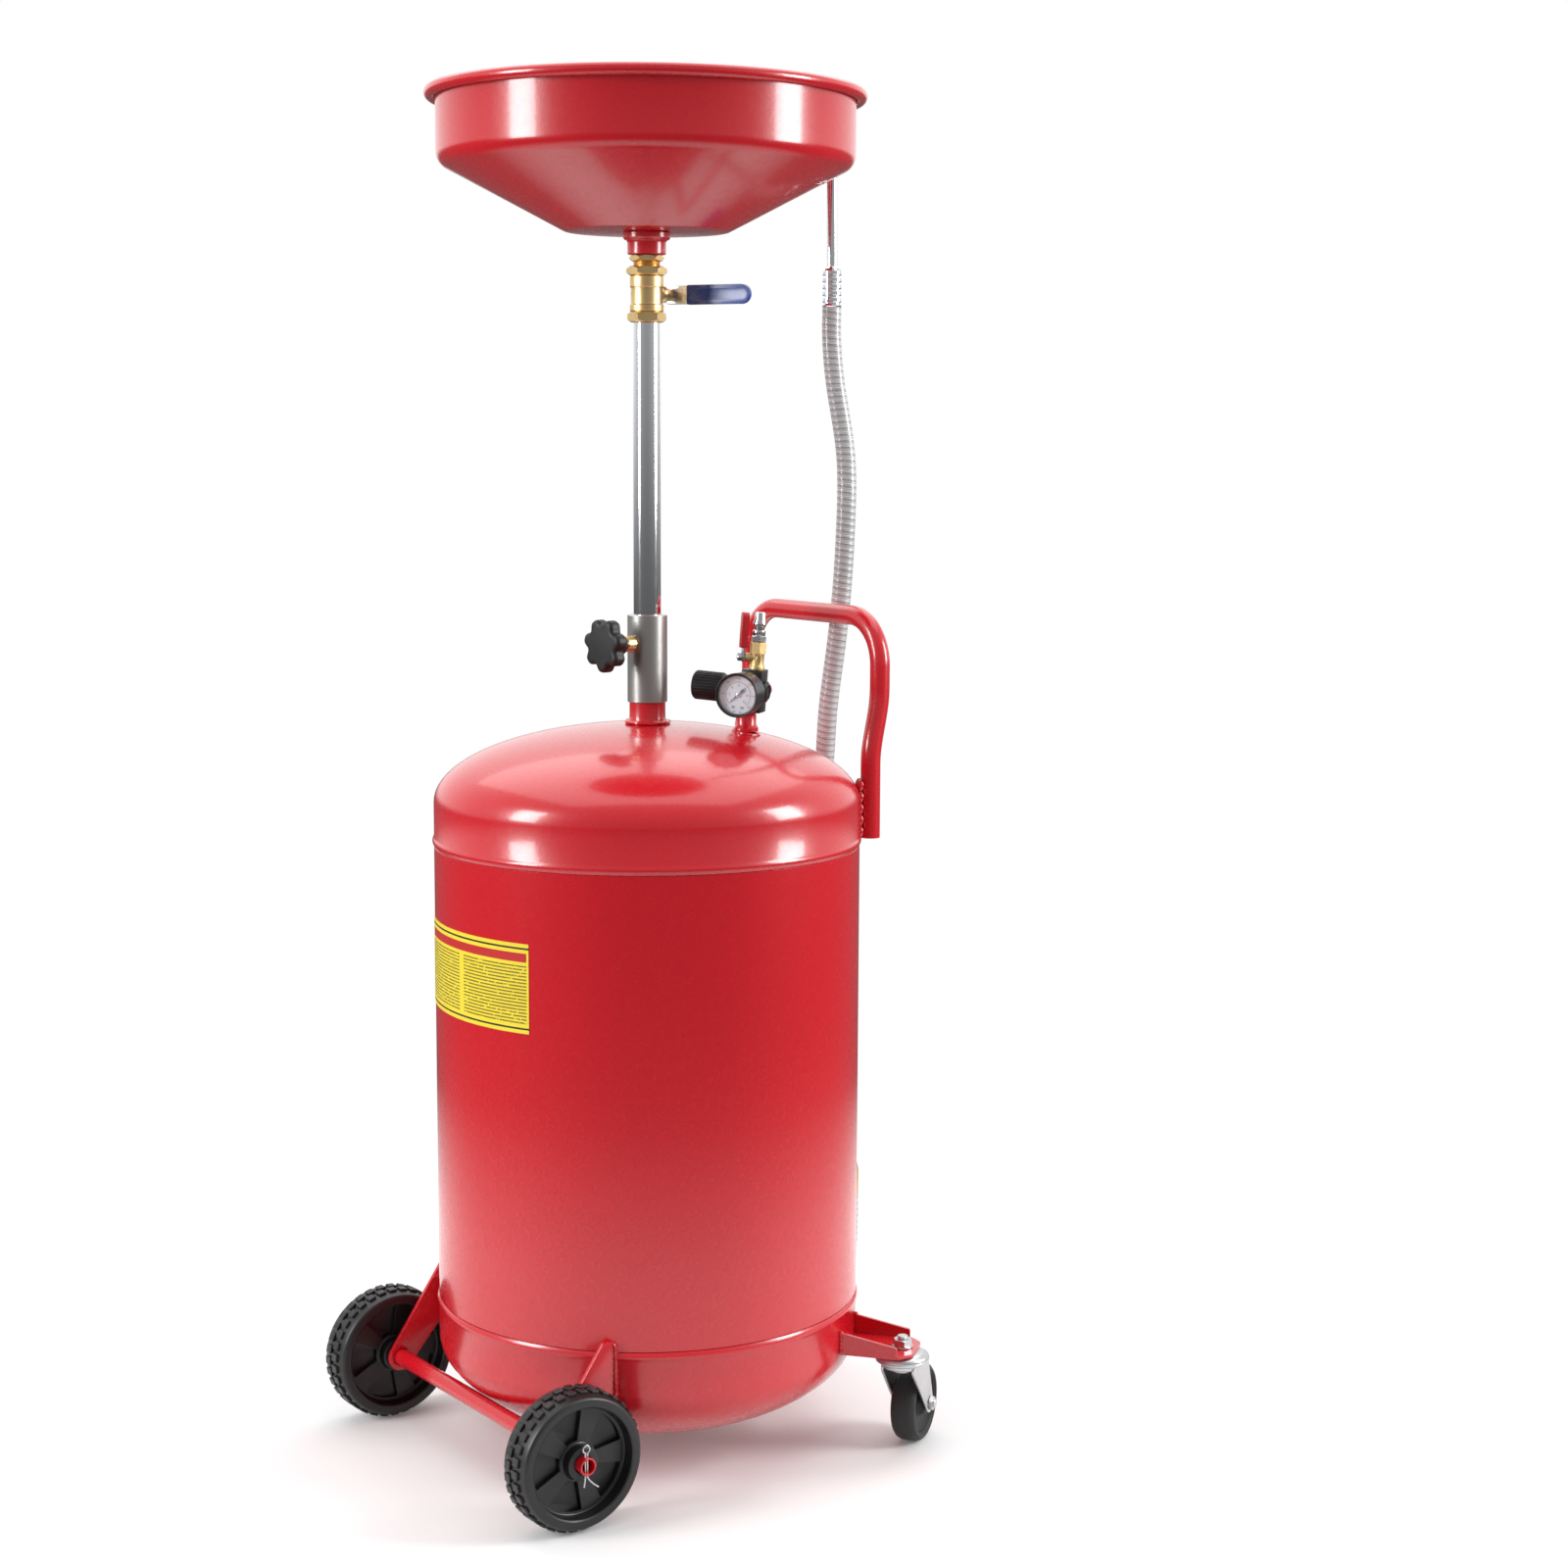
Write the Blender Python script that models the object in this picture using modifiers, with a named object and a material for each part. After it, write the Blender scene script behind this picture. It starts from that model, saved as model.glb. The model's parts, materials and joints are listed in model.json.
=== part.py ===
"""Portable air-operated waste-oil drain tank, modelled as separate solids.

A welded steel tank on two wheels and two swivel casters carries a telescoping column with a
drain bowl, a ball valve, an air regulator with its gauge, and a discharge hose with its wand.
Units are metres. The floor is z = 0, +X is the handle and caster side, and Y runs along the axle.
"""

import math

import bmesh
import bpy
from mathutils import Matrix, Vector

NAME = "waste_oil_drain_tank"

# Clearance between pieces that touch, and how round the turned pieces are.
GAP = 0.0003
TANK_STEPS = 48
SMALL_STEPS = 24
CUTTER_TWIST = 0.057

# Tank
TANK_X = 0.0012
TANK_RADIUS = 0.2000
TANK_WALL = 0.0030
LOWER_SEAM = 0.1410
UPPER_SEAM = 0.5720
HEAD_SKIRT = 0.0400
UPPER_HEAD_RISE = 0.0725
LOWER_HEAD_DROP = 0.0807
WELD_BUMP = 0.0016
DOME_TOP = UPPER_SEAM + HEAD_SKIRT + UPPER_HEAD_RISE

# Column
TUBE_RADIUS = 0.0127
TUBE_WALL = 0.0015
TUBE_FOOT = 0.3500
TUBE_TOP = 1.0551
SOCKET_RADIUS = 0.0168
SOCKET_TOP = 0.7043
COLLAR_RADIUS = 0.0186
COLLAR_TOP = 0.7864
PASSAGE_RADIUS = 0.0085

# Clamp knob on the collar
CLAMP_HEIGHT = 0.7600
CLAMP_DIRECTION = math.radians(-170.8)
CLAMP_SCREW_RADIUS = 0.0040
KNOB_RADIUS = 0.0250
KNOB_LOBES = 7
KNOB_BACK = 0.0447
KNOB_FACE = 0.0587

# Drain valve under the bowl
VALVE_BALL_HEIGHT = 1.0820
VALVE_STEM_DIRECTION = math.radians(27.2)
VALVE_BALL_RADIUS = 0.0098
VALVE_STEM_RADIUS = 0.0040
VALVE_LEVER_PLANE = 0.0450
VALVE_LEVER_REACH = 0.0840

# Drain bowl
BOWL_FLOOR = 1.1371
BOWL_FLOOR_RADIUS = 0.0709
BOWL_WALL_RADIUS = 0.1915
BOWL_SHEET = 0.0012
BOWL_RIM = 1.2582
BOWL_BEAD_RADIUS = 0.0055
BOWL_BEAD_AT = 0.1963

# Handle
HANDLE_TUBE_RADIUS = 0.0095
HANDLE_HALF_WIDTH = 0.1060
HANDLE_FOOT = 0.5740
HANDLE_LEAN_START = 0.6450
HANDLE_LEAN_END = 0.7150
HANDLE_TOP = 0.7825
HANDLE_TOP_X = 0.1930
HANDLE_BEND = 0.0450

# Rear wheels on their axle
WHEEL_RADIUS = 0.0635
WHEEL_WIDTH = 0.0380
WHEEL_OUTER_FACE = 0.1915
AXLE_X = -0.1900
AXLE_RADIUS = 0.0080
AXLE_HALF_LENGTH = 0.1990
COTTER_AT = 0.1950
PLATE_AT = 0.1485
PLATE_THICKNESS = 0.0040

# Casters
CASTER_ANGLE = math.radians(51.0)
CASTER_SWIVEL_AT = 0.2515
BRACKET_END = 0.2655
BRACKET_WIDTH = 0.0600
BRACKET_SHEET = 0.0030
BRACKET_FLOOR = 0.0990
CASTER_WHEEL_RADIUS = 0.0375
CASTER_WHEEL_WIDTH = 0.0250
CASTER_TRAIL = 0.0350
CASTER_TRAIL_ANGLE = math.radians(32.6)
CASTER_STEM_RADIUS = 0.0050
FORK_TOP = BRACKET_FLOOR - GAP

# Air regulator, its gauge and its valve
RISER_AT = (0.0722, -0.0584)
RISER_RADIUS = 0.0096
RISER_TOP = 0.6945
REGULATOR_AT = (0.0765, -0.0641)
REGULATOR_HEIGHT = 0.7163
REGULATOR_TURN = math.radians(-52.8)
REGULATOR_TILT = math.radians(4.0)
BLOCK_HALF = 0.0100
BLOCK_HALF_HEIGHT = 0.0200
GAUGE_RADIUS = 0.0205
GAUGE_BACK = 0.0240
GAUGE_FACE = 0.0520
GAUGE_FLOOR = 0.0450
AIR_VALVE_TURN = math.radians(-150.0)
AIR_STEM_HEIGHT = 0.0110
AIR_LEVER_PLANE = 0.0140

# Label, outlet and hose
LABEL_CENTRE = math.radians(178.5)
LABEL_SPAN = math.radians(54.0)
LABEL_LOW = 0.4250
LABEL_HIGH = 0.5060
OUTLET_Y = 0.0000
OUTLET_HEIGHT = 0.2300
HOSE_RADIUS = 0.0093
WAND_RADIUS = 0.0052
WAND_AT = 0.2085
WAND_INNER_AT = 0.1845
HOOK_HEIGHT = 1.2595
FERRULE_LOW = 1.0753
FERRULE_HIGH = 1.1135

RED_PAINT = ("red_paint", (0.62, 0.012, 0.022), 0.18, 0.0)
BRASS = ("brass", (0.72, 0.47, 0.16), 0.28, 1.0)
CHROME = ("chrome", (0.82, 0.83, 0.85), 0.08, 1.0)
STEEL = ("brushed_steel", (0.62, 0.61, 0.59), 0.32, 1.0)
ZINC = ("zinc_plate", (0.60, 0.61, 0.63), 0.28, 1.0)
BLACK_PLASTIC = ("black_plastic", (0.018, 0.018, 0.020), 0.35, 0.0)
BLACK_RUBBER = ("black_rubber", (0.020, 0.020, 0.022), 0.62, 0.0)
RED_VINYL = ("red_vinyl", (0.60, 0.010, 0.020), 0.30, 0.0)
BLUE_VINYL = ("blue_vinyl", (0.015, 0.070, 0.420), 0.32, 0.0)
DIAL_WHITE = ("dial_white", (0.86, 0.87, 0.90), 0.45, 0.0)
CLEAR = ("clear_plastic", (0.90, 0.92, 0.93), 0.05, 0.0)
YELLOW = ("label_yellow", (0.88, 0.72, 0.06), 0.40, 0.0)
HOSE_CLEAR = ("reinforced_hose", (0.62, 0.63, 0.64), 0.30, 0.0)


def clear_scene():
    """Remove every object that the file starts with."""
    for item in list(bpy.data.objects):
        bpy.data.objects.remove(item, do_unlink=True)


def new_collection(name):
    """Return a new collection linked to the scene."""
    collection = bpy.data.collections.new(name)
    bpy.context.scene.collection.children.link(collection)
    return collection


def get_material(spec):
    """Return the Principled material of a finish, made once."""
    name, colour, roughness, metallic = spec
    material = bpy.data.materials.get(name)
    if material is None:
        material = bpy.data.materials.new(name)
        material.use_nodes = True
        shader = material.node_tree.nodes["Principled BSDF"]
        shader.inputs["Base Color"].default_value = (*colour, 1.0)
        shader.inputs["Roughness"].default_value = roughness
        shader.inputs["Metallic"].default_value = metallic
        material.diffuse_color = (*colour, 1.0)
    return material


def add_empty(name, location, rotation=(0.0, 0.0, 0.0), parent=None):
    """Add an empty that carries the pieces of one assembly."""
    empty = bpy.data.objects.new(name, None)
    empty.location = location
    empty.rotation_euler = rotation
    empty.parent = parent
    PARTS.objects.link(empty)
    return empty


def add_object(name, data, spec, parent, location=(0.0, 0.0, 0.0), rotation=(0.0, 0.0, 0.0)):
    """Add one named piece with its finish."""
    item = bpy.data.objects.new(name, data)
    data.materials.append(get_material(spec))
    item.location = location
    item.rotation_euler = rotation
    item.parent = parent
    PARTS.objects.link(item)
    return item


def make_cutter(item):
    """Move an object that only shapes others to the cutters' collection."""
    PARTS.objects.unlink(item)
    CUTTERS.objects.link(item)
    item.hide_render = True
    item.display_type = "WIRE"
    return item


def smooth(item, angle=math.radians(35.0)):
    """Shade a round piece smooth and keep its corners sharp."""
    item.data.shade_smooth()
    item.data.set_sharp_from_angle(angle=angle)


def turned(name, profile, spec, parent, steps=SMALL_STEPS, twist=0.0, **place):
    """Turn a profile of (radius, height) points about local Z.

    A profile that starts and ends on the axis runs down its outer side. Any other profile is
    closed into a ring whose outer side also runs down. The twist is where its first edge lies.
    """
    mesh = bpy.data.meshes.new(name)
    on_axis = profile[0][0] == 0.0 and profile[-1][0] == 0.0
    x = math.cos(twist)
    y = math.sin(twist)
    points = [(radius * x, radius * y, height) for radius, height in profile]
    edges = [(index, index + 1) for index in range(len(points) - 1)]
    if not on_axis:
        edges.append((len(points) - 1, 0))
    mesh.from_pydata(points, edges, [])
    item = add_object(name, mesh, spec, parent, **place)
    screw = item.modifiers.new("turn", "SCREW")
    screw.steps = steps
    screw.render_steps = steps
    screw.use_merge_vertices = True
    screw.merge_threshold = 0.00001
    screw.use_smooth_shade = True
    return item


def ring_profile(inner, outer, low, high, edge=0.0):
    """Return the closed section of a plain ring, with its outer edges chamfered by edge."""
    if edge == 0.0:
        return [(outer, high), (outer, low), (inner, low), (inner, high)]
    return [
        (outer - edge, high),
        (outer, high - edge),
        (outer, low + edge),
        (outer - edge, low),
        (inner, low),
        (inner, high),
    ]


def rod_profile(radius, low, high, edge=0.0):
    """Return the section of a plain rod, with its edges chamfered by edge."""
    if edge == 0.0:
        return [(0.0, high), (radius, high), (radius, low), (0.0, low)]
    return [
        (0.0, high),
        (radius - edge, high),
        (radius, high - edge),
        (radius, low + edge),
        (radius - edge, low),
        (0.0, low),
    ]


def circle_points(radius, count, centre=(0.0, 0.0)):
    """Return the points of a circle in a plane."""
    turns = [math.tau * index / count for index in range(count)]
    return [(centre[0] + radius * math.cos(t), centre[1] + radius * math.sin(t)) for t in turns]


def arc_points(centre, radius, start, end, count):
    """Return points along an arc, both ends included; the angles are in degrees."""
    turns = [math.radians(start + (end - start) * index / (count - 1)) for index in range(count)]
    return [(centre[0] + radius * math.cos(t), centre[1] + radius * math.sin(t)) for t in turns]


def flat_curve(name, outlines, thickness):
    """Return a filled 2D curve of closed outlines, extruded both ways about its plane."""
    curve = bpy.data.curves.new(name, "CURVE")
    curve.dimensions = "2D"
    curve.fill_mode = "BOTH"
    curve.extrude = thickness / 2.0
    for outline in outlines:
        spline = curve.splines.new("POLY")
        spline.points.add(len(outline) - 1)
        for point, (x, y) in zip(spline.points, outline):
            point.co = (x, y, 0.0, 1.0)
        spline.use_cyclic_u = True
    return curve


def as_mesh(item):
    """Replace a curve object with the same shape as a closed mesh."""
    bpy.context.view_layer.update()
    evaluated = item.evaluated_get(bpy.context.evaluated_depsgraph_get())
    mesh = bpy.data.meshes.new_from_object(evaluated)
    work = bmesh.new()
    work.from_mesh(mesh)
    bmesh.ops.remove_doubles(work, verts=work.verts, dist=0.000001)
    bmesh.ops.recalc_face_normals(work, faces=work.faces)
    work.to_mesh(mesh)
    work.free()
    name = item.name
    parent = item.parent
    world = item.matrix_world.copy()
    curve = item.data
    bpy.data.objects.remove(item, do_unlink=True)
    bpy.data.curves.remove(curve)
    solid = bpy.data.objects.new(name, mesh)
    PARTS.objects.link(solid)
    solid.parent = parent
    solid.matrix_world = world
    return solid


def plate(name, outlines, thickness, spec, parent, **place):
    """Add a flat piece from closed outlines; further outlines inside the first are holes."""
    item = add_object(name, flat_curve(name, outlines, thickness), spec, parent, **place)
    return as_mesh(item)


def tube_along(name, points, radius, spec, parent, sides=2, closed=False, **place):
    """Add a round bar along a row of points, with filled ends or closed on itself."""
    curve = bpy.data.curves.new(name, "CURVE")
    curve.dimensions = "3D"
    curve.bevel_depth = radius
    curve.bevel_resolution = sides
    curve.use_fill_caps = True
    spline = curve.splines.new("POLY")
    spline.points.add(len(points) - 1)
    for point, place_of_point in zip(spline.points, points):
        point.co = (*place_of_point, 1.0)
    spline.use_cyclic_u = closed
    return add_object(name, curve, spec, parent, **place)


def through_points(route, spacing):
    """Return evenly spaced points on a smooth curve through the points of a route."""
    route = [Vector(point) for point in route]
    padded = [2.0 * route[0] - route[1], *route, 2.0 * route[-1] - route[-2]]
    fine = []
    for index in range(1, len(padded) - 2):
        before, start, end, after = padded[index - 1:index + 3]
        for part in range(40):
            t = part / 40.0
            fine.append(
                0.5
                * (
                    2.0 * start
                    + (end - before) * t
                    + (2.0 * before - 5.0 * start + 4.0 * end - after) * t**2
                    + (3.0 * start - before - 3.0 * end + after) * t**3
                )
            )
    fine.append(route[-1])
    length = sum((b - a).length for a, b in zip(fine, fine[1:]))
    count = max(2, round(length / spacing))
    step = length / count
    points = [fine[0]]
    walked = 0.0
    for a, b in zip(fine, fine[1:]):
        walked += (b - a).length
        if walked >= step * len(points) and len(points) < count:
            points.append(b)
    points.append(fine[-1])
    return points


def boolean(item, other, operation):
    """Join another object to a piece, or cut it out of the piece."""
    modifier = item.modifiers.new(operation.lower(), "BOOLEAN")
    modifier.operation = operation
    modifier.object = other
    if CUTTERS not in other.users_collection:
        make_cutter(other)


def turned_cutter(name, profile, parent, steps=SMALL_STEPS, twist=CUTTER_TWIST, **place):
    """Return a turned object that only shapes others, its edges clear of the edges that it cuts."""
    return make_cutter(turned(name, profile, STEEL, parent, steps, twist, **place))


def hexagon(flats, turn=0.0):
    """Return the corners of a hexagon from its distance across flats."""
    radius = flats / math.sqrt(3.0)
    turns = [turn + math.radians(60.0 * index) for index in range(6)]
    return [(radius * math.cos(t), radius * math.sin(t)) for t in turns]


def aimed(direction):
    """Return the rotation that points local Z along a direction."""
    return Vector(direction).to_track_quat("Z", "Y").to_euler()


def head_outline(rise, offset=0.0):
    """Return the outer line of a dished head from its skirt's end to its crown."""
    radius = TANK_RADIUS + offset
    turns = [math.radians(angle) for angle in (0, 16, 30, 44, 58, 71, 82)]
    line = [(radius * math.cos(t), HEAD_SKIRT + (rise + offset) * math.sin(t)) for t in turns]
    return line


def head_profile(rise, hole):
    """Return the section of a head, seam down, with a round hole at its crown."""
    outer = head_outline(rise)
    inner = head_outline(rise, -TANK_WALL)[::2]
    crown = HEAD_SKIRT + rise
    seam = [
        (TANK_RADIUS, 0.0085),
        (TANK_RADIUS + WELD_BUMP, 0.0055),
        (TANK_RADIUS + WELD_BUMP, 0.0020),
        (TANK_RADIUS, 0.0),
        (TANK_RADIUS - TANK_WALL, 0.0),
    ]
    return [(hole, crown), *reversed(outer), *seam, *inner, (hole, crown - TANK_WALL)]


def add_tank(root):
    """Make the rolled barrel and the two dished heads."""
    turned(
        "tank_barrel",
        ring_profile(TANK_RADIUS - TANK_WALL, TANK_RADIUS, LOWER_SEAM + GAP, UPPER_SEAM - GAP),
        RED_PAINT,
        root,
        TANK_STEPS,
    )
    upper = head_profile(UPPER_HEAD_RISE, TUBE_RADIUS + 0.0008)
    turned("upper_head", upper, RED_PAINT, root, TANK_STEPS, location=(0.0, 0.0, UPPER_SEAM))
    lower = head_profile(LOWER_HEAD_DROP, 0.0)
    turned(
        "lower_head",
        lower,
        RED_PAINT,
        root,
        TANK_STEPS,
        location=(0.0, 0.0, LOWER_SEAM),
        rotation=(math.pi, 0.0, 0.0),
    )


def add_tank_envelope(root):
    """Return the tank's outer shape with its clearance, which cuts the pieces welded to it."""
    clear = 1.3 * GAP
    upper = [(r, UPPER_SEAM + z) for r, z in head_outline(UPPER_HEAD_RISE, clear)]
    lower = [(r, LOWER_SEAM - z) for r, z in head_outline(LOWER_HEAD_DROP, clear)]
    bump = WELD_BUMP + clear
    profile = [
        (0.0, DOME_TOP + clear),
        *reversed(upper),
        (TANK_RADIUS + bump, UPPER_SEAM + 0.0090),
        (TANK_RADIUS + bump, UPPER_SEAM),
        (TANK_RADIUS + clear, UPPER_SEAM),
        (TANK_RADIUS + clear, LOWER_SEAM),
        (TANK_RADIUS + bump, LOWER_SEAM),
        (TANK_RADIUS + bump, LOWER_SEAM - 0.0090),
        *lower,
        (0.0, LOWER_SEAM - HEAD_SKIRT - LOWER_HEAD_DROP - clear),
    ]
    return turned_cutter("tank_envelope", profile, root, TANK_STEPS, 0.0)


def add_column_socket(root):
    """Make the pipe welded on the crown and the clamp collar screwed on it."""
    low = DOME_TOP + GAP
    inner = TUBE_RADIUS + 0.0008
    socket = [
        (SOCKET_RADIUS, SOCKET_TOP),
        (SOCKET_RADIUS, low + 0.0045),
        (SOCKET_RADIUS + 0.0040, low + 0.0015),
        (SOCKET_RADIUS + 0.0040, low),
        (inner, low),
        (inner, SOCKET_TOP),
    ]
    turned("column_socket", socket, RED_PAINT, root)
    profile = ring_profile(TUBE_RADIUS + 0.0006, COLLAR_RADIUS, SOCKET_TOP + GAP, COLLAR_TOP, 0.0008)
    collar = turned("clamp_collar", profile, STEEL, root)
    drill = turned_cutter(
        "clamp_drill",
        rod_profile(CLAMP_SCREW_RADIUS + 0.0006, 0.0, 0.0300),
        root,
        16,
        location=(0.0, 0.0, CLAMP_HEIGHT),
        rotation=aimed((math.cos(CLAMP_DIRECTION), math.sin(CLAMP_DIRECTION), 0.0)),
    )
    boolean(collar, drill, "DIFFERENCE")


def lobed_outline(radius, dip, lobes, per_lobe=6):
    """Return the outline of a hand knob, whose edge waves between its lobes."""
    points = []
    for index in range(lobes * per_lobe):
        turn = math.tau * index / (lobes * per_lobe)
        wave = 0.5 - 0.5 * math.cos(lobes * turn)
        reach = radius - dip * (1.0 - wave) ** 2
        points.append((reach * math.cos(turn), reach * math.sin(turn)))
    return points


def add_clamp(root):
    """Make the knob, its screw and the bush that guides the screw."""
    direction = (math.cos(CLAMP_DIRECTION), math.sin(CLAMP_DIRECTION), 0.0)
    clamp = add_empty("clamp_axis", (0.0, 0.0, CLAMP_HEIGHT), aimed(direction), root)
    turned(
        "clamp_bush",
        ring_profile(CLAMP_SCREW_RADIUS + 0.0006, 0.0075, COLLAR_RADIUS + GAP, 0.0290, 0.0006),
        BRASS,
        clamp,
        16,
    )
    turned(
        "clamp_screw",
        rod_profile(CLAMP_SCREW_RADIUS, TUBE_RADIUS + 0.0004, KNOB_BACK - 0.0120 - GAP),
        STEEL,
        clamp,
        16,
    )
    knob = plate(
        "clamp_knob",
        [lobed_outline(KNOB_RADIUS, 0.0042, KNOB_LOBES)],
        KNOB_FACE - KNOB_BACK,
        BLACK_PLASTIC,
        clamp,
        location=(0.0, 0.0, (KNOB_FACE + KNOB_BACK) / 2.0),
    )
    neck = turned_cutter("knob_neck", rod_profile(0.0100, KNOB_BACK - 0.0120, KNOB_BACK + 0.0040), clamp)
    boolean(knob, neck, "UNION")


def add_column(root):
    """Make the tube, the ball valve's body and the fittings up to the bowl."""
    column = add_empty("column_axis", (0.0, 0.0, 0.0), parent=root)
    tube = ring_profile(TUBE_RADIUS - TUBE_WALL, TUBE_RADIUS, TUBE_FOOT, TUBE_TOP)
    turned("column_tube", tube, CHROME, column)
    add_drain_valve_body(column)
    nut = turned_hex("drain_valve_nut", ((1.0979, 1.1060, 0.0326),), (), PASSAGE_RADIUS, BRASS, column)
    smooth(nut)
    turned_hex(
        "bowl_nipple",
        ((1.1105, 1.1164, 0.0277),),
        ((1.1063, 1.1110, 0.0118),),
        PASSAGE_RADIUS,
        BRASS,
        column,
    )
    socket = [
        (0.0219, BOWL_FLOOR - GAP),
        (0.0219, 1.1308),
        (0.0179, 1.1308),
        (0.0179, 1.1167),
        (PASSAGE_RADIUS, 1.1167),
        (PASSAGE_RADIUS, BOWL_FLOOR - GAP),
    ]
    turned("bowl_socket", socket, RED_PAINT, column)
    add_bowl(column)


def turned_hex(name, hexes, rounds, bore, spec, parent, **place):
    """Make a fitting from hexagonal and round sections (low, high, size) with a bore through it."""
    sections = []
    for index, (low, high, flats) in enumerate(hexes):
        shape = plate(
            f"{name}_hex{index}",
            [hexagon(flats)],
            high - low,
            spec,
            parent,
            **place,
        )
        shape.matrix_world = shape.matrix_world @ Matrix.Translation((0.0, 0.0, (low + high) / 2.0))
        sections.append(shape)
    for index, (low, high, radius) in enumerate(rounds):
        shape = turned(f"{name}_round{index}", rod_profile(radius, low, high), spec, parent, **place)
        sections.append(shape)
    body = sections[0]
    body.name = name
    for other in sections[1:]:
        boolean(body, other, "UNION")
    lowest = min(low for low, high, size in (*hexes, *rounds)) - 0.01
    highest = max(high for low, high, size in (*hexes, *rounds)) + 0.01
    drill = turned_cutter(f"{name}_bore", rod_profile(bore, lowest, highest), parent, **place)
    boolean(body, drill, "DIFFERENCE")
    return body


def add_drain_valve_body(column):
    """Make the valve's forged body: hexagon foot, ball chamber and the neck for the stem."""
    chamber = VALVE_BALL_RADIUS + 0.0005
    low = 1.0640
    high = 1.0976
    section = [
        (0.0140, high),
        (0.0150, high - 0.0010),
        (0.0150, low),
        (PASSAGE_RADIUS, low),
        (PASSAGE_RADIUS, VALVE_BALL_HEIGHT - chamber),
        (chamber, VALVE_BALL_HEIGHT - chamber),
        (chamber, VALVE_BALL_HEIGHT + chamber),
        (PASSAGE_RADIUS, VALVE_BALL_HEIGHT + chamber),
        (PASSAGE_RADIUS, high),
    ]
    body = turned("drain_valve_body", section, BRASS, column)
    foot_thickness = 0.0098
    foot = plate(
        "valve_foot",
        [hexagon(0.0310), circle_points(PASSAGE_RADIUS + GAP, SMALL_STEPS)],
        foot_thickness,
        BRASS,
        column,
        location=(0.0, 0.0, TUBE_TOP + GAP + foot_thickness / 2.0),
    )
    boolean(body, foot, "UNION")
    direction = (math.cos(VALVE_STEM_DIRECTION), math.sin(VALVE_STEM_DIRECTION), 0.0)
    place = {"location": (0.0, 0.0, VALVE_BALL_HEIGHT), "rotation": aimed(direction)}
    neck = turned_cutter("valve_neck", rod_profile(0.0075, 0.0125, 0.0400), column, 16, **place)
    boolean(body, neck, "UNION")
    hole = rod_profile(VALVE_STEM_RADIUS + GAP, 0.0060, 0.0500)
    boolean(body, turned_cutter("valve_stem_hole", hole, column, 18, **place), "DIFFERENCE")


def add_bowl(column):
    """Make the spun drain bowl with its rolled rim."""
    bead = arc_points((BOWL_BEAD_AT, BOWL_RIM), BOWL_BEAD_RADIUS, 150.0, -135.0, 9)
    knuckle = arc_points((0.1765, 1.2065), 0.0150, 0.0, -60.0, 4)
    outer = [*bead, (BOWL_WALL_RADIUS, 1.2500), *knuckle]
    inner_knuckle = arc_points((0.1765, 1.2065), 0.0150 - BOWL_SHEET, -60.0, 0.0, 4)
    hole = 0.0120
    profile = [
        *outer,
        (BOWL_FLOOR_RADIUS, BOWL_FLOOR),
        (hole, BOWL_FLOOR),
        (hole, BOWL_FLOOR + BOWL_SHEET),
        (BOWL_FLOOR_RADIUS - 0.0004, BOWL_FLOOR + BOWL_SHEET),
        *inner_knuckle,
        (BOWL_WALL_RADIUS - BOWL_SHEET, 1.2560),
    ]
    turned("drain_bowl", profile, RED_PAINT, column, TANK_STEPS)


def add_lever(name, axis, plane, size, grip_spec):
    """Make a valve lever along local X: its bare strap, dipped grip and nut, turning about local Z."""
    strap_width, strap_thickness, strap_end, grip_width, grip_thickness, reach, hole = size
    half = strap_width / 2.0
    strap = [
        *arc_points((0.0, 0.0), half, 90.0, 270.0, 9),
        (strap_end, -half),
        (strap_end, half),
    ]
    plate(
        f"{name}_strap",
        [strap, circle_points(hole + GAP, 12)],
        strap_thickness,
        CHROME,
        axis,
        location=(0.0, 0.0, plane),
    )
    grip_half = grip_width / 2.0
    low = strap_end + GAP
    grip = [
        (low, grip_half),
        (low, -grip_half),
        *arc_points((reach - grip_half, 0.0), grip_half, -90.0, 90.0, 9),
    ]
    plate(f"{name}_grip", [grip], grip_thickness, grip_spec, axis, location=(0.0, 0.0, plane))


def add_drain_lever(root):
    """Make the drain valve's ball with its stem, the blue lever and its nut."""
    column = bpy.data.objects["column_axis"]
    out = Vector((math.cos(VALVE_STEM_DIRECTION), math.sin(VALVE_STEM_DIRECTION), 0.0))
    along = Vector((0.0, 0.0, 1.0)).cross(out) * -1.0
    turn = Matrix((along, out.cross(along), out)).transposed()
    axis = add_empty("drain_lever_axis", (0.0, 0.0, VALVE_BALL_HEIGHT), turn.to_euler(), column)
    ball = turned("drain_ball", ball_profile(VALVE_BALL_RADIUS), CHROME, axis, 16)
    stem_end = VALVE_LEVER_PLANE + 0.0090
    stem = turned_cutter("drain_stem", rod_profile(VALVE_STEM_RADIUS, 0.0050, stem_end), axis, 12)
    boolean(ball, stem, "UNION")
    bore = turned_cutter(
        "drain_ball_bore",
        rod_profile(0.0060, -0.0200, 0.0200),
        axis,
        16,
        rotation=(0.0, math.pi / 2.0, 0.0),
    )
    boolean(ball, bore, "DIFFERENCE")
    size = (0.0170, 0.0025, 0.0180, 0.0180, 0.0050, VALVE_LEVER_REACH, VALVE_STEM_RADIUS)
    add_lever("drain_lever", axis, VALVE_LEVER_PLANE, size, BLUE_VINYL)
    plate(
        "drain_lever_nut",
        [hexagon(0.0120), circle_points(VALVE_STEM_RADIUS + GAP, 12)],
        0.0050,
        ZINC,
        axis,
        location=(0.0, 0.0, VALVE_LEVER_PLANE + 0.00125 + GAP + 0.0025),
    )


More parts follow.
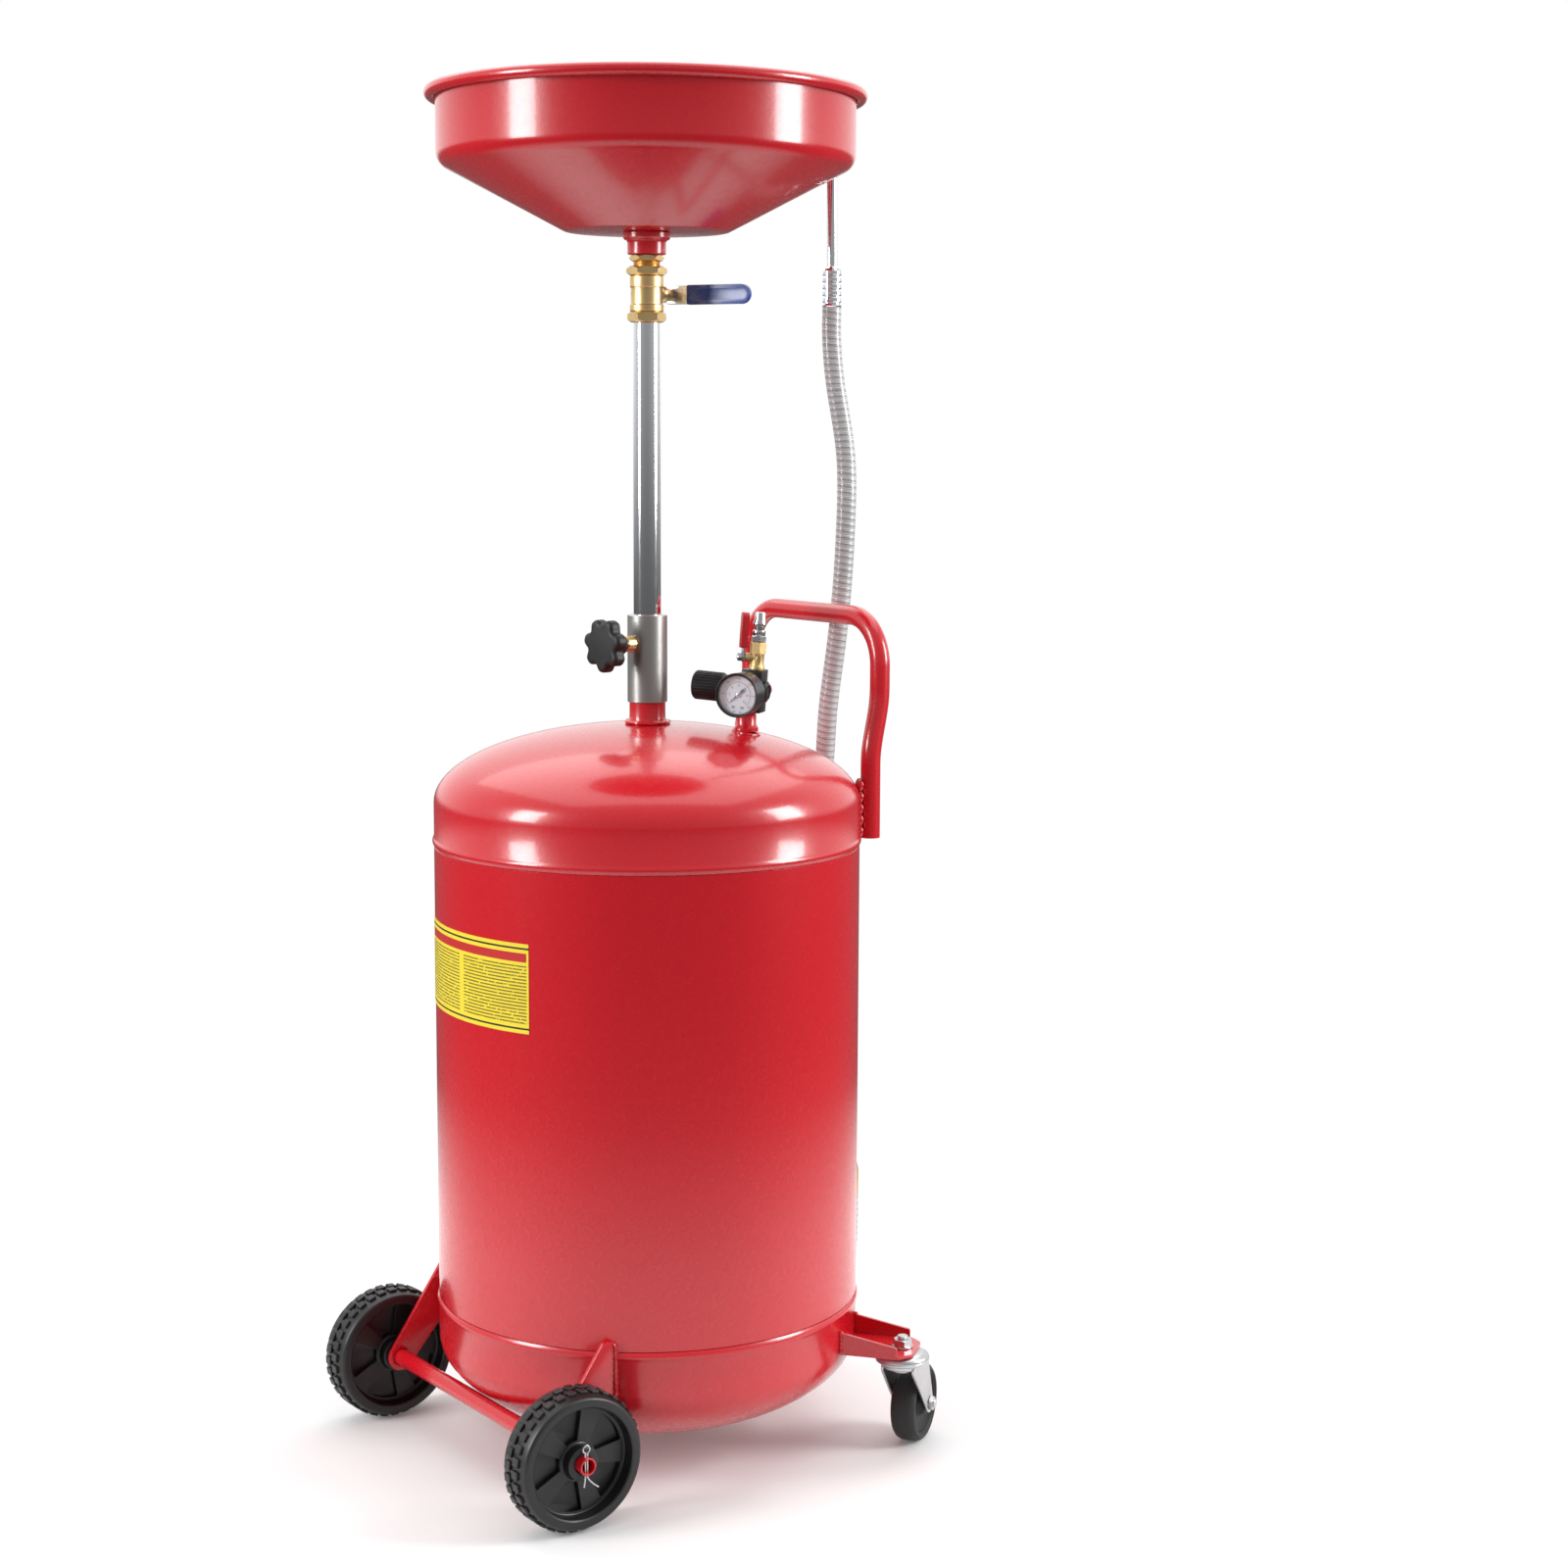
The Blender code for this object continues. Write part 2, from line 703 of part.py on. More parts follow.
def ball_profile(radius):
    """Return the section of a ball."""
    points = arc_points((0.0, 0.0), radius, 90.0, -90.0, 9)
    return [(0.0, radius), *points[1:-1], (0.0, -radius)]


def add_handle(root):
    """Make the bent push handle, welded to the barrel by its two legs."""
    clear = TANK_RADIUS + WELD_BUMP + HANDLE_TUBE_RADIUS + GAP
    foot_x = math.sqrt(clear**2 - HANDLE_HALF_WIDTH**2)
    shoulder = HANDLE_TOP - HANDLE_BEND
    side = [
        (foot_x, HANDLE_HALF_WIDTH, HANDLE_FOOT),
        (foot_x, HANDLE_HALF_WIDTH, HANDLE_LEAN_START),
    ]
    lean = HANDLE_LEAN_END - HANDLE_LEAN_START
    for part in (0.15, 0.35, 0.65, 0.85, 1.0):
        ease = part * part * (3.0 - 2.0 * part)
        x = foot_x + (HANDLE_TOP_X - foot_x) * ease
        side.append((x, HANDLE_HALF_WIDTH, HANDLE_LEAN_START + lean * part))
    corner = arc_points((HANDLE_HALF_WIDTH - HANDLE_BEND, shoulder), HANDLE_BEND, 0.0, 90.0, 8)
    side.extend((HANDLE_TOP_X, y, z) for y, z in corner)
    other = [(x, -y, z) for x, y, z in reversed(side)]
    handle = tube_along("push_handle", [*side, *other], HANDLE_TUBE_RADIUS, RED_PAINT, root, 3)
    as_mesh(handle)


def add_rear_axle(root, envelope):
    """Make the axle tube, the plates that hold it, the wheels and the cotter pins."""
    axle = turned(
        "axle",
        ring_profile(AXLE_RADIUS - 0.0018, AXLE_RADIUS, -AXLE_HALF_LENGTH, AXLE_HALF_LENGTH),
        RED_PAINT,
        root,
        20,
        location=(AXLE_X, 0.0, WHEEL_RADIUS),
        rotation=(math.pi / 2.0, 0.0, 0.0),
    )
    for side, label in ((-1.0, "right"), (1.0, "left")):
        add_axle_plate(root, envelope, side, label)
        add_wheel(root, side, label)
        add_cotter_pin(root, axle, side, label)


def add_axle_plate(root, envelope, side, label):
    """Make one flat arm from the tank's side to the axle."""
    eye = 0.0135
    outline = [
        (-0.1100, 0.1520),
        (-0.1450, 0.1520),
        *arc_points((AXLE_X, WHEEL_RADIUS), eye, 140.0, 300.0, 9),
        (-0.1450, 0.0960),
        (-0.1100, 0.1060),
    ]
    hole = circle_points(AXLE_RADIUS + GAP, 20, (AXLE_X, WHEEL_RADIUS))
    item = plate(
        f"axle_plate_{label}",
        [outline, hole],
        PLATE_THICKNESS,
        RED_PAINT,
        root,
        location=(0.0, side * PLATE_AT, 0.0),
        rotation=(math.pi / 2.0, 0.0, 0.0),
    )
    boolean(item, envelope, "DIFFERENCE")


def add_wheel(root, side, label):
    """Make one moulded wheel with its recessed faces and hub."""
    half = WHEEL_WIDTH / 2.0
    bore = AXLE_RADIUS + 0.0005
    profile = [
        (0.0500, half),
        (0.0580, half),
        (WHEEL_RADIUS, half - 0.0080),
        (WHEEL_RADIUS, -half + 0.0080),
        (0.0580, -half),
        (0.0500, -half),
        (0.0480, -half + 0.0110),
        (0.0150, -half + 0.0110),
        (0.0150, -half + 0.0010),
        (bore, -half + 0.0010),
        (bore, half - 0.0010),
        (0.0150, half - 0.0010),
        (0.0150, half - 0.0110),
        (0.0480, half - 0.0110),
    ]
    turned(
        f"rear_wheel_{label}",
        profile,
        BLACK_RUBBER,
        root,
        32,
        location=(AXLE_X, side * (WHEEL_OUTER_FACE - half), WHEEL_RADIUS),
        rotation=(math.pi / 2.0, 0.0, 0.0),
    )


def add_cotter_pin(root, axle, side, label):
    """Make one split pin through the axle's end, with its eye up and its legs spread."""
    apart = 0.0011
    wire = 0.0008
    eye = arc_points((0.0, 0.0150), 0.0034, -72.0, 252.0, 12)
    long_leg = [(0.0120, -0.0215), (0.0030, -0.0130), (apart, -0.0105)]
    short_leg = [(-apart, -0.0105), (-0.0015, -0.0130), (-0.0025, -0.0190)]
    path = [*long_leg, (apart, 0.0100), *eye, (-apart, 0.0100), *short_leg]
    pin = tube_along(
        f"cotter_pin_{label}",
        [(x, 0.0, z) for x, z in path],
        wire,
        ZINC,
        root,
        1,
        location=(AXLE_X, side * COTTER_AT, WHEEL_RADIUS),
    )
    as_mesh(pin)
    drill = turned_cutter(
        f"cotter_drill_{label}",
        rod_profile(apart + wire + GAP, -0.0200, 0.0200),
        root,
        12,
        location=(AXLE_X, side * COTTER_AT, WHEEL_RADIUS),
    )
    boolean(axle, drill, "DIFFERENCE")


def add_caster(root, envelope, side, label):
    """Make one swivel caster under its welded bracket."""
    angle = side * CASTER_ANGLE
    arm = add_empty(f"bracket_axis_{label}", (0.0, 0.0, 0.0), (0.0, 0.0, angle), root)
    add_bracket(arm, envelope, label)
    swivel_at = (CASTER_SWIVEL_AT * math.cos(angle), CASTER_SWIVEL_AT * math.sin(angle), 0.0)
    trail = -side * CASTER_TRAIL_ANGLE
    swivel = add_empty(f"swivel_axis_{label}", swivel_at, (0.0, 0.0, trail), root)
    add_caster_stem(swivel, label)
    add_fork(swivel, label)
    wheel_at = (CASTER_TRAIL, 0.0, CASTER_WHEEL_RADIUS)
    across = (math.pi / 2.0, 0.0, 0.0)
    half = CASTER_WHEEL_WIDTH / 2.0
    profile = [
        (0.0310, half),
        (0.0345, half),
        (CASTER_WHEEL_RADIUS, half - 0.0040),
        (CASTER_WHEEL_RADIUS, -half + 0.0040),
        (0.0345, -half),
        (0.0310, -half),
        (0.0300, -half + 0.0050),
        (0.0120, -half + 0.0050),
        (0.0110, -half),
        (0.0045, -half),
        (0.0045, half),
        (0.0110, half),
        (0.0120, half - 0.0050),
        (0.0300, half - 0.0050),
    ]
    turned(
        f"caster_wheel_{label}",
        profile,
        BLACK_RUBBER,
        swivel,
        SMALL_STEPS,
        location=wheel_at,
        rotation=across,
    )
    head = 0.0070
    end = 0.0195
    shoulder = 0.0165
    bolt = [
        (0.0, end),
        (head, end),
        (head, shoulder + GAP),
        (0.0040, shoulder + GAP),
        (0.0040, -shoulder - GAP),
        (head, -shoulder - GAP),
        (head, -end),
        (0.0, -end),
    ]
    turned(f"caster_axle_{label}", bolt, ZINC, swivel, 12, location=wheel_at, rotation=across)


def add_bracket(arm, envelope, label):
    """Make one channel that opens upwards and carries a caster's stem."""
    half = BRACKET_WIDTH / 2.0
    corner = 0.0120
    start = 0.1700
    web = [
        (start, -half),
        (BRACKET_END - corner, -half),
        (BRACKET_END, -half + corner),
        (BRACKET_END, half - corner),
        (BRACKET_END - corner, half),
        (start, half),
    ]
    hole = circle_points(CASTER_STEM_RADIUS + GAP, 16, (CASTER_SWIVEL_AT, 0.0))
    middle = BRACKET_FLOOR + BRACKET_SHEET / 2.0
    bracket = plate(
        f"caster_bracket_{label}",
        [web, hole],
        BRACKET_SHEET,
        RED_PAINT,
        arm,
        location=(0.0, 0.0, middle),
    )
    tall = 0.0265
    short = 0.0110
    flange = [
        (start, 0.0),
        (BRACKET_END - corner, 0.0),
        (BRACKET_END - corner, short),
        (start, tall),
    ]
    for index, direction in enumerate((-1.0, 1.0)):
        wall = plate(
            f"bracket_flange_{label}{index}",
            [flange],
            BRACKET_SHEET,
            RED_PAINT,
            arm,
            location=(0.0, direction * (half - BRACKET_SHEET / 2.0), BRACKET_FLOOR),
            rotation=(math.pi / 2.0, 0.0, 0.0),
        )
        boolean(bracket, wall, "UNION")
    boolean(bracket, envelope, "DIFFERENCE")


def add_caster_stem(swivel, label):
    """Make one threaded stem with its nut above the bracket and its head inside the fork."""
    nut_low = BRACKET_FLOOR + BRACKET_SHEET + GAP
    head_high = FORK_TOP - 0.0150
    rod = [
        (0.0, nut_low + 0.0110),
        (CASTER_STEM_RADIUS, nut_low + 0.0110),
        (CASTER_STEM_RADIUS, head_high - GAP),
        (0.0100, head_high - GAP),
        (0.0100, head_high - 0.0040),
        (0.0, head_high - 0.0040),
    ]
    stem = turned(f"caster_stem_{label}", rod, ZINC, swivel, 16)
    nut = plate(
        f"stem_nut_{label}",
        [hexagon(0.0160)],
        0.0080,
        ZINC,
        swivel,
        location=(0.0, 0.0, nut_low + 0.0040),
    )
    boolean(stem, nut, "UNION")


def add_fork(swivel, label):
    """Make one swivel fork: the race crown and two legs down to the axle."""
    bore = CASTER_STEM_RADIUS + 0.0005
    low = FORK_TOP - 0.0150
    crown = [
        (0.0190, FORK_TOP),
        (0.0255, FORK_TOP - 0.0040),
        (0.0255, FORK_TOP - 0.0085),
        (0.0200, FORK_TOP - 0.0110),
        (0.0200, low),
        (bore, low),
        (bore, FORK_TOP),
    ]
    fork = turned(f"caster_fork_{label}", crown, ZINC, swivel, SMALL_STEPS)
    inner = CASTER_WHEEL_WIDTH / 2.0 + 0.0015
    sheet = 0.0025
    leg = [
        (-0.0130, FORK_TOP - 0.0130),
        (-0.0130, FORK_TOP - 0.0190),
        *arc_points((CASTER_TRAIL, CASTER_WHEEL_RADIUS), 0.0090, 215.0, 375.0, 8),
        (0.0290, FORK_TOP - 0.0190),
        (0.0140, FORK_TOP - 0.0130),
    ]
    hole = circle_points(0.0043, 12, (CASTER_TRAIL, CASTER_WHEEL_RADIUS))
    for index, direction in enumerate((-1.0, 1.0)):
        wall = plate(
            f"fork_leg_{label}{index}",
            [leg, hole],
            sheet,
            ZINC,
            swivel,
            location=(0.0, direction * (inner + sheet / 2.0), 0.0),
            rotation=(math.pi / 2.0, 0.0, 0.0),
        )
        boolean(fork, wall, "UNION")


def add_regulator(root, envelope):
    """Make the air inlet: riser, regulator, gauge, relief valve, ball valve and quick plug."""
    riser = [
        (RISER_RADIUS, RISER_TOP),
        (RISER_RADIUS, 0.6840),
        (RISER_RADIUS + 0.0020, 0.6810),
        (RISER_RADIUS + 0.0020, 0.6600),
        (0.0040, 0.6600),
        (0.0040, RISER_TOP),
    ]
    pipe = turned("regulator_riser", riser, RED_PAINT, root, location=(*RISER_AT, 0.0))
    boolean(pipe, envelope, "DIFFERENCE")
    turn = Matrix.Rotation(REGULATOR_TURN, 3, "Z") @ Matrix.Rotation(REGULATOR_TILT, 3, "Y")
    axis = add_empty("regulator_axis", (*REGULATOR_AT, REGULATOR_HEIGHT), turn.to_euler(), root)
    add_regulator_block(axis)
    add_gauge(axis)
    add_relief_valve(axis)
    add_air_valve(axis)


def add_regulator_block(axis):
    """Make the regulator's body, its lock ring, its knob and the plug of its spare port."""
    mesh = bpy.data.meshes.new("regulator_block")
    work = bmesh.new()
    size = Matrix.Diagonal((2.0 * BLOCK_HALF, 2.0 * BLOCK_HALF, 2.0 * BLOCK_HALF_HEIGHT, 1.0))
    bmesh.ops.create_cube(work, size=1.0, matrix=size)
    work.to_mesh(mesh)
    work.free()
    block = add_object("regulator_block", mesh, BLACK_PLASTIC, axis)
    along = (0.0, -math.pi / 2.0, 0.0)
    bonnet = [
        (0.0, 0.0170),
        (0.0130, 0.0170),
        (0.0135, 0.0145),
        (0.0096, 0.0090),
        (0.0, 0.0090),
    ]
    boolean(block, turned_cutter("bonnet", bonnet, axis, rotation=along), "UNION")
    turned("regulator_ring", rod_profile(0.0137, 0.0173, 0.0210), RED_VINYL, axis, rotation=along)
    knob = [
        (0.0, 0.0580),
        (0.0122, 0.0580),
        (0.0138, 0.0564),
        (0.0138, 0.0285),
        (0.0115, 0.0265),
        (0.0115, 0.0213),
        (0.0, 0.0213),
    ]
    turned("regulator_knob", knob, BLACK_PLASTIC, axis, rotation=along)
    plug = [
        (0.0, 0.0125),
        (0.0062, 0.0125),
        (0.0062, 0.0145),
        (0.0085, 0.0148),
        (0.0098, 0.0135),
        (0.0098, 0.0115),
        (0.0088, 0.0103),
        (0.0, 0.0103),
    ]
    turned("port_plug", plug, BLACK_PLASTIC, axis, rotation=(0.0, math.pi / 2.0, 0.0))


def add_gauge(axis):
    """Make the pressure gauge: case, dial, needle and lens, facing along local -Y."""
    gauge = add_empty("gauge_axis", (0.0, 0.0, 0.0), (math.pi / 2.0, 0.0, 0.0), axis)
    glass = GAUGE_RADIUS - 0.0024
    case = [
        (0.0, GAUGE_FLOOR),
        (glass, GAUGE_FLOOR),
        (glass, GAUGE_FACE - 0.0004),
        (GAUGE_RADIUS - 0.0010, GAUGE_FACE),
        (GAUGE_RADIUS, GAUGE_FACE - 0.0012),
        (GAUGE_RADIUS, GAUGE_BACK + 0.0015),
        (GAUGE_RADIUS - 0.0015, GAUGE_BACK),
        (0.0060, GAUGE_BACK),
        (0.0060, BLOCK_HALF + GAP),
        (0.0, BLOCK_HALF + GAP),
    ]
    turned("gauge_case", case, BLACK_PLASTIC, gauge, 32)
    dial_low = GAUGE_FLOOR + GAP
    dial_high = dial_low + 0.0006
    turned("gauge_dial", rod_profile(glass - GAP, dial_low, dial_high), DIAL_WHITE, gauge, 32)
    lens_low = GAUGE_FACE - 0.0022
    turned("gauge_lens", rod_profile(glass - GAP, lens_low, GAUGE_FACE - 0.0012), CLEAR, gauge, 32)
    start = math.radians(225.0)
    needle_axis = add_empty("needle_axis", (0.0, 0.0, dial_high), (0.0, 0.0, start), gauge)
    pointer = [(0.0130, 0.0), (0.0, 0.0007), (-0.0060, 0.0012), (-0.0060, -0.0012), (0.0, -0.0007)]
    needle = plate(
        "gauge_needle",
        [pointer],
        0.0006,
        BLACK_PLASTIC,
        needle_axis,
        location=(0.0, 0.0, 0.0012),
    )
    cap = turned_cutter("needle_cap", rod_profile(0.0020, GAP, 0.0024), needle_axis, 12)
    boolean(needle, cap, "UNION")


def add_relief_valve(axis):
    """Make the relief valve on the side away from the gauge, with its sleeve and pull pin."""
    relief = add_empty("relief_axis", (0.0, 0.0, -0.0020), (-math.pi / 2.0, 0.0, 0.0), axis)
    pin_bore = 0.0019
    turned_hex(
        "relief_body",
        ((BLOCK_HALF + GAP, 0.0200, 0.0120),),
        ((0.0190, 0.0235, 0.0045),),
        pin_bore,
        BRASS,
        relief,
    )
    sleeve = [
        (0.0062, 0.0370),
        (0.0072, 0.0360),
        (0.0072, 0.0203),
        (0.0050, 0.0203),
        (0.0050, 0.0345),
        (pin_bore, 0.0345),
        (pin_bore, 0.0370),
    ]
    turned("relief_sleeve", sleeve, RED_VINYL, relief, 20)
    pin = turned("relief_pin", rod_profile(0.0015, 0.0140, 0.0405), ZINC, relief, 12)
    loop = [(0.0, y, z + 0.0437) for y, z in circle_points(0.0038, 14)]
    ring = tube_along("pin_ring", loop, 0.0007, ZINC, relief, 1, closed=True)
    boolean(pin, as_mesh(ring), "UNION")


def add_air_valve(axis):
    """Make the inlet's ball valve with its red lever, and the quick plug on top."""
    base = (0.0015, 0.0, BLOCK_HALF_HEIGHT)
    valve = add_empty("air_valve_axis", base, (0.0, 0.0, AIR_VALVE_TURN), axis)
    body = plate("air_valve_body", [hexagon(0.0138)], 0.0110, BRASS, valve, location=(0.0, 0.0, 0.0205))
    outer = [
        (0.0, 0.0200),
        (0.0066, 0.0165),
        (0.0066, 0.0045),
        (0.0073, 0.0035),
        (0.0073, GAP),
        (0.0, GAP),
    ]
    boolean(body, turned_cutter("air_valve_round", outer, valve), "UNION")
    out = {"location": (0.0, 0.0, AIR_STEM_HEIGHT), "rotation": (0.0, math.pi / 2.0, 0.0)}
    neck = turned_cutter("air_valve_neck", rod_profile(0.0040, 0.0030, 0.0122), valve, 16, **out)
    boolean(body, neck, "UNION")
    inside = turned_cutter("air_valve_inside", rod_profile(0.0046, -0.0010, 0.0280), valve, 20)
    boolean(body, inside, "DIFFERENCE")
    hole = turned_cutter("air_stem_hole", rod_profile(0.0020 + GAP, 0.0010, 0.0200), valve, 14, **out)
    boolean(body, hole, "DIFFERENCE")
    lever = add_empty("air_lever_axis", out["location"], (math.pi, -math.pi / 2.0, 0.0), valve)
    add_air_lever(lever)
    turned_hex(
        "quick_plug",
        ((0.0263, 0.0315, 0.0125),),
        (
            (0.0300, 0.0365, 0.0060),
            (0.0350, 0.0405, 0.0047),
            (0.0395, 0.0430, 0.0062),
            (0.0420, 0.0535, 0.0054),
        ),
        0.0032,
        CHROME,
        valve,
    )


def add_air_lever(lever):
    """Make the small ball with its stem, the red lever and its nut."""
    ball = turned("air_valve_stem", ball_profile(0.0042), CHROME, lever, 12)
    stem = turned_cutter("air_stem", rod_profile(0.0020, 0.0030, 0.0180), lever, 12)
    boolean(ball, stem, "UNION")
    bore = turned_cutter(
        "air_ball_bore",
        rod_profile(0.0022, -0.0100, 0.0100),
        lever,
        12,
        rotation=(0.0, math.pi / 2.0, 0.0),
    )
    boolean(ball, bore, "DIFFERENCE")
    size = (0.0090, 0.0015, 0.0085, 0.0090, 0.0065, 0.0420, 0.0020)
    add_lever("air_lever", lever, AIR_LEVER_PLANE, size, RED_VINYL)
    plate(
        "air_lever_nut",
        [hexagon(0.0070), circle_points(0.0020 + GAP, 12)],
        0.0040,
        ZINC,
        lever,
        location=(0.0, 0.0, AIR_LEVER_PLANE + 0.00075 + GAP + 0.0020),
    )


def add_label(root):
    """Make the printed label, a thin curved sheet on the barrel."""
    inner = TANK_RADIUS + GAP
    outer = inner + 0.0003
    steps = 10
    arc = [LABEL_CENTRE + LABEL_SPAN * (index / steps - 0.5) for index in range(steps + 1)]
    outline = [(outer * math.cos(t), outer * math.sin(t)) for t in arc]
    outline += [(inner * math.cos(t), inner * math.sin(t)) for t in reversed(arc)]
    plate(
        "warning_label",
        [outline],
        LABEL_HIGH - LABEL_LOW,
        YELLOW,
        root,
        location=(0.0, 0.0, (LABEL_HIGH + LABEL_LOW) / 2.0),
    )


def hose_route():
    """Return the hose's route from the outlet's barb to the ferrule, chosen by hand."""
    return [
        (0.2420, OUTLET_Y, 0.1900),
        (0.2420, OUTLET_Y, 0.1600),
        (0.2425, 0.0030, 0.1250),
        (0.2450, 0.0130, 0.0920),
        (0.2480, 0.0490, 0.0480),
        (0.2490, 0.0960, 0.0420),
        (0.2420, 0.1340, 0.0800),
        (0.2350, 0.1460, 0.1500),
        (0.2290, 0.1260, 0.2400),
        (0.2265, 0.0880, 0.3500),
        (0.2245, 0.0520, 0.4600),
        (0.2210, 0.0300, 0.5600),
        (0.2180, 0.0150, 0.6300),
        (0.2145, 0.0040, 0.6900),
        (0.2165, -0.0090, 0.7700),
        (0.2200, -0.0135, 0.8500),
        (0.2210, -0.0130, 0.9300),
        (0.2130, -0.0050, 1.0050),
        (0.2100, -0.0030, FERRULE_LOW - 0.0300),
        (0.2100, -0.0030, FERRULE_LOW - GAP),
    ]


def add_hose(root):
    """Make the outlet elbow, the hose, and its ferrule and wand hung on the bowl's rim."""
    elbow = [
        (0.2080, OUTLET_Y, OUTLET_HEIGHT),
        (0.2240, OUTLET_Y, OUTLET_HEIGHT),
        (0.2330, OUTLET_Y, OUTLET_HEIGHT - 0.0020),
        (0.2395, OUTLET_Y, OUTLET_HEIGHT - 0.0080),
        (0.2420, OUTLET_Y, OUTLET_HEIGHT - 0.0170),
        (0.2420, OUTLET_Y, 0.1900 + GAP),
    ]
    fitting = as_mesh(tube_along("outlet_elbow", elbow, 0.0095, BRASS, root, 3))
    base_x = math.sqrt(TANK_RADIUS**2 - OUTLET_Y**2) - 0.0040
    flange = turned_cutter(
        "outlet_base",
        rod_profile(0.0160, 0.0, 0.0170),
        root,
        location=(base_x, OUTLET_Y, OUTLET_HEIGHT),
        rotation=(0.0, math.pi / 2.0, 0.0),
    )
    boolean(fitting, flange, "UNION")
    boolean(fitting, bpy.data.objects["tank_envelope"], "DIFFERENCE")
    points = through_points(hose_route(), 0.0220)
    tube_along("hose", points, HOSE_RADIUS, HOSE_CLEAR, root)
    turned(
        "hose_ferrule",
        rod_profile(0.0094, FERRULE_LOW, FERRULE_HIGH, 0.0008),
        CHROME,
        root,
        location=(0.2100, -0.0030, 0.0),
    )
    middle = (WAND_AT + WAND_INNER_AT) / 2.0
    bend = arc_points((middle, HOOK_HEIGHT), (WAND_AT - WAND_INNER_AT) / 2.0, 0.0, 180.0, 13)
    wand = [(0.2100, -0.0030, FERRULE_HIGH + GAP), (0.2092, -0.0030, 1.1800), (WAND_AT, -0.0030, 1.2400)]
    wand += [(x, -0.0030, z) for x, z in bend]
    wand += [(WAND_INNER_AT, -0.0030, 1.2180)]
    tube_along("discharge_wand", wand, WAND_RADIUS, CHROME, root)


def build():
    """Build the whole object."""
    root = add_empty("tank_centre", (TANK_X, 0.0, 0.0))
    envelope = add_tank_envelope(root)
    add_tank(root)
    add_column_socket(root)
    add_clamp(root)
    add_column(root)
    add_drain_lever(root)
    add_handle(root)
    add_rear_axle(root, envelope)
    add_caster(root, envelope, -1.0, "right")
    add_caster(root, envelope, 1.0, "left")
    add_regulator(root, envelope)
    add_label(root)
    add_hose(root)


clear_scene()
PARTS = new_collection(NAME)
CUTTERS = new_collection("cutters")
build()
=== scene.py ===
"""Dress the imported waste-oil drain tank and set it on a plain studio floor.

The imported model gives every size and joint. Each sub-assembly of the drain is a class that
models its visible pieces over that frame, finishes them, and lets them ride on their bodies.
Units are metres, +Z is up, and the floor is z = 0.
"""

from __future__ import annotations

import json
import logging
import math
from dataclasses import dataclass, field
from enum import Enum
from typing import Any, Iterable, Sequence

import bmesh
import bpy
from mathutils import Matrix, Vector

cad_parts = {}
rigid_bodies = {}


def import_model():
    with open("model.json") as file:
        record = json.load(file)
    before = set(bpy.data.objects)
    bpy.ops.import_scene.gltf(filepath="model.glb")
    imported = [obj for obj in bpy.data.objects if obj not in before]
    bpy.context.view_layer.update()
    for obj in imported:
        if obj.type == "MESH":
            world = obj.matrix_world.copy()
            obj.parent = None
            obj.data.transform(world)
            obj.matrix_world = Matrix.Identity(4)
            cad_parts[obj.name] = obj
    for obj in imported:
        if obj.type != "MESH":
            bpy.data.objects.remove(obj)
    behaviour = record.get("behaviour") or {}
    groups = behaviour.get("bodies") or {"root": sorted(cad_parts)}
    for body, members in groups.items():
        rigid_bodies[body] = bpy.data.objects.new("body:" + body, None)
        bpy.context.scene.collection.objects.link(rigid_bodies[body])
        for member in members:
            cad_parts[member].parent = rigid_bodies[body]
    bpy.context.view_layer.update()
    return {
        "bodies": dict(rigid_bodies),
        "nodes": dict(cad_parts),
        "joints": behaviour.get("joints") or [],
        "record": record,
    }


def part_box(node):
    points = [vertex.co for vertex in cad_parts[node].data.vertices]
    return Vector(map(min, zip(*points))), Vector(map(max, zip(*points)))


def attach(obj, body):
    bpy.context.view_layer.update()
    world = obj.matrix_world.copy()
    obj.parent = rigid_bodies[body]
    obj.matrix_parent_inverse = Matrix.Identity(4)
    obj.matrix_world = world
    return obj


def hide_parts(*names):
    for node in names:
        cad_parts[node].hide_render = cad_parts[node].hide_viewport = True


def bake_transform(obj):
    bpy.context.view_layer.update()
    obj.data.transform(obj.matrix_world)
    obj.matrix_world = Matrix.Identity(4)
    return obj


LOG = logging.getLogger("drain_tank")

Point = tuple[float, float, float]
Flat = tuple[float, float]
Colour = tuple[float, float, float]

GAP = 0.0003
FINE = 0.000002


# --------------------------------------------------------------------------------------
# Shader boards
# --------------------------------------------------------------------------------------


